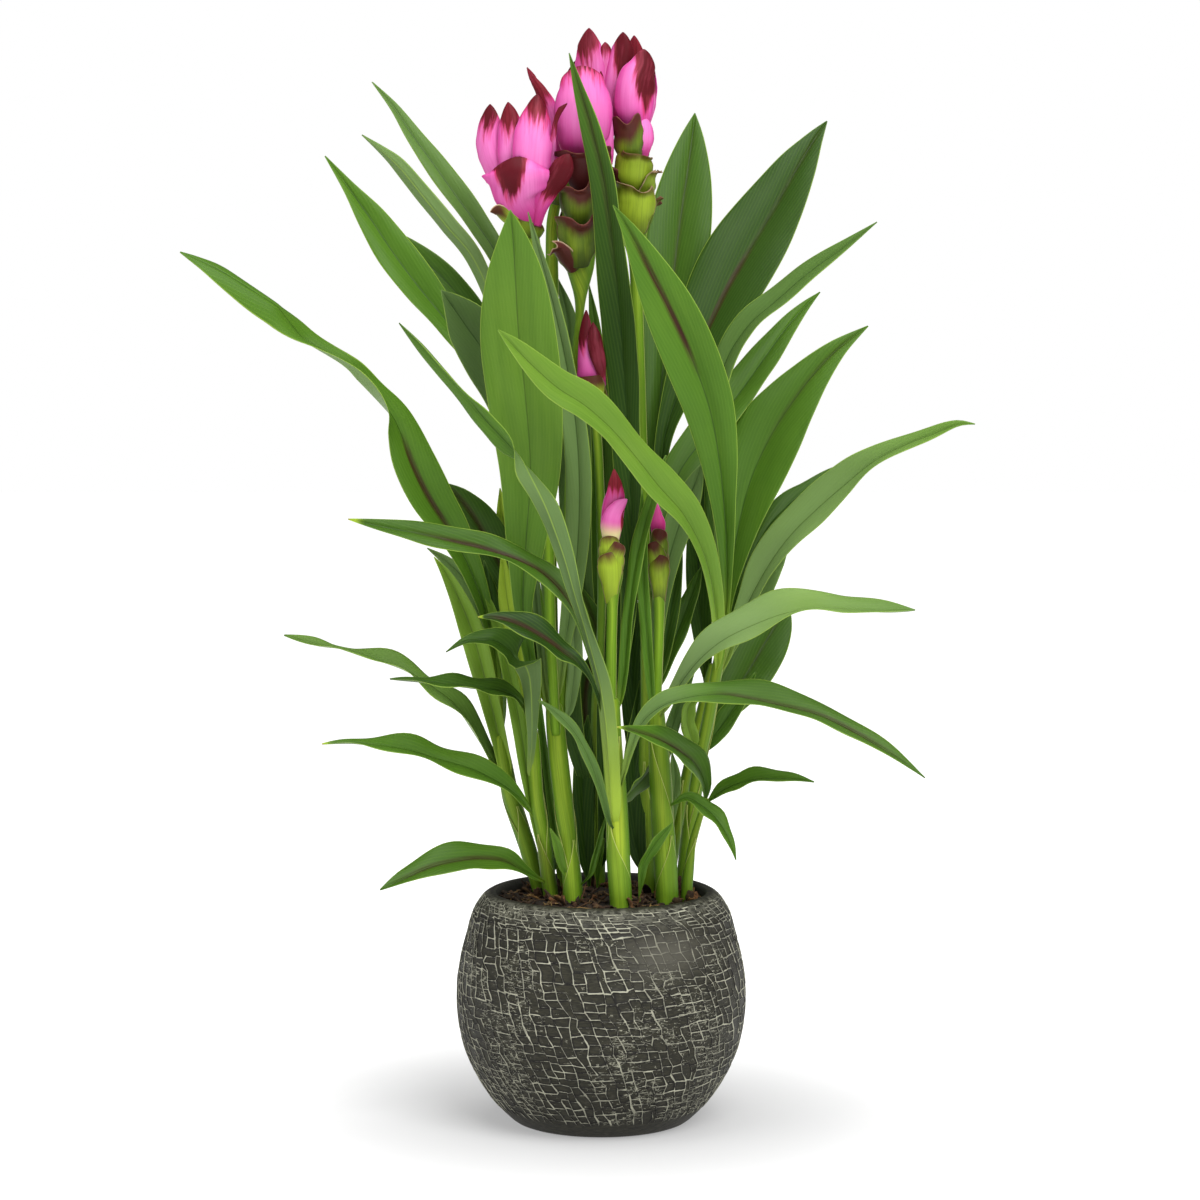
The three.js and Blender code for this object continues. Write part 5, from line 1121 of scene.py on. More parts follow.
        (-64.9, 18.9, 281.2, 5.3, -5), (-73.7, 19.4, 296.1, 5.3, -10), (-84.2, 20.4, 307.1, 3.4, -15),
        (-96.5, 23, 315.3, 0.3, -15)), folds=(28, 20), grey=0.6),
    "leaf_left_17": Leaf(((-27.1, 3, 224.5, 2.2, 0), (-34.9, 10.4, 257, 4.4, 0),
        (-47.1, 16.3, 286.9, 9.4, 0), (-58.2, 21.2, 311, 12.2, -5), (-68.3, 25.1, 329.6, 11.2, -10),
        (-77.8, 28.7, 342.2, 6.8, -12), (-86.9, 33, 350.9, 0.3, -12)),
        maroon=((0, 0), (0.3, 0), (0.5, 0.7), (0.8, 0.5), (1, 0)), shade=-0.6),
    "leaf_centre_1": Leaf(((-18.9, 5, 118.5, 2.7, 0), (-21.7, 5, 132.5, 2.7, 0), (-26.1, 4, 163.3, 2.5, 0),
        (-30.4, 3, 196.8, 2.2, 0), (-34.1, -6, 228.3, 2.2, 0), (-38.7, -16, 255.7, 3.2, 0),
        (-42.3, -24, 287.5, 5.4, 0), (-40.4, -31, 323.2, 11, 0), (-38.1, -37, 361.1, 16.6, 3),
        (-40.6, -43, 398.6, 20.3, 4), (-44.1, -49, 433.1, 20.5, 4), (-45.4, -55, 462, 15.9, 2),
        (-46.3, -60, 482.8, 8.4, 0), (-47.7, -64, 498.4, 0.3, 0)), folds=(26, 9),
        shade=((0, -0.2), (0.35, -0.1), (0.5, 0.15), (0.7, 0.35), (1, 0.2))),
    "leaf_centre_2": Leaf(((-24.8, -1, 225.5, 2.2, 10), (-21.5, 0, 255.2, 3.3, 12),
        (-16.5, -1, 288.3, 5.6, 14), (-13.2, -2, 321.3, 7.3, 14), (-12.6, -4, 354.2, 7.7, 16),
        (-14.8, -7, 387, 6.9, 20), (-19.6, -10, 416.8, 6.3, 26), (-26, -13, 446.5, 5.3, 30),
        (-32.4, -16, 472.2, 3.6, 34), (-39.3, -19, 498.9, 0.3, 36)), grey=((0, 0.6), (1, 0.8)), shade=0.1),
    "leaf_centre_3": Leaf(((7.4, -34, 223.4, 1.9, 0), (11.8, -27, 252.5, 2.7, 10), (15.1, -21, 290, 5, 15),
        (15.6, -18, 333.2, 7.2, 20), (13.4, -17, 376.4, 9, 25), (11, -17, 414.2, 10.1, 28),
        (8, -18, 451.8, 10.3, 30), (4.2, -20, 486.6, 9, 30), (0.2, -22, 515.8, 8.1, 30),
        (-6.5, -24, 544.9, 5.9, 30), (-12.4, -26, 565.9, 3.1, 30), (-17.1, -28, 582.7, 0.3, 30)),
        folds=(24, 12), maroon=((0, 0), (0.55, 0), (0.68, 0.35), (0.88, 0.35), (0.97, 0), (1, 0)),
        shade=((0, -0.8), (0.5, -0.75), (0.75, -0.55), (1, -0.2))),
    "leaf_centre_4": Leaf(((65.6, -3, 258.3, 2.2, 0), (67.9, -12, 289.2, 2.7, 5),
        (67.5, -20, 319.8, 4.9, 8), (65.6, -27, 344.5, 7.3, 8), (62.6, -33, 368.9, 10.8, 8),
        (57, -39, 395.8, 14, 6), (47.2, -44, 422.5, 15.2, 4), (35.9, -48, 447.3, 13.8, 2),
        (24.7, -51, 469.4, 9.3, 0), (15.2, -53, 487.2, 4.5, 0), (6.2, -54, 501.3, 0.3, 0)), folds=(26, 12),
        maroon=((0, 0), (0.55, 0), (0.62, 0.9), (0.82, 0.9), (0.9, 0.2), (1, 0)),
        shade=((0, -0.5), (0.3, -0.1), (1, 0.05))),
    "leaf_centre_5": Leaf(((63.5, -1, 243.2, 2, -20), (63.7, -18, 278.8, 4.4, -30),
        (58.4, -34, 312.6, 7.1, -38), (46.8, -47, 337.5, 10.1, -40), (32.2, -56, 354.5, 11.4, -40),
        (18.3, -65, 371.7, 10, -40), (5.7, -73, 386.2, 10.3, -38), (-7.9, -80, 398.3, 11, -36),
        (-21.4, -86, 406.8, 10, -34), (-33.7, -91, 417.2, 8, -32), (-44.5, -95, 427.5, 4.5, -30),
        (-53.1, -98, 435.8, 0.4, -30)), folds=(24, 12), wave=1.5, shade=0.45),
    "leaf_centre_7": Leaf(((-1.8, 31, 221.3, 2.3, 10), (-0.7, 31.1, 257.7, 4.6, 15),
        (0.4, 32.4, 296.8, 7.1, 20), (1, 33.4, 341.4, 8, 20), (0.4, 35.2, 380.2, 7.1, 20),
        (-1.8, 36.6, 413.5, 5.3, 20), (-4, 38.5, 441.2, 3, 20), (-6.8, 41, 461.1, 0.3, 20)), shade=-0.4),
    "leaf_right_1": Leaf(((25.3, 12, 254, 2.2, 0), (27, 21.4, 286.5, 2.8, 0), (28.9, 34.3, 330.2, 3.9, 0),
        (31.2, 44.3, 374.4, 6.7, 0), (35.2, 55.1, 418.9, 12.9, 0), (39.9, 65.7, 458.1, 17.5, 0),
        (44.6, 77.1, 494.9, 18.2, 0), (48.7, 87.1, 521.7, 14.3, 0), (51.8, 96.8, 543.7, 7.5, 0),
        (53.7, 106, 559.5, 0.3, 0)), folds=(22, 10), wave=0.5,
        maroon=((0, 0), (0.4, 0), (0.6, 0.25), (0.9, 0.15), (1, 0)), shade=-0.45),
    "leaf_right_2": Leaf(((25.8, 10, 257, 2.2, 0), (30.3, 16.1, 286.9, 2.8, 5), (32, 25.4, 330.7, 3.6, 8),
        (33.7, 30.5, 369.3, 4.5, 12), (41, 35.3, 396.9, 8.1, 16), (53.3, 39.7, 426.2, 14.8, 20),
        (67.3, 45.7, 456.8, 21.4, 20), (82.1, 53.2, 482.5, 22.1, 20), (96.9, 61.2, 506.1, 18, 20),
        (109.6, 68.7, 527, 12.1, 20), (120.1, 76.6, 543.1, 5.4, 20), (127.9, 84, 553.6, 0.4, 20)),
        folds=(24, 12), wave=0.5,
        maroon=((0, 0), (0.45, 0), (0.5, 0.8), (0.6, 0.8), (0.65, 0.25), (0.9, 0.2), (1, 0)), shade=-0.7),
    "leaf_right_3": Leaf(((64.2, 3, 238.4, 1.9, 10), (67.3, -1.5, 274.6, 2.9, 20),
        (66, -3.5, 315.9, 3.8, 30), (63.1, -5.1, 354.3, 4.7, 35), (61.4, -4.4, 386.9, 6, 40),
        (65.6, -4.4, 416.7, 7.6, 44), (78, -5.2, 438.4, 8.6, 46), (94.2, -5.7, 453, 8.6, 46),
        (112, -6, 468.1, 7.4, 46), (132, -6.1, 481.6, 3.9, 46), (149.3, -5, 494, 0.4, 46)), folds=(22, 12),
        grey=((0, 0.4), (0.5, 0.4), (1, 0.2)), shade=-0.35),
    "leaf_right_4": Leaf(((25.8, 8, 237.8, 1.9, 0), (30.7, 5.1, 276.8, 2.8, 8), (32.9, 7.4, 309.7, 4.5, 12),
        (35.7, 11.6, 334.2, 6.9, 16), (42.3, 17.4, 357.6, 10, 20), (56.4, 26.8, 377.2, 10.9, 24),
        (74.6, 41.9, 399.5, 11.1, 28), (90.3, 56.4, 420, 9.8, 30), (103.8, 69.5, 436.8, 6.5, 30),
        (115.2, 80, 448.7, 3.3, 30), (124.8, 89, 457.2, 0.4, 30)), folds=(24, 12),
        grey=((0, 0.6), (0.3, 0.4), (0.5, 0), (1, 0)), shade=-0.1),
    "leaf_right_5": Leaf(((65.7, 0, 258, 2.2, 0), (69.3, 10.4, 290.2, 4.5, 10), (73.9, 17.1, 322.9, 12, 15),
        (81.2, 22.9, 353, 19.2, 18), (92.4, 27.5, 377.7, 20.1, 20), (104.7, 31.9, 395.9, 16, 20),
        (117.1, 36, 411.3, 11, 20), (131.8, 40.7, 425.7, 5.6, 20), (148.9, 46, 437.9, 0.4, 20)),
        folds=(24, 12), wave=0.5, maroon=((0, 0), (0.4, 0), (0.6, 0.25), (0.9, 0.2), (1, 0)), shade=-0.25),
    "leaf_right_6": Leaf(((64.7, 2, 241.2, 2, 20), (71.1, -2.5, 266.5, 4, 35), (79, -7.6, 288.9, 6.6, 42),
        (88.5, -13, 309.5, 10.5, 48), (100, -19.8, 326.8, 13, 50), (114.6, -26.8, 342.3, 13.4, 50),
        (129.6, -34.1, 355.6, 11.3, 50), (144, -40.6, 367.1, 8.2, 52), (160, -46.4, 375.8, 6.8, 54),
        (175.4, -51.4, 381.8, 5.2, 56), (188.3, -54.6, 386.2, 3, 58), (197.5, -57, 386.2, 0.5, 58)),
        wave=1.5, grey=((0, 0.8), (0.5, 0.6), (0.8, 0.2), (1, 0)), shade=0.3),
    "leaf_right_7": Leaf(((61.8, 28, 235.6, 2.1, 20), (69.6, 30.8, 263.4, 3.8, 30),
        (78.6, 36.4, 299.3, 6.8, 35), (90.6, 44.3, 324, 8.5, 38), (103.9, 52.3, 338.1, 7.3, 40),
        (116.8, 61.3, 347.3, 5.5, 40), (128.6, 70.3, 354.2, 3.3, 40), (139.5, 80, 360.1, 0.4, 40)),
        shade=-0.5),
    "leaf_right_8": Leaf(((29.7, -27, 222.6, 2, 20), (38, -38.6, 241.3, 4.2, 45),
        (48.5, -48.8, 259, 7.3, 52), (61, -57.4, 272.7, 12, 55), (77, -65.5, 283, 14.9, 58),
        (94, -72.8, 290.5, 14.5, 62), (112, -79.5, 294.2, 11.8, 68), (129.9, -85.4, 293.7, 10.7, 70),
        (147.8, -90.6, 292, 7.6, 72), (163, -95, 290.8, 0.8, 72)), folds=(22, 14), wave=1.5,
        grey=((0, 0.9), (0.45, 0.8), (0.65, 0.4), (1, 0.3)),
        shade=((0, -0.1), (0.4, 0.4), (0.6, 0.5), (1, 0.2))),
    "leaf_right_9": Leaf(((8.5, -42, 183.8, 1.7, 20), (14.3, -52.4, 209.5, 2.6, 35),
        (20.6, -59.3, 228, 4.3, 48), (32.2, -65.5, 239.4, 7, 58), (47.9, -71, 245.4, 9.5, 62),
        (63.6, -75.7, 247.5, 10.7, 64), (79.2, -79.6, 245.8, 12.2, 62), (96.3, -83.7, 242, 10.8, 58),
        (114.4, -87, 237.1, 8.8, 58), (132.6, -89.5, 227.9, 6.9, 58), (150.8, -91.2, 216.6, 4.9, 58),
        (169.2, -92, 202.5, 0.5, 58)), folds=(22, 14), wave=2,
        maroon=((0, 0), (0.4, 0), (0.5, 0.6), (0.85, 0.6), (0.95, 0), (1, 0)),
        grey=((0, 0.5), (0.3, 0.6), (0.42, 0.1), (1, 0.1)),
        shade=((0, 0), (0.35, 0), (0.45, -0.4), (1, -0.35))),
    "leaf_right_10": Leaf(((56.1, -15, 176.6, 1.9, 30), (61.3, -22.1, 183.7, 3.8, 50),
        (70.8, -30.2, 191.4, 6.4, 60), (82.9, -37.2, 196.1, 7.3, 64), (98.7, -43.8, 197, 5.2, 66),
        (113.9, -50, 194.6, 0.7, 66)), folds=(22, 14)),
    "leaf_right_11": Leaf(((34.1, -26, 173.3, 1.4, 20), (44.8, -32, 184, 2.8, 40),
        (54.9, -37, 180.9, 5.4, 50), (62.9, -41, 173.9, 5.3, 45), (68.7, -44, 164, 3.4, 45),
        (72.4, -46, 151.8, 0.4, 45)), folds=(22, 14)),
    "leaf_right_12": Leaf(((56.7, -15, 174.4, 1.4, -20), (57.4, -26, 189.7, 4.2, -40),
        (52.6, -42, 203.8, 8.3, -50), (43, -57, 213.8, 9, -52), (31.6, -69, 221.2, 7.3, -52),
        (20.4, -77, 225.4, 4.2, -52), (8.3, -82, 228.1, 0.4, -52)), folds=(22, 14),
        maroon=((0, 0), (0.2, 0), (0.5, 0.7), (0.9, 0.4), (1, 0)), dry=((0, 0), (0.93, 0), (1, 0.9)),
        shade=-0.3),
    "leaf_right_13": Leaf(((54.7, 33, 209.8, 1.9, 0), (61.1, 39.9, 216.3, 5, 5),
        (71.5, 49.9, 227.6, 10.8, 10), (82.7, 60.2, 242.4, 14.4, 12), (92.1, 69.8, 256.8, 14.5, 12),
        (100.6, 80.4, 269.1, 9.9, 12), (108, 91, 279.7, 0.4, 12)), folds=(24, 12),
        maroon=((0, 0), (0.4, 0), (0.6, 0.25), (0.9, 0.2), (1, 0)), shade=-0.5),
    "leaf_right_15": Leaf(((29.8, -19, 223.3, 1.9, 0), (29.3, -13, 253.8, 3.3, 5), (32.1, -6, 286, 5, 10),
        (37, -3, 312.1, 6.7, 12), (44.7, 0, 336.5, 8.4, 12), (51.3, 2, 352.8, 5, 12),
        (55.1, 3, 363.2, 0.3, 12)), grey=0.6, shade=-0.3),
    "leaf_right_16": Leaf(((59.5, 28, 232.8, 1.9, 0), (57.4, 33.6, 257.5, 5, 0), (54.9, 43.8, 287.5, 7, 0),
        (55.1, 55, 314.9, 7.3, 0), (57.1, 66.8, 339.6, 5.1, 0), (59.7, 79, 358.4, 0.3, 0)), shade=-0.65),
    "leaf_right_17": Leaf(((8, -38, 223.9, 1.6, 0), (11.7, -40, 251.1, 2.8, 15),
        (14.4, -38, 283.3, 3.5, 25), (18.1, -37, 311.7, 4.3, 30), (23.5, -36, 334.2, 4.3, 30),
        (29.4, -34, 352.9, 3.1, 30), (34.7, -33, 368.9, 0.4, 30)), shade=-0.3),
    "leaf_right_18": Leaf(((28.6, -25, 222.3, 1.6, 0), (26.4, -27, 247.1, 2.7, 5),
        (24.2, -27, 274.2, 3.3, 10), (22.5, -27, 301.3, 3.3, 10), (22, -27, 328.3, 2.7, 10),
        (22, -27, 349.9, 0.3, 10))),
    "leaf_right_14": Leaf(((60.1, 29, 229.9, 1.9, 0), (68.2, 22.6, 255.8, 4.5, 10),
        (78.1, 21.7, 275.4, 6.9, 15), (85.8, 22.3, 289.2, 8.1, 18), (92.5, 23.2, 300.8, 7.1, 20),
        (98.6, 24.5, 307.4, 3.5, 20), (103.1, 26, 312.9, 0.4, 20)), grey=0.6),
    "leaf_young": Leaf(((21.1, -28, 118.8, 1.3, -20), (21.1, -29, 132.7, 1.3, -20),
        (22.7, -31, 145, 2.7, -25), (27.5, -34, 155.4, 3.5, -25), (33.4, -37, 164, 3, -25),
        (38.7, -39, 171.4, 0.3, -25)), folds=(22, 12)),
    "leaf_centre_6": Leaf(((-27, 0, 221, 1.6, 0), (-33.8, 9.6, 240.4, 2.2, 0), (-45, 19.8, 272.7, 4.4, 0),
        (-51.7, 25.5, 305.7, 5, 0), (-54.5, 27.6, 330.6, 3.9, 0), (-56.2, 30, 348.2, 0.3, 0)),
        folds=(24, 12), wave=0.5, dry=0.5),
    "leaf_inner_1": Leaf(((-2.4, 31, 166.6, 1.7, 0), (-5.2, 32, 190.2, 5.6, 5), (-8.5, 34, 215.3, 9.5, 5),
        (-9.1, 36, 231.9, 8.7, 5), (-6.3, 38, 246.9, 5, 5), (-2.4, 39, 258.1, 0.3, 5)), folds=(22, 12),
        maroon=((0, 0), (0.2, 0.7), (0.8, 0.7), (0.95, 0), (1, 0)), shade=-0.7),
    "leaf_inner_2": Leaf(((-27.6, -4, 129.5, 1.6, 0), (-27.2, 4, 144.9, 4.4, 0),
        (-28.9, 12, 164.9, 6.6, -5), (-30.1, 16, 182.2, 6.6, -5), (-32.3, 19, 198.6, 4.4, -5),
        (-35.1, 21, 214, 0.3, -5)), folds=(22, 12), shade=-0.7),
    "leaf_inner_3": Leaf(((24.9, 13, 158, 2.2, 0), (21.6, 21, 188.8, 5, 0), (18.3, 29, 223.2, 6.7, 0),
        (17.2, 35, 257.4, 6.1, 0), (19.5, 38, 290.8, 0.3, 0)), folds=(22, 12), shade=-0.8),
    "leaf_inner_4": Leaf(((-0.7, 29, 227.1, 2.8, 0), (1.6, 27, 249.7, 5, -5), (-1.8, 27, 268.2, 6.2, -12),
        (-7.3, 28, 282.6, 4.7, -18), (-13.5, 29, 295.4, 0.4, -20)), folds=(22, 12),
        maroon=((0, 0), (0.3, 0.4), (0.8, 0.4), (1, 0)), shade=-0.45),
    "leaf_inner_5": Leaf(((25.8, 9, 227.7, 2.3, 20), (34.7, 14, 251.1, 4.7, 22), (42.6, 20, 271.1, 6.1, 25),
        (50.5, 27, 290.5, 4.4, 28), (56.1, 31, 304.7, 0.4, 30)), folds=(22, 12), shade=-0.5),
    "leaf_inner_6": Leaf(((49.7, 33, 192.9, 1.7, 10), (57.5, 31, 202.7, 4, 15), (67.4, 29, 216.4, 5.9, 20),
        (77.4, 28, 231.2, 4.7, 20), (86.3, 28, 245.7, 0.4, 20)), folds=(22, 12), shade=-0.4),
    "leaf_inner_7": Leaf(((6.3, -47, 161.8, 1.4, -20), (2.6, -53, 181, 2.3, -25),
        (-2.2, -57, 197.7, 3.1, -30), (-7.6, -60, 212.1, 3.5, -35), (-13.4, -62, 222.5, 3.4, -40),
        (-20.8, -64, 231.3, 3.2, -42), (-27.1, -65, 236.2, 2.1, -42), (-33.4, -66, 240.6, 0.4, -42)),
        folds=(22, 12), grey=((0, 0.2), (0.6, 0.5), (1, 0.4)), shade=-0.4),
    "leaf_inner_8": Leaf(((-2.3, 28, 253.6, 2.2, 0), (-10.1, 30, 294.2, 6.1, -5), (-14, 31, 330.4, 8.9, -5),
        (-14.5, 32, 374.8, 9.6, -10), (-16.2, 34, 405.2, 7.5, -15), (-17.9, 36, 440.1, 5.3, -20),
        (-24, 38, 463.9, 0.4, -25)), folds=(22, 12), grey=((0, 0.4), (1, 0.6)), shade=-0.4),
    "leaf_inner_9": Leaf(((-28.2, -6, 132.1, 2.2, 0), (-33, -8, 156.8, 3.5, 0), (-37.6, -9, 179.1, 3.8, 0),
        (-41.1, -10, 198.5, 4.3, 0), (-44.1, -9, 217.7, 4.6, 0), (-48.3, -6, 239.3, 4.4, 0),
        (-52.7, -3, 258.3, 3.8, -5), (-57.1, 0, 274.5, 3, -10), (-61.5, 2, 287, 1.9, -10),
        (-66, 4, 296.2, 0.3, -10)), folds=(28, 18), dry=((0, 0.12), (1, 0.1)), shade=0.3),
    "leaf_inner_10": Leaf(((-8.3, -22, 128.2, 1.4, -20), (-6.1, -23, 138.2, 1.8, -20),
        (-2.3, -25, 152.8, 1.9, -18), (0.4, -27, 164.1, 1.3, -15), (2.6, -29, 173.7, 0.3, -15)),
        folds=(20, 12), wave=0.5, shade=0.1),
    "leaf_inner_11": Leaf(((-2.3, 20, 121.5, 1.3, 0), (-1.8, 16, 136.2, 2, 0), (-0.1, 12, 148.1, 1.6, 0),
        (1.6, 10, 155.1, 0.3, 0)), folds=(20, 12), wave=0.5, shade=-0.2),
    "leaf_inner_12": Leaf(((6.9, -33, 178.1, 2.5, -50), (13.5, -26, 182.6, 5, -50),
        (21.1, -19, 188.2, 6.3, -50), (28.3, -13, 196.2, 5.1, -50), (34.4, -9, 205, 0.5, -50)),
        folds=(20, 12), grey=((0, 0.4), (1, 0.3)), shade=-0.35),
    "leaf_inner_13": Leaf(((35, 20, 146.9, 2, 10), (38.8, 19, 168.4, 3.4, 10), (41, 18, 186.4, 3.6, 10),
        (39.3, 17, 202.2, 0.3, 10)), folds=(20, 12), grey=((0, 0.6), (1, 0.5)), shade=0.2),
    "leaf_inner_14": Leaf(((54.7, 12, 192.8, 2.2, -10), (50.6, 6, 209.2, 4, -15),
        (47.7, 1, 220.9, 4.4, -20), (48.7, -4, 230.3, 3.8, -30), (54, -8, 235.7, 0.4, -40)), dry=0.1,
        shade=0.5),
    "leaf_inner_16": Leaf(((-6.3, 22, 122.9, 2.8, 0), (-8.5, 20, 146.9, 5, -5), (-9.6, 22, 174.7, 6.7, -8),
        (-9, 25, 199.5, 5.6, -5), (-7.4, 28, 221.6, 0.3, 0)), folds=(22, 12), shade=-0.75),
    "leaf_inner_17": Leaf(((24.8, 8, 129.2, 2.2, 0), (19.8, 6, 151.9, 5.5, -5), (18.1, 8, 179.4, 6.6, -5),
        (19.3, 12, 206.8, 6, 0), (21.5, 16, 242.5, 0.3, 0)), folds=(22, 12), shade=-0.8),
    "leaf_inner_18": Leaf(((-0.7, 26, 129, 2.2, 0), (2.7, 22, 157.8, 5, 0), (3.8, 20, 191.8, 6.6, 0),
        (3.8, 22, 225.1, 6.6, 0), (5.4, 24, 258.4, 6.1, 0), (6.6, 26, 286.1, 5, 0),
        (7.7, 28, 311.1, 0.3, 0)), folds=(22, 12), shade=-0.8),
    "leaf_inner_19": Leaf(((28.1, 10, 232, 2.2, 10), (34.7, 13, 259.5, 4.5, 12), (39.1, 17, 286.9, 5.1, 12),
        (41.9, 20, 308.8, 3.4, 12), (43.6, 23, 328.1, 0.3, 12)), folds=(22, 12), shade=-0.65),
    "leaf_inner_20": Leaf(((66.3, 2, 266.1, 2.2, 0), (64.1, 4, 293.4, 4.4, 0), (62.5, 6, 320.8, 4.9, 0),
        (60.3, 8, 345.4, 3.8, 0), (58.1, 10, 367.3, 0.3, 0)), folds=(22, 12), shade=-0.6),
    "leaf_inner_21": Leaf(((-36.7, -10, 213.4, 1.6, 0), (-41.8, -2, 238.9, 3.8, -5),
        (-47.4, 4, 265.9, 5, -8), (-51.8, 8, 289.3, 5, -8), (-54.6, 10, 316.1, 0.3, -8)), folds=(22, 12),
        dry=((0, 0.4), (1, 0.58)), shade=0.8),
    "leaf_inner_22": Leaf(((-19.9, -2, 214.1, 1.6, 0), (-16.6, 0, 233.2, 3.3, 5), (-14.4, 2, 255, 4.4, 5),
        (-15.5, 4, 276.9, 3.8, 0), (-17.1, 6, 294.4, 0.3, -5)), folds=(22, 12), grey=((0, 0.8), (1, 0.9)),
        shade=-0.05),
    "leaf_inner_23": Leaf(((-4, 30, 165.1, 1.4, 0), (-9.6, 24, 186.7, 3.6, 0), (-14.6, 20, 209.7, 5.5, 0),
        (-16.2, 18, 235.6, 5, 0), (-12.3, 18, 261.8, 0.3, 0)), folds=(22, 12), grey=((0, 0.1), (1, 0.2)),
        shade=-0.65),
    "leaf_inner_24": Leaf(((27, 10, 176.4, 1.4, 0), (33.6, 7, 198, 3.3, 0), (39, 5, 217.1, 4.1, 5),
        (45.6, 4, 237.1, 2.8, 10), (53.2, 4, 254.8, 0.3, 10)), folds=(22, 12), grey=((0, 0.4), (1, 0.3)),
        shade=-0.5),
    "leaf_inner_25": Leaf(((-37.3, -9, 211.1, 1.6, 0), (-44.6, 0, 233.2, 3.3, -8), (-53, 8, 260, 5, -12),
        (-59.7, 14, 285.5, 5.1, -14), (-64.7, 17, 309, 0.3, -14)), folds=(22, 12), shade=-0.7),
    "leaf_inner_15": Leaf(((-19.2, -19, 131.5, 1.6, -10), (-20.8, -22, 142.5, 2.7, -10),
        (-24, -24, 156.5, 2.5, -10), (-27.8, -25, 166, 0.3, -10)), folds=(22, 12), wave=0.6, shade=0.3),
}


def nearest_axis(point: Array) -> tuple[Array, float]:
    """Finds where a leaf is rooted.

    Args:
        point: Foot of the leaf.

    Returns:
        The nearest place on a stem's axis, and the distance from the point to that stem's skin.
    """
    best, gap = point, math.inf
    for rows in STEMS.values():
        axis = spline(np.array(rows, float), np.linspace(0, 1, 80))
        away = np.linalg.norm(axis[:, :3] - point, axis=1) - axis[:, 3]
        k = int(np.argmin(away))
        if away[k] < gap:
            best, gap = axis[k, :3], float(away[k])
    return best, gap


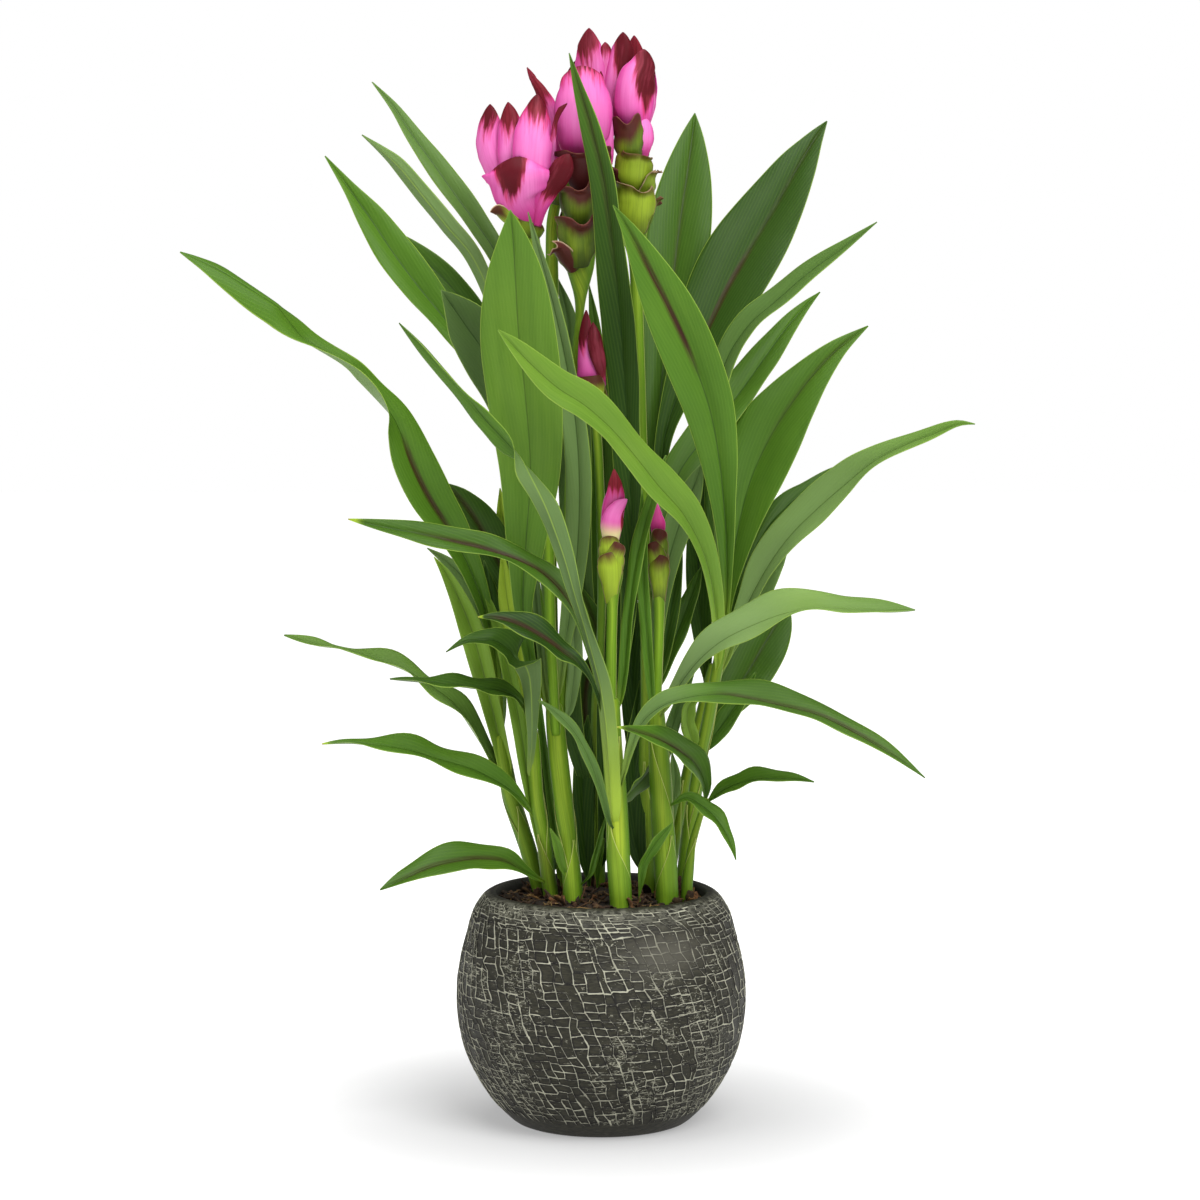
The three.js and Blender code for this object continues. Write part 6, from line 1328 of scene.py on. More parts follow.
@dataclass(frozen=True)
class Foliage:
    """All leaves, each a thin folded sheet with a groove, veins and a wavy rim."""

    thickness: float = 0.62
    rim_thickness: float = 0.26
    step: float = 3.2
    stations: tuple[int, int] = (24, 150)
    column: float = 1.2
    half_columns: tuple[int, int] = (4, 11)
    vein_pitch: float = 4.8
    vein_height: float = 0.03
    groove: float = 0.32
    groove_width: float = 0.55
    folded_over: tuple[float, float] = (0.05, 0.4)
    crease: float = 1.5
    soft_crease: float = 0.0025
    belly: float = 0.07
    wave_turns: float = 19.0
    wave_lag: float = 2.1
    flutter: float = 0.55
    full_flutter: float = 8.0
    sink_within: float = 5.0
    sink_length: float = 14.0
    foot_width: float = 0.2
    taper: float = 20.0
    least_half: float = 0.12
    young_foot: float = 0.28
    shaded_foot: float = 0.3
    foot_end: float = 0.2
    apart: float = 137.0

    def _spine(self, rows: Array) -> tuple[Array, Array]:
        """Even places along a leaf whose foot is drawn into its stem.

        Args:
            rows: Control rows of the leaf.

        Returns:
            The places along the spline, and the row at each place.
        """
        even = np.linspace(0, 1, 60)
        reach = travelled(spline(rows, even))
        stations = int(np.clip(reach[-1] / self.step, *self.stations))
        t = np.interp(np.linspace(0, reach[-1], stations), reach, even)
        t[-1] = 1.0
        row = spline(rows, t)
        seat, gap = nearest_axis(row[0, :3])
        if gap < self.sink_within:
            drawn = 1 - smoothstep(travelled(row), 0.0, self.sink_length)
            row[:, :3] += (seat - row[0, :3]) * drawn[:, None]
        return t, row

    def build(self, leaf: Leaf, own: bool, seed: int, surface: Surface) -> None:
        """Adds one leaf to a surface.

        Args:
            leaf: Its shape and colours.
            own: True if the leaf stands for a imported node.
            seed: Number that its small unevenness starts from.
            surface: Where the leaf goes.
        """
        rows = np.array(leaf.rows, float)
        t, row = self._spine(rows)
        side, face = frames(rows, t, row[:, 4])
        gone = travelled(spline(rows, t))
        half = row[:, 3] * (self.foot_width + (1 - self.foot_width) * smoothstep(gone, 0.0, self.taper))
        half = np.maximum(half, self.least_half)[:, None]
        columns = 2 * int(np.clip(half.max() / self.column, *self.half_columns)) + 1
        v = np.linspace(-1, 1, columns)
        size = np.abs(v)
        fold = leaf.folds[0] + (leaf.folds[1] - leaf.folds[0]) * smoothstep(t, *self.folded_over)
        if leaf.fold_line:
            fold = along_curve(leaf.fold_line, t)
        fold = np.radians(fold)[:, None]
        across = v * half
        rise = (np.sqrt(size**2 + self.soft_crease) - 1) * (half * np.sin(fold * self.crease))
        rise = rise + half * self.belly * np.sin(np.pi * size)
        bell = np.sin(np.pi * t)[:, None]
        phase = self.wave_turns * t[:, None] + np.where(v > 0, self.wave_lag, 0.0)
        rise = rise + leaf.wave * (v * size) * bell * np.sin(phase)
        lift = uneven(gone, 0.045, (seed, seed * 0.7), 9.0, v > 0)
        rise = rise + self.flutter * bell * lift * size**2 * np.minimum(half, self.full_flutter) * 0.25
        width = np.minimum(half / 5, 1)
        rise = rise + self.vein_height * width * np.cos(TURN * across / self.vein_pitch)
        rise = rise - self.groove * width * np.exp(-((across / self.groove_width) ** 2))
        middle = row[:, None, :3] + side[:, None] * (across * np.cos(fold))[..., None]
        middle = middle + face[:, None] * rise[..., None]
        thick = self.rim_thickness + (self.thickness - self.rim_thickness) * (1 - size**3)
        thick = thick * np.clip(half / 2.5, 0.35, 1)
        foot = 1 - smoothstep(t, 0.0, self.foot_end)
        maroon, dry, grey, shade = (along_curve(c, t) for c in (leaf.maroon, leaf.dry, leaf.grey, leaf.shade))
        # Own leaves get a young lime foot; the extra leaves get painted shade at the foot, deep in the clump.
        if own:
            dry = dry + self.young_foot * foot
        else:
            shade = shade - self.shaded_foot * foot
        tint = np.stack([maroon, dry, grey, 0.5 + 0.5 * np.clip(shade, -1, 1)], -1)[:, None]
        gone = gone[:, None]
        values = blade_values(gone + self.apart * seed, across, gone / gone[-1], size, half, tint)
        add_sheet(surface, middle, np.broadcast_to(face[:, None], middle.shape), thick, values)

    def dress(self, material: Material) -> int:
        """Builds every leaf as its own piece.

        Args:
            material: The leaf material.

        Returns:
            How many leaves there are.
        """
        for seed, (name, leaf) in enumerate(LEAVES.items()):
            surface = Surface()
            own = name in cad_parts
            self.build(leaf, own, seed, surface)
            attach(surface.build(f"{name}_blade", [material]), Slot.LEAF, *([name] if own else []))
        return len(LEAVES)


# Stems


STEMS: dict[str, Rows] = {
    "stem_left": ((-31.3, 14, 113, 3.3), (-35.2, 15, 129.7, 3.6), (-43.4, 14, 156.8, 4.4),
        (-50, 12, 178.3, 4.9), (-53.8, 10, 197.6, 4.7), (-56.5, 9, 211, 3.8)),
    "stem_left_front": ((-26.5, -5, 114.1, 3.5), (-28.2, -5, 129.7, 3.5), (-31.9, -7, 158.9, 3.8),
        (-35.2, -9, 179.1, 4.1), (-36.8, -10, 201.3, 4.1), (-37.8, -11, 215.2, 3.8)),
    "stem_centre_left": ((-14.9, -18, 113.1, 4.6), (-15.4, -18, 127.5, 4.9), (-18.1, -15, 157.9, 5.1),
        (-21.4, -11, 184.9, 5.7), (-24.2, -6, 209, 5.7), (-25.9, -2, 229, 4.9)),
    "stem_front": ((11.3, -36, 112, 5.1), (10.7, -36, 127.3, 5.4), (9.1, -37, 155.8, 6.2),
        (7.4, -38, 188.6, 6.1), (5.8, -38, 215.8, 5.6), (5.3, -38, 236.3, 4.8)),
    "stem_right_front": ((36.5, -20, 114.6, 5.4), (35.9, -20, 127.8, 5.7), (34.2, -20, 158.7, 6.2),
        (32.5, -21, 191.8, 6.2), (30.3, -22, 219.2, 5.4), (29.2, -23, 235.7, 4.3)),
    "stem_right": ((45, 18, 114.5, 3.9), (46.2, 19, 127.9, 3.9), (49.9, 17, 164.2, 3.9),
        (54.1, 12, 195.6, 3.6), (58.9, 6, 221.4, 3.6), (63.5, 0, 249.7, 3.3), (66.2, -2, 266.4, 2.7)),
    "stem_right_back": ((26, 12, 111.6, 4.4), (25.4, 12, 125.7, 4.4), (24.9, 13, 164.8, 4.7),
        (24.8, 12, 198.4, 4.4), (25.3, 10, 232, 3.8), (24.7, 8, 260, 3.3)),
    "stem_back": ((-2.9, 34, 116.3, 4.4), (-2.4, 34, 129.9, 4.4), (-2.4, 33, 167.4, 4.4),
        (-2.3, 32, 201.4, 4.2), (-1.8, 30, 229.8, 3.9), (-0.7, 28, 258, 3.3)),
    "stem_right_far": ((34.7, 29, 114.3, 3.3), (36.9, 30, 127.2, 3.6), (42.5, 33, 159, 3.6),
        (49.2, 34, 192.7, 3.3), (56.3, 31, 224.1, 3.1), (61.7, 27, 248.1, 2.5)),
    "shoot_small": ((46.5, -12, 115.9, 2.7), (47, -12, 130.9, 2.7), (49.1, -13, 152.1, 2.4),
        (53.5, -14, 168.8, 1.9), (57.2, -15, 179.9, 1.6)),
}


@dataclass(frozen=True)
class Sheath:
    """Leaf base that wraps a stem: where it ends, which way it opens and how rusty it is."""

    high: float
    opening: float
    rust: float = 0.0


SHEATHS: dict[str, Sequence[Sheath]] = {
    "stem_left": (Sheath(0.55, 250), Sheath(0.85, 70)),
    "stem_left_front": (Sheath(0.42, 300, 0.3), Sheath(0.75, 120)),
    "stem_centre_left": (Sheath(0.4, 240), Sheath(0.78, 80)),
    "stem_front": (Sheath(0.5, 300), Sheath(0.82, 230)),
    "stem_right_front": (Sheath(0.42, 235), Sheath(0.8, 310)),
    "stem_right": (Sheath(0.38, 310), Sheath(0.72, 140)),
    "stem_right_back": (Sheath(0.6, 280),),
    "stem_back": (Sheath(0.6, 100),),
    "stem_right_far": (Sheath(0.55, 290),),
    "shoot_small": (Sheath(0.6, 250),),
}


def rounded(rows: Array) -> Array:
    """Control rows with one more of a small radius, so that the tube ends rounded."""
    tip, radius = rows[-1, :3], rows[-1, 3]
    return np.vstack([rows, [*(tip + unit(tip - rows[-2, :3]) * radius * 0.5), radius * 0.35]])


@dataclass(frozen=True)
class Shoots:
    """The stems that stand in the soil, wrapped in the bases of their leaves."""

    sides: int = 28
    ring_step: float = 2.5
    sheath_thickness: float = 0.5
    sheath_stations: int = 40
    sheath_columns: int = 30
    sheath_lift: float = 0.35
    wrapped: tuple[float, float] = (0.96, 0.93)
    mouth_lift: float = 0.9
    dirty_foot: float = 16.0
    pale: float = 0.1
    slim: float = 0.93
    ribs: float = 0.012
    # Painted light: how much lighter the front and back of a stem are than its sides; lit sets it for some
    # stems.
    glow: float = 0.45
    lit: tuple[tuple[str, float], ...] = (("stem_front", 0.85), ("stem_centre_left", 0.7))
    # TINT of the stem tubes: rust, pale, glow and painted shade.
    skin: tuple[float, float, float, float] = (0.0, 0.1, 0.05, 0.42)
    apart: float = 61.0

    def add_wrap(
        self, surface: Surface, rows: Array, wrap: Sheath, lift: float, seed: int, glow: float
    ) -> None:
        """Adds one sheath with a slanting mouth.

        Args:
            surface: Where the sheath goes.
            rows: Control rows of the stem.
            wrap: The sheath.
            lift: How far the sheath stands off the stem, in millimetres.
            seed: Number that its unevenness starts from.
            glow: Painted light: how much lighter its front and back are than its sides.
        """
        fade = np.linspace(0, 1, self.sheath_stations)
        t = wrap.high * fade
        row = spline(rows, t)
        side, face = frames(rows, t)
        gone = travelled(row)[:, None]
        v = np.linspace(-1, 1, self.sheath_columns)[::-1]
        size = np.abs(v)
        span = np.pi * (self.wrapped[0] - self.wrapped[1] * smoothstep(fade, 0.25, 1.0))[:, None]
        angle = (np.radians(wrap.opening) + np.pi + v * span)[..., None]
        out = side[:, None] * np.cos(angle) + face[:, None] * np.sin(angle)
        radius = (row[:, 3] + lift + self.mouth_lift * smoothstep(fade, 0.7, 1.0))[:, None]
        middle = row[:, None, :3] + out * radius[..., None]
        rust = wrap.rust * smoothstep(fade, 0.1, 0.9)[:, None]
        rust = rust + 0.5 * (1 - smoothstep(gone, 0.0, self.dirty_foot)) * size**2
        # Painted shade darkens the sheath towards its mouth, most along its middle; the glow is painted
        # light.
        shade = 0.5 - 0.25 * smoothstep(fade, 0.55, 1.0)[:, None] * (1 - size)
        tint = np.stack([rust, np.full_like(rust, self.pale), glow * out[..., 1] ** 4, shade], -1)
        thick = self.sheath_thickness * (1 - 0.6 * size**4) * np.ones_like(rust)
        wide = span * radius
        values = blade_values(gone + self.apart * seed, v * wide, t[:, None], size, wide, tint)
        add_sheet(surface, middle, out, thick, values)

    def dress(self, material: Material) -> int:
        """Builds every stem as its own piece.

        Args:
            material: The stem material.

        Returns:
            How many stems there are.
        """
        for seed, (name, rows) in enumerate(STEMS.items()):
            control = np.array(rows, float)
            rings = int(travelled(control)[-1] / self.ring_step)
            control[:, 3] *= self.slim
            glow = dict(self.lit).get(name, self.glow)
            surface = Surface()
            add_tube(surface, rounded(control), self.sides, rings, self.skin, ribs=self.ribs, glow=glow)
            wraps = SHEATHS[name]
            for k, wrap in enumerate(wraps):
                lift = 0.05 + self.sheath_lift * (len(wraps) - k)
                self.add_wrap(surface, control, wrap, lift, seed * 5 + k, glow)
            attach(surface.build(f"{name}_shoot", [material]), Slot.STEM, name)
        return len(STEMS)


# Flower heads


@dataclass(frozen=True)
class Bract:
    """One bract.

    Rows are x, y, z, half width and turn. The cup is half the angle that it wraps, in degrees. The stain
    is its reach down from the tip, and aim and spread are its middle and width across the bract.
    """

    cup: float
    rows: Rows
    stain: float = 0.0
    aim: float = 0.0
    spread: float = 1.0
    tone: float = 0.0
    wine: float = 0.0
    # Painted shade below 0; the green bracts are also painted lit above 0.
    shade: float = 0.0
    flare: float = 0.0
    lip: float = 0.0
    blunt: float = 0.0
    wave: float = 0.4
    round: float = 0.0


@dataclass(frozen=True)
class Head:
    """One flower head: its stalk, its core, its green and its pink bracts."""

    stalk: Rows
    core: Rows
    green: Sequence[Bract]
    pink: Sequence[Bract]
    single: bool = False


pocket = partial(Bract, blunt=1.0, lip=2.2, wave=1.6)
bud_scale = partial(Bract, round=1.0, wave=0.3, tone=0.25)

HEADS: dict[str, Head] = {
    "bloom_left": Head(
        stalk=((-24.7, -8, 214.8, 2.7), (-27.9, -9, 278.1, 3), (-29, -6, 359.7, 3), (-31.1, -2, 435.7, 3),
            (-36, 3, 479.1, 3.3), (-37.7, 5, 492.7, 4.4), (-41.4, 5, 511.6, 4.4)),
        core=((-38.2, 5, 494.3, 4.4), (-42, 6, 511.6, 6.6), (-45.2, 6, 525.1, 6.6), (-46.9, 6, 535.9, 3.3)),
        green=(
            Bract(45, ((-37.6, 0, 486.6, 3.3, 0), (-40.7, -4, 490.8, 4.9, 10), (-43.9, -6, 493.9, 3.8, 10),
                (-47.1, -8, 495.5, 0.5, 10)), stain=0.3, wave=0.6),
            Bract(45, ((-39.7, -2, 488.7, 2.7, 25), (-46.6, -6, 492.9, 4.4, 30), (-52, -9, 497.1, 4.3, 32),
                (-55.7, -11, 499.7, 3.3, 34), (-59.9, -12, 499.1, 0.4, 35)), stain=0.42, tone=0.9,
                shade=0.8, wave=1),
            Bract(45, ((-36.5, 2, 484.5, 2.7, -20), (-34.3, -1, 489.2, 3.8, -25),
                (-32.6, -3, 493, 0.5, -25)), stain=0.3, wave=0.6),
        ),
        pink=(
            Bract(52, ((-37, 0, 490.3, 2.2, 0), (-40.6, -8, 497.6, 7.6, 0), (-43.7, -14, 504.9, 13.3, 0),
                (-44.1, -18, 511.7, 17.3, 0), (-44.3, -20, 517.5, 19.7, 0), (-44.6, -20, 522.8, 14.6, 0),
                (-44.9, -17, 528.5, 0.4, 0)), stain=0.5, aim=-0.22, spread=0.46, shade=0.1, flare=0.8,
                wave=0.3, round=0.7),
            Bract(50, ((-42, 4, 497.5, 2.7, 20), (-51.6, 0, 511.4, 6.6, 26), (-59.6, -3, 524.7, 7.6, 30),
                (-62.8, -4, 537, 8.1, 30), (-61.4, -4, 549.3, 6, 30), (-60.1, -3, 557.4, 0.4, 30)),
                stain=0.2, spread=0.9),
            Bract(50, ((-40.9, 2, 498, 2.7, 5), (-45.5, -6, 512.2, 6, 5), (-48.6, -10, 527, 7.3, 5),
                (-48.8, -11.5, 538.7, 7.3, 5), (-49.3, -11, 548.9, 5.4, 5), (-50.2, -9, 558.1, 0.4, 5)),
                stain=0.24, spread=1.1, wine=0.4),
            Bract(50, ((-36.4, -3, 494.6, 3.3, -8), (-36.2, -12, 510.9, 8.7, -8),
                (-36.6, -16, 526.7, 10.6, -8), (-35.9, -17, 538.4, 10.7, -8), (-35, -15, 549.2, 8.4, -8),
                (-34.5, -11, 562.2, 0.4, -8)), stain=0.2, aim=0.1, spread=1.1),
            Bract(40, ((-32.7, 2, 498, 2.7, -40), (-28.9, 0, 513, 3.8, -40), (-26.6, -6, 528.8, 3.3, -40),
                (-25.4, -13, 539.2, 1.8, -35), (-24.5, -17, 546.4, 1.4, -20), (-22.1, -18, 552.7, 1.4, -10),
                (-18.3, -17, 556.8, 0.4, 0)), stain=0.3, spread=3),
            Bract(42, ((-34.8, -3, 491.9, 2.2, 0), (-32.5, -8, 501.4, 3.5, 0), (-28.1, -12, 510.9, 5.2, 0),
                (-23.2, -16, 518.2, 6.2, 0), (-20, -18, 524, 5.4, 0), (-17.3, -17, 529.9, 0.4, 0)),
                stain=0.62, spread=2.5, shade=-0.3, round=0.2),
            Bract(50, ((-39.9, 9, 497.7, 3.3, 170), (-47.8, 20, 515.5, 8.3, 170),
                (-52.2, 23, 530.3, 9.4, 170), (-52.7, 21, 542.7, 6.6, 170), (-52, 17, 553.9, 0.4, 170)),
                stain=0.2, shade=-0.4),
            Bract(50, ((-36.7, 9, 497.7, 3.3, 215), (-37.4, 20, 515.5, 8.3, 210),
                (-38, 23, 530.3, 9.4, 210), (-38.5, 21, 542.7, 6.6, 210), (-38.9, 17, 555.5, 0.4, 210)),
                stain=0.2, shade=-0.4),
        ),
    ),
    "bloom_middle": Head(
        stalk=((-22.6, 0, 213.8, 2.5), (-19.4, 12, 276.2, 2.5), (-17.7, 15, 353.3, 2.5),
            (-13.8, 12, 419.3, 2.5), (-11.6, 9, 449.3, 2.7), (-11.6, 8, 470.5, 7.7), (-12.1, 8, 487.3, 9),
            (-11.6, 8, 509, 8.8), (-10.4, 8, 533.3, 5.5)),
        core=((-10.5, 8, 526.8, 5.5), (-9.9, 8, 538.7, 7.1), (-9.4, 8, 554.9, 6.6), (-8.8, 8, 568.4, 3.3)),
        green=(
            pocket(50, ((-14.8, 1, 467.1, 3.3, 20), (-19.1, -5, 473.5, 5.4, 30),
                (-22.8, -9, 478.8, 4.3, 30), (-27.6, -11, 479.8, 0.4, 30)), stain=1.1, tone=0.5, lip=1.2,
                wave=1),
            pocket(55, ((-11.5, -2, 469.2, 5.5, 0), (-12, -8, 478.8, 9.2, 0), (-12.5, -10, 486.3, 10.9, 0),
                (-12.5, -12, 491.6, 10.6, 0), (-13, -13, 497.5, 9.2, 0)), stain=0.3, shade=-0.25, flare=1),
            pocket(55, ((-11, -2, 489.7, 5.5, 0), (-11.5, -8, 498.7, 9.2, 0), (-11.4, -11, 505.6, 10.6, 0),
                (-11.4, -12, 510.4, 10, 0), (-12.5, -13, 514.6, 8.7, 0)), stain=0.42, shade=-0.4,
                flare=0.8),
            pocket(55, ((-9.9, -2, 509.1, 5.5, 0), (-9.8, -8, 518.6, 10.9, 0), (-9.3, -12, 525.3, 13.6, 0),
                (-9.3, -13, 529.6, 14.6, 0), (-9.8, -13, 533.6, 13.6, 0)), stain=1.3, spread=3, wine=0.5,
                shade=-1, flare=0.8),
            pocket(50, ((-8.3, 8, 472.7, 4.9, -70), (-4.5, 6, 481.9, 7.7, -70), (-2.8, 4, 489.9, 6.6, -70),
                (-1.2, 2, 495.8, 0.5, -70)), stain=0.3, shade=-0.4),
            pocket(50, ((-8.3, 8, 498.2, 4.9, -70), (-3.4, 6, 508.9, 7.7, -70), (-0.7, 4, 518, 6.6, -70),
                (2.6, 2, 524.9, 0.5, -70)), stain=0.4, shade=-0.5),
            pocket(50, ((-12.7, 15, 479.3, 5.5, 180), (-13.3, 23, 490.5, 10, 180),
                (-13.3, 24, 500.3, 8.3, 180), (-13.3, 27, 505.9, 0.6, 180)), stain=0.15),
            pocket(50, ((-11.1, 15, 501.1, 5.5, 200), (-10.5, 23, 512.3, 10, 200),
                (-10, 24, 523.3, 8.3, 200), (-10, 28, 530, 0.6, 200)), stain=0.15),
            pocket(50, ((-14.9, 14, 490.2, 5, 110), (-20.9, 15, 501.1, 8.3, 110),
                (-22.5, 15, 512, 7.2, 110), (-24.7, 15, 518.5, 0.6, 110)), stain=0.3, shade=-0.3),
            pocket(50, ((-6.1, 10, 514.5, 4.9, -100), (-0.1, 11, 525.4, 8.2, -100),
                (2.1, 11, 533.5, 7.1, -100), (4.8, 11, 538.9, 0.5, -100)), stain=0.8, shade=-0.5),
        ),
        pink=(
            Bract(55, ((-9.3, 4, 526.6, 10.9, 0), (-9.8, -5, 534.3, 13.6, 0), (-9.8, -11, 545.7, 15.5, 0),
                (-9.8, -12, 557.9, 15.5, 0), (-10.3, -9, 568.8, 12, 0), (-10.9, -5, 577.9, 0.4, 0)),
                stain=0.06, spread=1.4, round=1),
            Bract(50, ((1.5, 6, 517, 3.3, -40), (4.2, 3, 528.8, 4.9, -40), (3.7, 0, 543.7, 6, -40),
                (2.6, 0, 553.3, 5.7, -40), (1.5, 0, 562.4, 4.4, -40), (-0.1, 0, 575.3, 0.4, -40)),
                stain=0.12),
            Bract(50, ((-8.8, 14, 528.2, 4.4, 0), (-7.2, 15, 547.2, 8.3, 0), (-5.6, 14, 565, 9.4, 0),
                (-5.6, 12, 578.9, 8.8, 0), (-6.4, 10, 589.5, 6, 0), (-6.6, 8, 599, 0.4, 0)), stain=0.27,
                aim=-0.15, spread=0.9, wine=0.3),
            Bract(50, ((-3.9, 16, 528.3, 4.4, -20), (0.4, 17, 549, 6.6, -20), (2.1, 16, 565.2, 6.6, -20),
                (2.1, 15, 578.1, 5.5, -20), (2.6, 13, 586.5, 3.7, -20), (2.1, 12, 591.8, 0.4, -20)),
                stain=0.12, wine=0.3),
            Bract(50, ((-13.8, 14, 528.2, 4.4, 120), (-21.4, 15, 545.6, 7.2, 120),
                (-22.5, 15, 556.4, 6.6, 120), (-20.8, 14, 565, 4.4, 120), (-18.1, 13, 571.4, 0.4, 120)),
                stain=0.1),
            Bract(50, ((-12.7, 16, 528.3, 4.4, 170), (-15.5, 26, 547.9, 8.3, 170),
                (-16, 28, 562.7, 8.3, 170), (-14.9, 26, 573.5, 5.5, 170), (-13.8, 22, 582.9, 0.4, 170)),
                stain=0.25),
            Bract(50, ((-7.2, 16, 528.3, 4.4, 215), (-2.9, 25, 546.2, 7.7, 215),
                (-0.7, 26, 559.9, 7.8, 215), (-0.7, 24, 570.6, 5, 215), (-1.8, 21, 579.6, 0.4, 215)),
                stain=0.25),
        ),
    ),
    "bloom_right": Head(
        stalk=((24.7, 9, 243.3, 2.5), (23.6, 10, 309.5, 3.3), (21.9, 13, 375.4, 3.3),
            (19.7, 17, 446.6, 3.3), (18.6, 20, 472.9, 3.6), (18, 20, 487.1, 6.6), (18.5, 20, 504, 9.4),
            (18, 20, 523.1, 8.8), (17.4, 20, 536.1, 6.1)),
        core=((17.4, 20, 529.6, 4.4), (17.4, 20, 542.1, 6.6), (17.4, 20, 558.4, 6.1),
            (17.9, 20, 571.9, 2.8)),
        green=(
            pocket(55, ((17.4, 12, 508.6, 5.5, 0), (17.3, 5, 517, 9.9, 0), (17.8, 3, 524.4, 10.4, 0),
                (18.3, 2, 528.7, 9.3, 0), (18.9, 2, 532.2, 7.7, 0)), stain=0.08, shade=0.7),
            pocket(50, ((22.8, 12, 504.3, 4.9, -50), (26.6, 9, 511.7, 5.5, -50), (28.2, 6, 518.1, 3.8, -50),
                (30.3, 3, 522.8, 0.5, -50)), stain=0.2, tone=0.5, shade=0.5, blunt=0),
            pocket(55, ((17.9, 12, 486.9, 5.5, 3), (17.9, 5, 496.4, 10.1, 3), (18.4, 3, 504.5, 11.2, 3),
                (18.4, 3, 509.9, 10.4, 3), (18.9, 2, 514.7, 8.7, 3)), stain=0.08, tone=0.3, shade=0.7),
            pocket(50, ((12.5, 13, 506.5, 4.4, 55), (8.6, 11, 514, 5.5, 55), (7, 9, 519.9, 4.4, 55),
                (5.3, 7, 524.6, 0.5, 55)), stain=0.9, shade=-0.5, blunt=0),
            pocket(55, ((15.2, 10, 522.6, 4.9, 5), (14.6, 4, 532, 7.4, 5), (14.5, 2, 540, 8.2, 5),
                (14, 1, 545.9, 8.1, 5), (12.9, 0, 551.7, 6.8, 5)), stain=0.5, aim=-0.35, spread=1.5,
                lip=0.6),
            pocket(50, ((19.2, 28, 498.8, 5.5, 190), (19.8, 36, 510.1, 10, 190), (19.8, 37, 520, 8.4, 190),
                (19.8, 40, 527.3, 0.6, 190)), stain=0.12),
            pocket(50, ((16.9, 27, 520.7, 5.5, 160), (15.9, 34, 532, 9.5, 160), (15.3, 35, 540.2, 7.8, 160),
                (15.4, 38, 547, 0.6, 160)), stain=0.12),
            pocket(50, ((14.7, 20, 484.9, 4.4, 100), (9.2, 20, 494.8, 7.7, 100), (7.6, 20, 502.9, 6.6, 100),
                (5.4, 20, 508.9, 0.6, 100)), stain=0.12),
            pocket(50, ((21.8, 20, 484.9, 4.4, -100), (27.3, 20, 494.8, 7.7, -100),
                (29.5, 20, 502.9, 6.6, -100), (31.7, 20, 508.9, 0.6, -100)), stain=0.12),
        ),
        pink=(
            Bract(50, ((13.6, 17, 538.1, 4.4, 10), (8.6, 13, 554.2, 7.7, 10), (8.6, 11, 567, 8, 10),
                (9.7, 11, 578.8, 7.1, 10), (11.3, 11, 588.5, 5.8, 10), (11.8, 11, 597.1, 0.4, 10)),
                stain=0.5, aim=0.25, spread=0.85),
            Bract(50, ((18, 26, 539.7, 4.4, 0), (18, 29, 561.7, 7.2, 0), (18.6, 28, 575.8, 6.7, 0),
                (18.5, 26, 585.4, 5.3, 0), (18, 24, 596.4, 0.4, 0)), stain=0.5, wine=0.7),
            Bract(52, ((17.9, 12, 538.9, 4.9, -5), (18.6, 5, 551.5, 9.9, -8), (18.6, 3, 562.6, 10.9, -8),
                (20.1, 3, 571.8, 10, -8), (22.7, 4, 579.4, 7.1, -8), (23.2, 5, 587.5, 0.4, -8)), stain=0.62,
                aim=0.5, spread=0.95, round=0.15),
            Bract(48, ((23.9, 11, 529.2, 2.2, -25), (23.8, 8, 533.9, 5.2, -25), (24.3, 6, 539.7, 6, -25),
                (24.3, 6, 545.6, 4.9, -25), (23.8, 8, 550.6, 0.4, -25)), round=0.6),
            Bract(50, ((15.8, 26, 538.6, 4.4, 160), (12, 35, 555.6, 7.8, 160), (10.9, 36, 569.3, 7.8, 160),
                (11.5, 33, 579.4, 5.6, 160), (12.5, 29, 588.9, 0.4, 160)), stain=0.4),
            Bract(50, ((20.2, 26, 538.6, 4.4, 210), (24.2, 34, 555.5, 7.8, 210),
                (25.8, 35, 569.2, 7.8, 210), (25.8, 32, 578.3, 5.6, 210), (24.6, 28, 586.7, 0.4, 210)),
                stain=0.4),
            Bract(50, ((21.8, 20, 538.3, 3.9, -80), (27.8, 20, 553, 6.6, -80), (29.4, 19, 563.8, 6.6, -80),
                (28.8, 18, 572.9, 4.4, -80), (27.2, 17, 581.5, 0.4, -80)), stain=0.4),
        ),
    ),
    "bloom_back": Head(
        stalk=((-24.9, 3, 220.7, 2.2), (-27.2, 17, 286.9, 3), (-29.5, 28, 374.9, 3.6),
            (-27.2, 32, 441.2, 3.6), (-27.3, 37, 490.9, 3.3), (-24.5, 40, 510.3, 5), (-24.5, 40, 529.5, 5),
            (-25.6, 40, 548.7, 2.2)),
        core=((-24.5, 40, 518.5, 4.5), (-25, 40, 535, 5), (-25.6, 40, 546, 2.2)),
        green=(
            pocket(50, ((-24.4, 34, 504.5, 3.3, 0), (-23.3, 31, 512.6, 5.6, 0), (-22.1, 29, 519.1, 3.9, 0),
                (-21, 27, 524.5, 0.6, 0)), stain=0.3),
            pocket(50, ((-24.6, 46, 505, 3.4, 180), (-25.2, 50, 513.4, 5.6, 180),
                (-25.2, 52, 520.1, 4.5, 180), (-25.2, 55, 525.8, 0.6, 180)), stain=0.3),
        ),
        pink=(
            Bract(48, ((-25, 36, 515, 2.8, 15), (-24.9, 30, 529, 4.4, 15), (-25.9, 26, 542.5, 5, 12),
                (-28.6, 24, 555.9, 4.7, 10), (-33, 23, 565.7, 3.2, 8), (-37.2, 23, 572.7, 1.8, 5),
                (-40.6, 23, 579, 0.4, 0)), stain=0.3, spread=3, wine=0.7),
            Bract(48, ((-23.4, 37, 515.1, 2.8, -40), (-19.4, 34, 530.3, 5.6, -40),
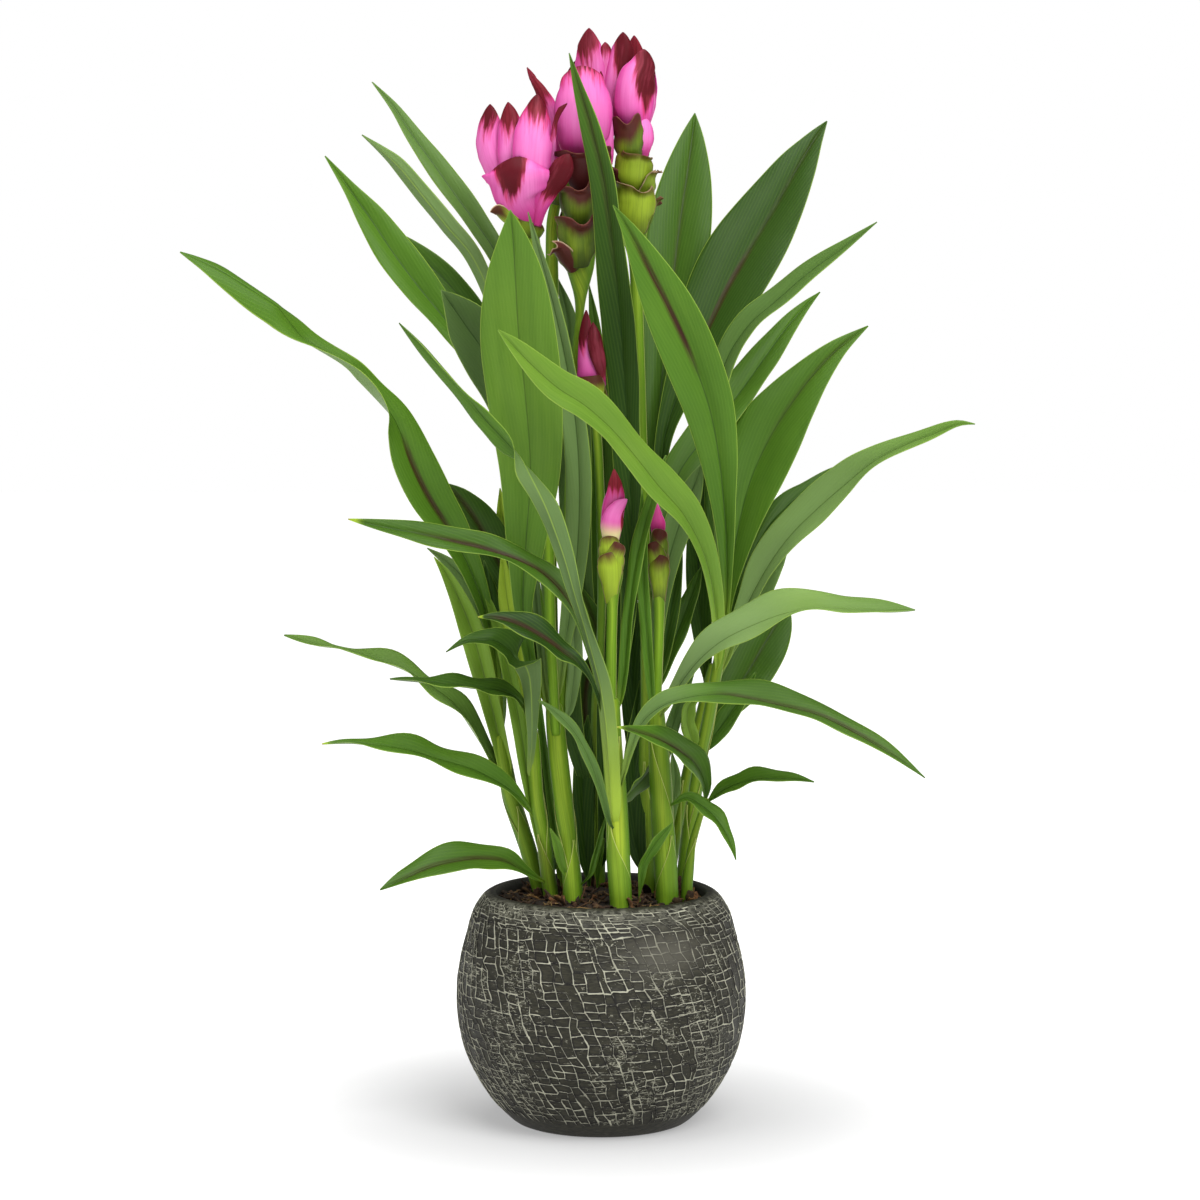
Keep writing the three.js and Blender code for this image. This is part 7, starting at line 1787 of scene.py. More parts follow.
                (-18.9, 33, 544.5, 5, -40), (-20, 33, 555.4, 0.4, -40)), stain=0.2),
            Bract(48, ((-25.7, 44, 515.4, 2.8, 150), (-29.6, 50, 531.1, 6.2, 150),
                (-30.7, 50, 545.5, 5.6, 150), (-30.6, 46, 558.5, 0.4, 150)), stain=0.2),
            Bract(48, ((-23.4, 44, 515.4, 2.8, 210), (-20.2, 50, 531.1, 6.2, 210),
                (-19.6, 50, 545.5, 5.6, 210), (-20.1, 46, 559.6, 0.4, 210)), stain=0.2),
        ),
        single=True,
    ),
    "bud_upper": Head(
        stalk=((-1.2, 28, 238.4, 2.2), (0.4, 12, 298.3, 2.5), (-1.2, 2, 359.4, 2.5), (-3.4, -2, 389.5, 2.7),
            (-4.5, -3, 403.2, 5.5), (-5.5, -3, 419.4, 4.9), (-7.2, -3, 436.8, 1.6)),
        core=((-3.9, -3, 402.1, 4.9), (-5, -3, 414, 5.5), (-6.1, -3, 424.9, 4.4), (-7.2, -3, 435.7, 1.6)),
        green=(
            bud_scale(50, ((-3.4, -6, 391.3, 3.8, 0), (-5, -11, 399, 6.5, 0), (-5.5, -12.5, 404.4, 7.3, 0),
                (-6.1, -12.5, 410.9, 6.5, 0)), stain=0.34, spread=2, shade=0.9),
            bud_scale(50, ((-2.8, 0, 391.1, 3.3, 180), (-2.3, 4, 398.7, 5.5, 180),
                (-1.7, 5, 405.2, 3.8, 180), (-1.2, 6, 411.7, 0.4, 180)), stain=0.2, shade=0.8),
        ),
        pink=(
            Bract(50, ((-3.9, -3, 396.6, 4.4, 0), (-5.5, -9, 408.1, 7.1, 0), (-6.3, -10, 419, 6.5, 0),
                (-8, -8, 431.4, 4.1, 0), (-8.2, -5, 446.5, 0.4, 0)), stain=0.36, spread=1.6),
            Bract(50, ((1.5, -6, 405.4, 1.1, 0), (-0.4, -13, 415.2, 3, 0), (-2.3, -14, 423.9, 4.3, 0),
                (-3.6, -13, 431.4, 3.7, 0), (-4.4, -10, 440, 0.4, 0)), stain=0.85, spread=3),
            Bract(50, ((-4.5, 0, 396.6, 3.8, 180), (-5, 4, 408.5, 6.6, 180), (-6.1, 4, 421, 6, 180),
                (-7.2, 0, 434.6, 0.4, 180)), stain=0.4, shade=-0.4),
        ),
        single=True,
    ),
    "bud_front": Head(
        stalk=((5.3, -39, 224, 2.7), (5.3, -40, 259.2, 2.9), (5.8, -40, 289.9, 3.2), (5.2, -40, 306, 6.4),
            (5.8, -40, 321.1, 5.6), (6.3, -40, 339.8, 4.8), (6.8, -40, 354.2, 1.6)),
        core=((6.3, -40, 328, 4.3), (6.3, -40, 337.1, 4.8), (6.8, -40, 345.2, 4), (6.8, -40, 353.2, 1.6)),
        green=(
            bud_scale(50, ((5, -42, 289.5, 2.7, 0), (5, -45, 298.4, 4.4, 0), (4.7, -47.5, 307.1, 6.5, 0),
                (4.2, -48, 312.5, 5.8, 0), (2.8, -48, 317.3, 0.5, 0)), stain=0.14, aim=-0.1, spread=1.2,
                shade=0.9),
            bud_scale(50, ((5.8, -43.5, 302.5, 4.8, 0), (6.3, -46.5, 311.3, 6, 0),
                (7.4, -47.3, 317.3, 4.8, 0), (10, -47, 322.6, 0.5, 0)), stain=0.25, spread=2, shade=0.6),
            bud_scale(50, ((5.2, -43, 306.8, 4.8, 0), (4.7, -45.5, 316.1, 5.9, 0),
                (4.4, -46.3, 321.5, 5.1, 0), (4.2, -46, 326.3, 0.5, 0)), stain=0.14, spread=2, shade=0.8),
            bud_scale(50, ((5.3, -35, 301.9, 4.3, 180), (5.3, -32.5, 311.4, 5.9, 180),
                (5.3, -32.5, 317.9, 3.8, 180), (5.3, -33, 322.2, 0.5, 180)), stain=0.1, shade=0.9),
        ),
        pink=(
            Bract(50, ((5.2, -44, 323.5, 4.3, 0), (5.5, -47, 331.1, 5.9, 0), (6.8, -48, 337.6, 5.2, 0),
                (9.5, -47, 342.1, 3.5, 0), (13.8, -45, 345.9, 0.4, 0)), stain=0.8, aim=1, spread=0.6,
                tone=0.9, wine=0.8, shade=-0.25, wave=0.3),
            Bract(50, ((5.8, -40, 325.3, 4.3, 0), (6, -42.5, 336.7, 5.9, 0), (7.4, -43.5, 345.9, 5.3, 0),
                (7.4, -42.5, 353.8, 3.5, 0), (6.8, -40, 361.7, 0.4, 0)), stain=0.3, spread=3, wine=1,
                shade=-0.6, wave=0.3),
            Bract(50, ((5.8, -36, 323.5, 3.7, 180), (5.8, -34, 334.1, 5.9, 180),
                (6.3, -35, 344.9, 4.8, 180), (6.8, -38, 355.8, 0.4, 180)), tone=0.5, shade=-0.4),
        ),
        single=True,
    ),
    "bud_right": Head(
        stalk=((29.7, -22, 223.6, 2.4), (30.8, -20, 257.2, 2.7), (31.4, -18, 287.6, 3.2),
            (30.8, -18, 304.4, 5.7), (30.2, -18, 319.6, 5.9), (30.2, -18, 330.5, 3.8),
            (30.7, -18, 338.6, 1.4)),
        core=((30.2, -18, 327.8, 3.2), (30.7, -18, 333.2, 2.7), (30.7, -18, 337.5, 1.4)),
        green=(
            bud_scale(50, ((31.6, -20, 288.3, 2.9, 0), (31.5, -23, 296.7, 4.3, 0),
                (31.2, -26.5, 304, 5.8, 0), (31.4, -27, 309.4, 5.2, 0), (32.8, -26.5, 314.8, 0.5, 0)),
                stain=0.25, shade=0.45),
            bud_scale(50, ((30.7, -23.5, 302.7, 4.9, 0), (30.1, -26, 311, 5.7, 0),
                (29.3, -26.4, 316.4, 4.6, 0), (27.4, -26, 321.8, 0.5, 0)), stain=0.35, shade=0.3),
            bud_scale(50, ((31.2, -22.5, 310.7, 4.6, 0), (31.2, -25, 319, 5.1, 0),
                (31.2, -25.3, 323.9, 4.3, 0), (32.3, -24.8, 328.7, 0.5, 0)), stain=0.45, shade=0.1),
            bud_scale(50, ((30.9, -13, 303, 4.3, 180), (30.9, -10.5, 312.1, 6, 180),
                (30.9, -11, 319.2, 3.8, 180), (30.9, -12, 324.1, 0.5, 180)), stain=0.3, shade=0.3),
        ),
        pink=(
            Bract(50, ((30.7, -21, 324.7, 3.2, 0), (30.7, -22, 331.3, 4, 0), (30.2, -21, 336.6, 2.4, 0),
                (29.9, -20, 342.5, 0.4, 0)), shade=-0.8),
        ),
        single=True,
    ),
}


@dataclass(frozen=True)
class Blooms:
    """The flower heads and buds, built of cupped bracts."""

    stations: int = 38
    columns: int = 25
    thickness: float = 0.75
    rim_thickness: float = 0.3
    ruffle: float = 0.9
    least_half: float = 0.35
    droop: float = 0.17
    groove: float = 0.14
    groove_width: float = 0.8
    fold_height: float = 0.03
    fold_pitch: float = 3.4
    sides: int = 24
    stalk_rings: int = 110
    core_rings: int = 30
    stalk_ribs: float = 0.015
    # Painted light on the front and back of the stalks.
    stalk_glow: float = 0.6
    stalk_inside: float = 0.55
    slim_above: float = 12.0
    core_share: float = 0.9
    # TINT of the stalks (rust, pale, glow, painted shade) and of the core (no stain, foot or wine; full
    # painted shade).
    stalk_skin: tuple[float, float, float, float] = (0.0, 0.1, 0.0, 0.45)
    core_skin: tuple[float, float, float, float] = (-1.0, 0.0, 0.0, 0.0)
    apart: float = 53.0

    def outline(self, bract: Bract, rows: Array, t: Array) -> Array:
        """Half width along a bract, which ends in a soft point, a round top or a blunt lip.

        Args:
            bract: Its shape and look.
            rows: Its control rows.
            t: Places along it.

        Returns:
            The half width at each place, in millimetres.
        """
        last = 1 - 1 / (len(rows) - 1)
        shoulder = spline(rows, np.array([last]))[0, 3]
        past = np.clip((t - last) / (1 - last), 0, 1)
        plain = np.maximum(spline(rows, t)[:, 3], self.least_half)
        pointed = shoulder * (1 - past**1.2) ** 1.02
        domed = shoulder * np.sqrt(1 - past**2.5)
        shaped = np.maximum(plain, pointed + (domed - pointed) * bract.round + 0.25)
        square = shoulder * (1 - 0.25 * past**2)
        shaped = shaped * (1 - bract.blunt) + square * bract.blunt
        return np.where(past > 0, shaped, plain)

    def add_bract(self, surface: Surface, bract: Bract, seed: int, finish: int) -> None:
        """Adds one bract.

        Args:
            surface: Where the bract goes.
            bract: Its shape and look.
            seed: Number that its unevenness starts from.
            finish: Index of the material.
        """
        rows = np.array(bract.rows, float)
        t = 1 - (1 - np.linspace(0, 1, self.stations)) ** 1.15
        v = np.linspace(-1, 1, self.columns)
        size = np.abs(v)
        half = self.outline(bract, rows, t)[:, None]
        sagging = 0.9 * (1 - v**2) + 0.35 * v + 0.3 * np.sin(4.1 * v + seed)
        drop = self.droop * bract.blunt * sagging * smoothstep(t, 0.3, 1.0)[:, None]
        flat = np.clip(t[:, None] - drop, 0, 1).ravel()
        row = spline(rows, flat)
        grid = (self.stations, self.columns, 3)
        side, face = (w.reshape(grid) for w in frames(rows, flat, row[:, 4]))
        gone = travelled(spline(rows, t))
        cup = math.radians(bract.cup)
        angle = (v * cup)[:, None]
        out = side * np.sin(angle) + face * np.cos(angle)
        radius = (half / math.sin(cup))[..., None]
        across = v * half
        edge = v**4
        ripple = self.ruffle * bract.wave * edge * uneven(gone, 0.16, (seed * 3.1, 0.0), 7.0, v > 0)
        flare = bract.flare * edge * smoothstep(t, 0.35, 1.0)[:, None]
        brim = smoothstep(t, 0.70, 1.0)[:, None] ** 2
        lip = bract.lip * brim * (1 + 0.55 * np.sin(5.5 * v + seed) + 0.25 * np.sin(11 * v + 2 * seed))
        groove = -self.groove * np.exp(-((across / self.groove_width) ** 2))
        folds = self.fold_height * np.cos(TURN * v * half / self.fold_pitch)
        middle = row[:, :3].reshape(grid) + out * radius - face * radius
        middle = middle + out * (ripple + flare + lip + groove + folds)[..., None]
        thick = self.rim_thickness + (self.thickness - self.rim_thickness) * (1 - size**3)
        thick = thick * np.clip(half / 2.5, 0.4, 1)
        share = (gone / gone[-1])[:, None]
        away = np.maximum(size, bract.blunt * (1 - (1 - t[:, None]) * gone[-1] / half))
        off = np.abs((across / half.max() - bract.aim) / bract.spread)
        reach = bract.stain * (1 - off**1.7) - (1 - share)
        if bract.stain == 0:
            reach = np.full_like(across, -1.0)
        plain = (bract.tone, bract.wine, 0.5 + 0.5 * bract.shade)
        tint = np.stack([reach] + [np.full_like(across, value) for value in plain], -1)
        shifted = gone[:, None] + self.apart * seed
        values = blade_values(shifted, across, share, np.clip(away, 0, 1), half, tint)
        add_sheet(surface, middle, out, thick, values, finish)

    def dress(self, pink: Material, green: Material, stem: Material) -> int:
        """Builds every head.

        Args:
            pink: Material of the pink bracts.
            green: Material of the green bracts.
            stem: Material of the flower stalks.

        Returns:
            How many bracts there are.
        """
        count = 0
        materials = [stem, green, pink]
        for name, head in HEADS.items():
            lower = Surface()
            upper = lower if head.single else Surface()
            stalk, core = (rounded(np.array(rows, float)) for rows in (head.stalk, head.core))
            stalk[:, 3] *= np.where(stalk[:, 2] > core[0, 2] - self.slim_above, self.stalk_inside, 1.0)
            ribs, glow = self.stalk_ribs, self.stalk_glow
            add_tube(lower, stalk, self.sides, self.stalk_rings, self.stalk_skin, ribs=ribs, glow=glow)
            core[:, 3] *= self.core_share
            add_tube(upper, core, self.sides, self.core_rings, self.core_skin, finish=2)
            for surface, bracts, finish in ((lower, head.green, 1), (upper, head.pink, 2)):
                for bract in bracts:
                    count += 1
                    self.add_bract(surface, bract, count, finish)
            if head.single:
                attach(lower.build(f"{name}_head", materials), Slot.PINK, name)
            else:
                attach(lower.build(f"{name}_green_bracts", materials), Slot.GREEN, f"{name}_green")
                attach(upper.build(f"{name}_pink_bracts", materials), Slot.PINK, f"{name}_pink")
        return count


# Pot and soil


def turned(profile: Array, angle: Array) -> Array:
    """Grid of points of a turned body, one row per profile corner."""
    radius, height = profile[:, 0:1], profile[:, 1:2]
    return np.stack(np.broadcast_arrays(radius * np.cos(angle), radius * np.sin(angle), height), -1)


def at_lengths(profile: Array, gone: Array, at: Array) -> Array:
    """Radius and height at lengths along a profile."""
    return np.stack([np.interp(at, gone, profile[:, k]) for k in (0, 1)], -1)


@dataclass(frozen=True)
class Pot:
    """Round cover pot with a mosaic of raised lines, a rolled lip, a plain foot and a painted highlight."""

    outside: Sequence[tuple[float, float]] = (
        (0.0, 0.0), (30.0, 0.0), (44.5, 0.0), (46.4, 0.35), (49.2, 1.6), (52.4, 4.4), (56.6, 8.6),
        (64.0, 18.0), (70.9, 30.0), (75.8, 42.0), (78.6, 55.0), (79.6, 67.0), (79.2, 80.0), (76.8, 94.0),
        (73.6, 106.0), (71.0, 115.5), (67.0, 122.5), (63.5, 126.4), (60.4, 127.9), (58.5, 127.4),
        (57.3, 125.4),
    )
    inside: Sequence[tuple[float, float]] = (
        (57.3, 117.0), (66.5, 97.0), (71.8, 69.0), (66.5, 39.0), (51.0, 14.0), (42.0, 8.0),
    )
    top: float = 127.9
    foot_radii: tuple[float, ...] = (30.0, 44.5, 46.6, 48.4, 50.6, 53.2, 55.4)
    lip_shares: tuple[float, ...] = (0.86, 0.7, 0.55, 0.42, 0.3, 0.2, 0.1, 0.0)
    lip_powdered: int = 6
    lip_glazed: int = 4
    mosaic_low: float = 8.6
    mosaic_high: float = 126.8
    courses: int = 30
    wide_courses: int = 23
    wide_share: float = 0.885
    tiles: int = 80
    cuts: tuple[float, ...] = (0.0, 0.075, 0.17, 0.5, 0.83, 0.925)
    step: float = 0.30
    step_drift: float = 0.05
    step_wave: float = 0.22
    step_limit: float = 0.42
    tile_shift: float = 0.08
    tile_slant: float = 0.12
    tile_width: float = 0.14
    column_drift: float = 0.10
    faint_across: float = 0.16
    faint_along: float = 0.10
    faint: float = 0.2
    full_across: tuple[float, float] = (0.78, 1.0)
    full_along: tuple[float, float] = (0.80, 1.0)
    ridge: float = 0.5
    joint_depth: float = 0.10
    reach: float = 1.45
    lean: float = 0.30
    powder: float = 0.6
    powder_from: tuple[float, float] = (116.0, 124.0)
    powder_to: tuple[float, float] = (127.0, 127.8)
    # Centre (x, z) and size of a painted highlight on the front of the pot.
    highlight_at: tuple[float, float] = (35.0, 104.0)
    highlight_size: tuple[float, float] = (20.0, 11.0)

    def _mosaic(
        self, rng: Random, fine: Array, gone: Array, ends: Sequence[float]
    ) -> tuple[Array, Array, Array]:
        """Places and ridge heights of the mosaic. Its courses step from one column of tiles to the next.

        Args:
            rng: Source of the irregular tiles.
            fine: Outside profile.
            gone: Arc length along it.
            ends: Arc lengths where the mosaic starts and ends.

        Returns:
            The share of the height, the angle and the ridge at each point of the grid.
        """
        low, high = ends
        count, rows, columns = len(self.cuts), self.courses, self.tiles
        shape = (rows + 1, columns)
        level = np.arange(rows + 1)[:, None]
        column = np.arange(columns)
        step = rng.uniform(-self.step, self.step, (1, columns))
        step = step + np.cumsum(rng.normal(0, self.step_drift, shape), axis=0)
        swell = self.step_wave * np.sin(column * TURN * 5 / columns + level * 0.7)
        step = np.clip(step - np.mean(step, axis=0) + swell, -self.step_limit, self.step_limit)
        u = level + step + rng.normal(0, self.tile_shift, shape)
        slant = rng.normal(0, self.tile_slant, shape)
        u[0], u[-1], slant[0], slant[-1] = 0.0, rows, 0.0, 0.0
        w = column + rng.normal(0, self.tile_width, shape)
        w = w + 0.5 * np.cumsum(rng.normal(0, self.column_drift, shape), axis=0) - level * self.lean
        across, along = (
            np.where(rng.random(shape) < share, self.faint, rng.uniform(*full, shape))
            for share, full in ((self.faint_across, self.full_across), (self.faint_along, self.full_along))
        )
        i = np.minimum(np.arange(rows * count + 1) // count, rows - 1)[:, None]
        a = np.append(np.tile(self.cuts, rows), 1.0)[:, None]
        j = np.arange(columns * count) // count
        b = np.tile(self.cuts, columns)
        k, before = (j + 1) % columns, (j - 1) % columns

        def course(column_of: Array, place: Union[Array, float]) -> Array:
            """Height of the points in a column of tiles, at a place from 0 to 1 across it."""
            lower = u[i, column_of] + slant[i, column_of] * (place - 0.5)
            upper = u[i + 1, column_of] + slant[i + 1, column_of] * (place - 0.5)
            return (1 - a) * lower + a * upper

        def joined(line: Array, level_of: Array) -> Array:
            """Strength of a line, shared between two tiles where they meet."""
            return np.where(b == 0, 0.5 * (line[level_of, j] + line[level_of, before]), line[level_of, j])

        def height(course_of: Array) -> Array:
            """Share of the mosaic's height below a course. The last courses are low ones."""
            return np.interp(course_of, [0.0, float(self.wide_courses), rows], [0.0, self.wide_share, 1.0])

        grid_u = np.where(b == 0, 0.5 * (course(j, 0.0) + course(before, 1.0)), course(j, b))
        left = (1 - a) * w[i, j] + a * w[i + 1, j]
        right = (1 - a) * w[i, k] + a * w[i + 1, k] + np.where(j + 1 == columns, columns, 0)
        grid_w = (1 - b) * left + b * right
        share = height(grid_u)
        tall = np.diff(height(np.arange(rows + 1.0))) * (high - low)
        wide = TURN * np.interp(low + share * (high - low), gone, fine[:, 0]) / columns
        lines = (
            (joined(across, i), a * tall[i]), (joined(across, i + 1), (1 - a) * tall[i]),
            (along[i, j], b * wide), (along[i, k], (1 - b) * wide),
        )
        ridge = np.zeros_like(grid_u)
        for strength, gap in lines:
            ridge = np.maximum(ridge, strength * (1 - np.clip(gap / self.reach, 0, 1)))
        return share, grid_w / columns * 2 * np.pi, ridge

    def dress(self, material: Material, rng: Random) -> int:
        """Builds the pot.

        Args:
            material: The pot material.
            rng: Source of the irregular mosaic.

        Returns:
            How many points the pot has.
        """
        fine = spline(np.array(self.outside, float), np.linspace(0, 1, 900))
        fine = np.stack([np.maximum(fine[:, 0], 0.0), np.clip(fine[:, 1], 0.0, self.top)], 1)
        gone = travelled(fine)
        rise = fine[: int(np.argmax(fine[:, 1]))]
        low, high = (gone[np.searchsorted(rise[:, 1], z)] for z in (self.mosaic_low, self.mosaic_high))
        share, angle, ridge = self._mosaic(rng, fine, gone, (low, high))
        at = low + share * (high - low)
        slope = unit(at_lengths(fine, gone, at + 0.5) - at_lengths(fine, gone, at - 0.5))
        fade = smoothstep(share, 0.0, 0.02) * (1 - smoothstep(share, 0.985, 1.0))
        lift = (smoothstep(ridge, 0.5, 1.0) * self.ridge - self.joint_depth) * fade
        radius, height = np.moveaxis(at_lengths(fine, gone, at), -1, 0)
        radius, height = radius + slope[..., 1] * lift, height - slope[..., 0] * lift
        body = np.stack([radius * np.cos(angle), radius * np.sin(angle), height], -1)
        foot = np.stack([self.foot_radii, np.interp(self.foot_radii, rise[:, 0], rise[:, 1])], -1)
        lip = at_lengths(fine, gone, gone[-1] - (gone[-1] - high) * np.array(self.lip_shares))
        under, over = turned(foot, angle[0]), turned(np.vstack([lip, self.inside]), angle[-1])
        points = np.concatenate([under, body, over])
        rows, columns = points.shape[:2]
        bare_under, bare_over = np.zeros(under.shape[:2]), np.zeros(over.shape[:2])
        ridges = np.concatenate([bare_under, ridge, bare_over])
        plain = np.concatenate([bare_under + 1, 1 - fade, bare_over + 1])
        x, y, z = np.moveaxis(points, -1, 0)
        level = np.arange(rows)[:, None] - len(under) - len(body)
        powder = self.powder * smoothstep(z, *self.powder_from) * (1 - smoothstep(z, *self.powder_to))
        powder = powder * (level < self.lip_powdered)
        inner = (level >= self.lip_glazed) * np.ones(columns)
        # Here worn holds its spread across, not wear.
        # Painted highlight: a soft pool of light on the front, right of middle and high up.
        worn = ((x - self.highlight_at[0]) / self.highlight_size[0]) ** 2
        painted_highlight = np.exp(-worn - ((z - self.highlight_at[1]) / self.highlight_size[1]) ** 2) * (y < 0)
        rim = np.stack([ridges, 1 - 0.75 * painted_highlight, plain], -1)
        tint = np.stack([painted_highlight, powder, inner, np.ones_like(inner)], -1)
        centres = [[0.0, 0.0, 0.0], [0.0, 0.0, self.inside[-1][1]]]
        values = {
            Attr.RIM: np.concatenate([rim.reshape(-1, 3), [[0, 0, 1], [0, 0, 1]]]),
            Attr.TINT: np.concatenate([tint.reshape(-1, 4), [[0, 0, 0, 1], [0, 0, 1, 1]]]),
        }
        surface = Surface()
        surface.add(np.concatenate([points.reshape(-1, 3), centres]), tube_faces(rows, columns), values)
        attach(surface.build("cover_pot", [material]), Slot.POT, "pot")
        return rows * columns


@dataclass(frozen=True)
class Soil:
    """Crowned bed of peat with bark chips, husks and fibres on it."""

    wall: Sequence[tuple[float, float]] = (
        (41.7, 8.3), (50.7, 14.2), (66.2, 39.0), (71.5, 69.0), (66.2, 97.0), (56.9, 116.8),
    )
    radius: float = 56.8
    crown_radius: float = 57.0
    edge_height: float = 122.6
    crown: float = 2.4
    rings: int = 46
    spokes: int = 140
    chips: int = 300
    chip_within: float = 55.0
    chip_room: float = 56.5
    chip_grid: tuple[int, int] = (6, 5)
    chip_length: tuple[float, float] = (2.2, 7.5)
    chip_width: tuple[float, float] = (1.2, 3.2)
    chip_thickness: tuple[float, float] = (0.5, 1.4)
    chip_tilt: tuple[float, float] = (0.33, 0.3)
    fibres: int = 90
    fibre_within: float = 52.0
    fibre_room: float = 55.5
    fibre_step: float = 2.2
    fibre_rows: int = 5
    fibre_radius: tuple[float, float] = (0.16, 0.3)
    fibre_sides: int = 6
    fibre_rings: int = 14
    husks: int = 90
    husk_within: float = 53.0
    husk_room: float = 54.5
    husk_grid: tuple[int, int] = (10, 7)
    husk_thickness: float = 0.4
    husk_gap: tuple[float, float] = (0.6, 5.5)
    husk_length: tuple[float, float] = (4.5, 11.0)
    husk_width: tuple[float, float] = (0.9, 2.4)
    husk_lean: tuple[float, float] = (0.15, 1.25)
    husk_bend: tuple[float, float] = (-0.5, 1.3)
    husk_curl: float = 0.9

    def height(self, x: float, y: float) -> float:
        """Height of the soil.

        Args:
            x: Distance to the right of the middle.
            y: Distance behind the middle.

        Returns:
            The height over the pot's foot, in millimetres.
        """
        share = min(1.0, math.hypot(x, y) / self.crown_radius)
        lumps = 1.2 * noise.noise((x * 0.11, y * 0.11, 3.0)) + 0.8 * noise.noise((x * 0.35, y * 0.35, 8.0))
        crumbs = 0.5 * noise.noise((x * 0.9, y * 0.9, 1.0))
        return self.edge_height + self.crown * (1 - share**2) + lumps + crumbs

    def _bed(self, surface: Surface) -> None:
        """Adds the bed itself.

        Args:
            surface: Where the bed goes.
        """
        angle = np.linspace(0, TURN, self.spokes, endpoint=False)
        radii = self.radius * (1 - np.linspace(0, 0.985, self.rings))
        top = turned(np.stack([radii, radii], 1), angle)
        for place in top.reshape(-1, 3):
            place[2] = self.height(place[0], place[1])
        points = np.concatenate([turned(np.array(self.wall), angle), top])
        centres = [[0, 0, self.wall[0][1]], [0, 0, self.height(0, 0)]]
        every = np.concatenate([points.reshape(-1, 3), centres])
        surface.add(every, tube_faces(len(points), self.spokes), {})

    @staticmethod
    def _scattered(rng: Random, within: float) -> tuple[float, float, float]:
        """Even random place in a circle, as its distance from the middle, x and y."""
        radius, angle = within * math.sqrt(rng.random()), rng.random() * TURN
        return radius, radius * math.cos(angle), radius * math.sin(angle)

    @staticmethod
    def _tinted(tone: float, warm: float, grid: Sequence[int]) -> Values:
        """Attribute grid of one brown, by how light and how warm it is."""
        return {Attr.TINT: np.broadcast_to([tone * warm, tone, tone / warm, 1.0], (*grid, 4))}

    def _chip(self, surface: Surface, rng: Random, finish: int) -> None:
        """Adds one rough flake of bark.

        Args:
            surface: Where the flake goes.
            rng: Source of its shape, place and colour.
            finish: Index of the material.
        """
        radius, x, y = self._scattered(rng, self.chip_within)
        sizes = (self.chip_length, self.chip_width, self.chip_thickness)
        length, width, thick = (rng.uniform(*ends) for ends in sizes)
        length = min(length, 2.0 + 2 * max(0.0, self.chip_room - radius))
        grid = self.chip_grid
        u, v = np.linspace(-1, 1, grid[0])[:, None], np.linspace(-1, 1, grid[1])
        shape = np.sqrt(np.clip(1 - 0.75 * u**2, 0.05, 1))
        long = u * length / 2 + rng.normal(0, 0.12, grid) * 1.2
        wide = v * shape * width / 2 + rng.normal(0, 0.1, grid)
        middle = np.stack([long, wide, rng.normal(0, 0.12, grid)], -1)
        turn = Matrix.Rotation(rng.random() * TURN, 3, "Z")
        roll, pitch = (rng.normal(0, spread) for spread in self.chip_tilt)
        tip = Matrix.Rotation(roll, 3, "X") @ Matrix.Rotation(pitch, 3, "Y")
        axes = np.array(turn @ tip)
        middle = middle @ axes.T + np.array([x, y, self.height(x, y) + 0.35 + rng.random() * 1.1])
        values = self._tinted(rng.uniform(0.55, 1.5), rng.uniform(0.85, 1.2), grid)
        out = np.broadcast_to(axes[:, 2], middle.shape)
        add_sheet(surface, middle, out, np.full(grid, thick), values, finish)

    def _husk(self, surface: Surface, rng: Random, finish: int) -> None:
        """Adds one dry, curled leaf base that leans against the foot of a stem.

        Args:
            surface: Where the husk goes.
            rng: Source of its shape, place and colour.
            finish: Index of the material.
        """
        grid = self.husk_grid
        foot = list(STEMS.values())[int(rng.integers(len(STEMS)))][1]
        around = rng.random() * TURN
        gap = foot[3] + rng.uniform(*self.husk_gap)
        x, y = foot[0] + gap * math.cos(around), foot[1] + gap * math.sin(around)
        inward = min(1.0, self.husk_within / max(1.0, math.hypot(x, y)))
        x, y = x * inward, y * inward
        length, width = rng.uniform(*self.husk_length), rng.uniform(*self.husk_width)
        u, v = np.linspace(0, 1, grid[0]), np.linspace(-1, 1, grid[1])
        bend = rng.uniform(*self.husk_lean) + rng.uniform(*self.husk_bend) * u
        heading = around + rng.normal(0, 0.9)
        ahead = np.array([math.cos(heading), math.sin(heading), 0.0])
        aside = np.array([-ahead[1], ahead[0], 0.0])
        up = np.array([0, 0, 1.0])
        along, high = (np.cumsum(way(bend))[:, None] * length / grid[0] for way in (np.cos, np.sin))
        spine = np.array([x, y, self.height(x, y) - 0.6]) + along * ahead + high * up
        away = np.maximum(np.hypot(spine[:, 0], spine[:, 1]), 1.0)
        spine[:, :2] *= np.minimum(1.0, self.husk_room / away)[:, None]
        half = width * np.sqrt(np.clip(1 - (1.5 * u - 0.6) ** 2, 0.03, 1)) * rng.uniform(0.85, 1.1, grid[0])
        half = half[:, None]
        normal = (-np.sin(bend)[:, None] * ahead + np.cos(bend)[:, None] * up)[:, None]
        curl = rng.uniform(-self.husk_curl, self.husk_curl)
        middle = spine[:, None] + aside * (v * half)[..., None] + normal * (curl * half * v**2)[..., None]
        middle = middle + rng.normal(0, 0.12, middle.shape)
        tone, warm = 0.5 + 4.5 * rng.random() ** 2.2, rng.uniform(1.0, 1.25)
        values = self._tinted(tone / 4 if finish == 2 else tone, warm, grid)
        out = np.broadcast_to(normal, middle.shape)
        add_sheet(surface, middle, out, np.full(grid, self.husk_thickness), values, finish)

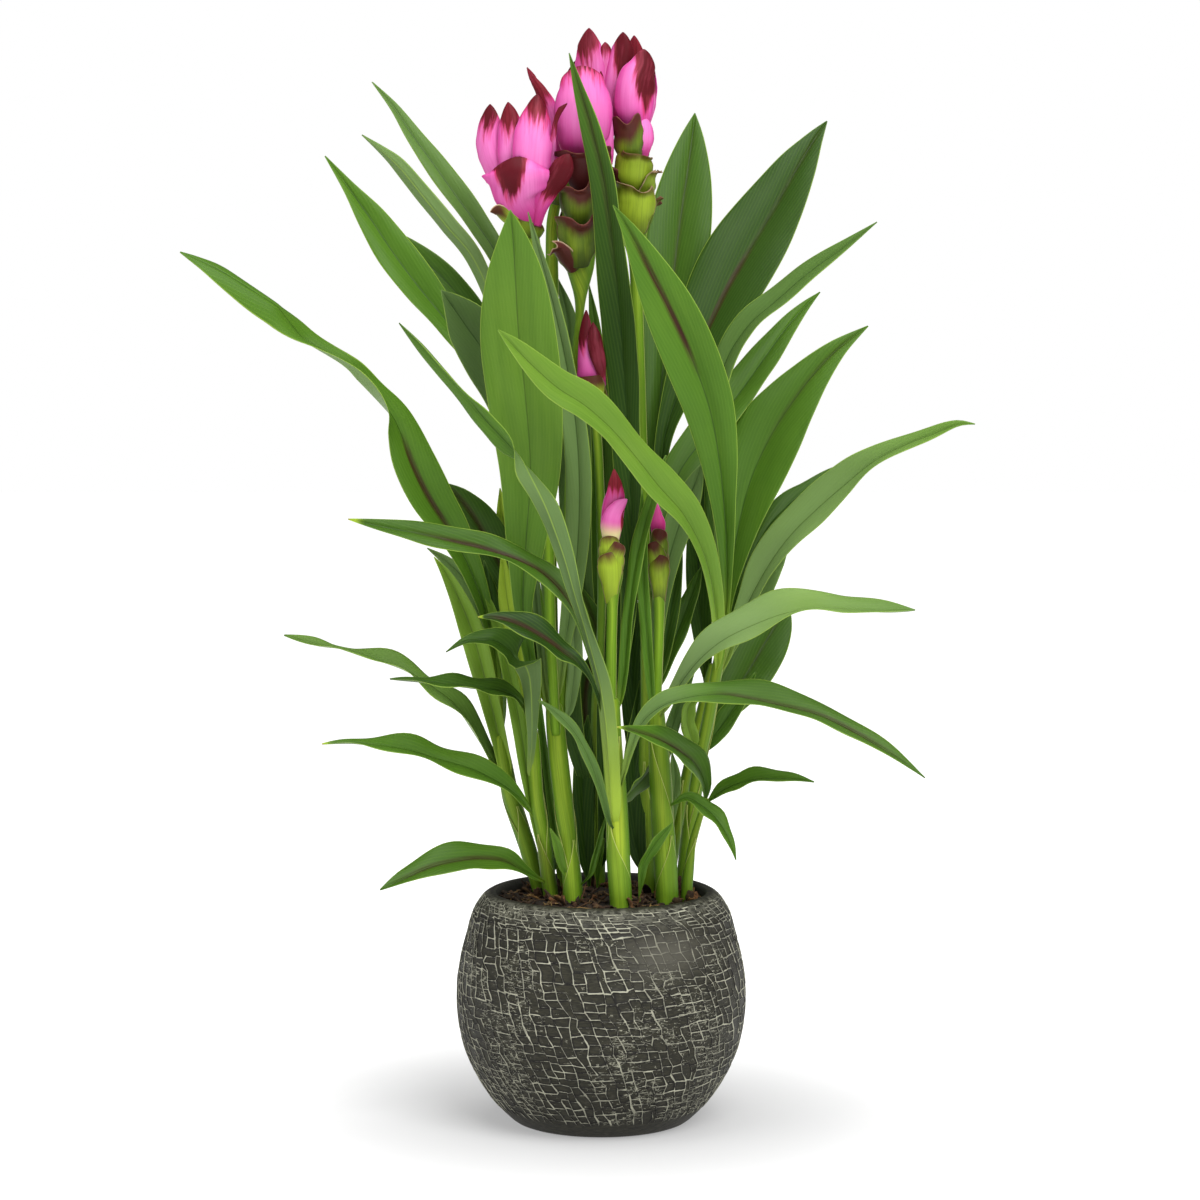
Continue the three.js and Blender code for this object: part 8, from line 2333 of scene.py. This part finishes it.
    def _fibre(self, surface: Surface, rng: Random, finish: int) -> None:
        """Adds one thin root fibre.

        Args:
            surface: Where the fibre goes.
            rng: Source of its shape, place and colour.
            finish: Index of the material.
        """
        _, x, y = self._scattered(rng, self.fibre_within)
        heading = rng.random() * TURN
        rows = []
        for _ in range(self.fibre_rows):
            rows.append([x, y, self.height(x, y) + 0.7 + rng.random() * 1.2, rng.uniform(*self.fibre_radius)])
            heading += rng.normal(0, 0.5)
            x, y = x + self.fibre_step * math.cos(heading), y + self.fibre_step * math.sin(heading)
            if math.hypot(x, y) > self.fibre_room:
                x, y = x * 0.94, y * 0.94
        tone = rng.uniform(0.6, 1.6)
        tint = (tone, tone, tone, 1.0)
        add_tube(surface, np.array(rows), self.fibre_sides, self.fibre_rings, tint, finish)

    def dress(self, materials: Sequence[Material], rng: Random) -> int:
        """Builds the soil.

        Args:
            materials: Those of the bed, the bark chips and the fibres.
            rng: Source of the scatter.

        Returns:
            How many loose bits lie on the bed.
        """
        surface = Surface()
        self._bed(surface)
        for _ in range(self.chips):
            self._chip(surface, rng, 1)
        for _ in range(self.fibres):
            self._fibre(surface, rng, 2)
        for k in range(self.husks):
            self._husk(surface, rng, 1 + k % 2)
        attach(surface.build("potting_soil", materials), Slot.SOIL, "soil")
        return self.chips + self.fibres + self.husks


# Studio


@dataclass(frozen=True)
class Lamp:
    """One soft square lamp, by its place and size in metres and its power in watts."""

    at: tuple[float, float, float]
    size: float
    power: float


@dataclass(frozen=True)
class Studio:
    """Pale floor, white surroundings, soft lights and the camera of the photograph."""

    camera_at: tuple[float, float, float] = (-0.00066, -1.82, 0.437)
    pitch: float = 4.672
    lens: float = 100.0
    floor_size: float = 14.0
    floor_colour: Rgb = (0.40, 0.40, 0.40)
    # Glow next to the pot, a painted shadow; it rises to white between glow_from and glow_to metres out.
    floor_glow: Rgb = (0.36, 0.36, 0.36)
    white: Rgb = (1.0, 1.0, 1.0)
    sky: float = 0.20
    glow_from: float = 0.05
    glow_to: float = 0.32
    aimed_at: tuple[float, float, float] = (0, 0, 0.25)
    key: Lamp = Lamp((0.9, -1.8, 2.1), 1.8, 72.0)
    top: Lamp = Lamp((0.0, -0.3, 2.5), 1.8, 36.0)
    side: Lamp = Lamp((-2.2, -1.2, 1.3), 1.6, 15.0)

    def _floor(self) -> None:
        """Lays the floor, which glows white far from the pot and less near it: a painted shadow."""
        coat = Coat("pale floor")
        away = coat.node("ShaderNodeVectorMath", coat.place(), operation="LENGTH").outputs["Value"]
        # Painted shadow: the floor glows less near the pot and white far from it.
        glow = coat.ranged(away, self.glow_from, self.glow_to)
        shine = {"Emission Color": coat.blend(glow, self.floor_glow, self.white), "Emission Strength": 1.0}
        coat.feed_all(coat.shader, shine)
        half = self.floor_size / MM / 2
        corners = np.array([[-half, -half, 0], [half, -half, 0], [half, half, 0], [-half, half, 0]])
        surface = Surface()
        surface.add(corners, np.array([[0, 1, 2, 3]]), {})
        surface.build("studio_floor", [coat.done(self.floor_colour, 0.7, 0.1)])

    def _world(self) -> None:
        """Lights the surroundings evenly and shows them white."""
        world = bpy.data.worlds.new("white surroundings")
        bpy.context.scene.world = world
        world.use_nodes = True
        bench = Bench(world.node_tree)
        seen = bench.node("ShaderNodeLightPath").outputs["Is Camera Ray"]
        light = {"Color": self.white, "Strength": bench.between(seen, self.sky, 1.0)}
        bench.feed_all(world.node_tree.nodes["Background"], light)

    def _lamp(self, name: str, lamp: Lamp) -> None:
        """Hangs one lamp that faces the plant.

        Args:
            name: Name of the lamp.
            lamp: Its place, size and power.
        """
        light = bpy.data.lights.new(name, "AREA")
        light.size, light.energy = lamp.size, lamp.power
        holder = linked(name, light)
        holder.location = lamp.at
        aim = Vector(self.aimed_at) - Vector(lamp.at)
        holder.rotation_euler = aim.to_track_quat("-Z", "Y").to_euler()

    def set_up(self) -> None:
        """Sets up floor, lights, camera and view."""
        self._floor()
        self._world()
        for name, lamp in (("key_light", self.key), ("top_light", self.top), ("side_light", self.side)):
            self._lamp(name, lamp)
        data = bpy.data.cameras.new("photo_camera")
        data.lens = self.lens
        camera = linked("photo_camera", data)
        camera.location = self.camera_at
        camera.rotation_euler = (math.radians(90 - self.pitch), 0, 0)
        bpy.context.scene.camera = camera
        bpy.context.scene.view_settings.view_transform = "Standard"


PEAT = EarthFinish("peat", (0.007, 0.004, 0.002), (0.030, 0.016, 0.008), (0.09, 0.05, 0.024))
BARK = EarthFinish("bark", (0.018, 0.008, 0.003), (0.062, 0.030, 0.011), (0.19, 0.105, 0.036), 420.0)
ROOT = EarthFinish("root fibre", (0.09, 0.05, 0.018), (0.26, 0.16, 0.05), (0.44, 0.31, 0.11), 300.0)


def main() -> None:
    """Builds the plant, its pot and the studio."""
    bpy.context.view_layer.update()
    rng = np.random.default_rng(SEED)
    effects = Effects()
    stem, pink, green = (kind().material(effects) for kind in (StemFinish, PinkFinish, GreenBractFinish))
    log.info("pot: %d points", Pot().dress(PotFinish().material(effects), rng))
    log.info("soil: %d loose bits", Soil().dress([kind.material() for kind in (PEAT, BARK, ROOT)], rng))
    log.info("shoots: %d stems", Shoots().dress(stem))
    log.info("foliage: %d leaves", Foliage().dress(LeafFinish().material(effects)))
    log.info("blooms: %d bracts", Blooms().dress(pink, green, stem))
    Studio().set_up()


if __name__ == "__main__":
    logging.basicConfig(level=logging.INFO, format="%(message)s")
    main()
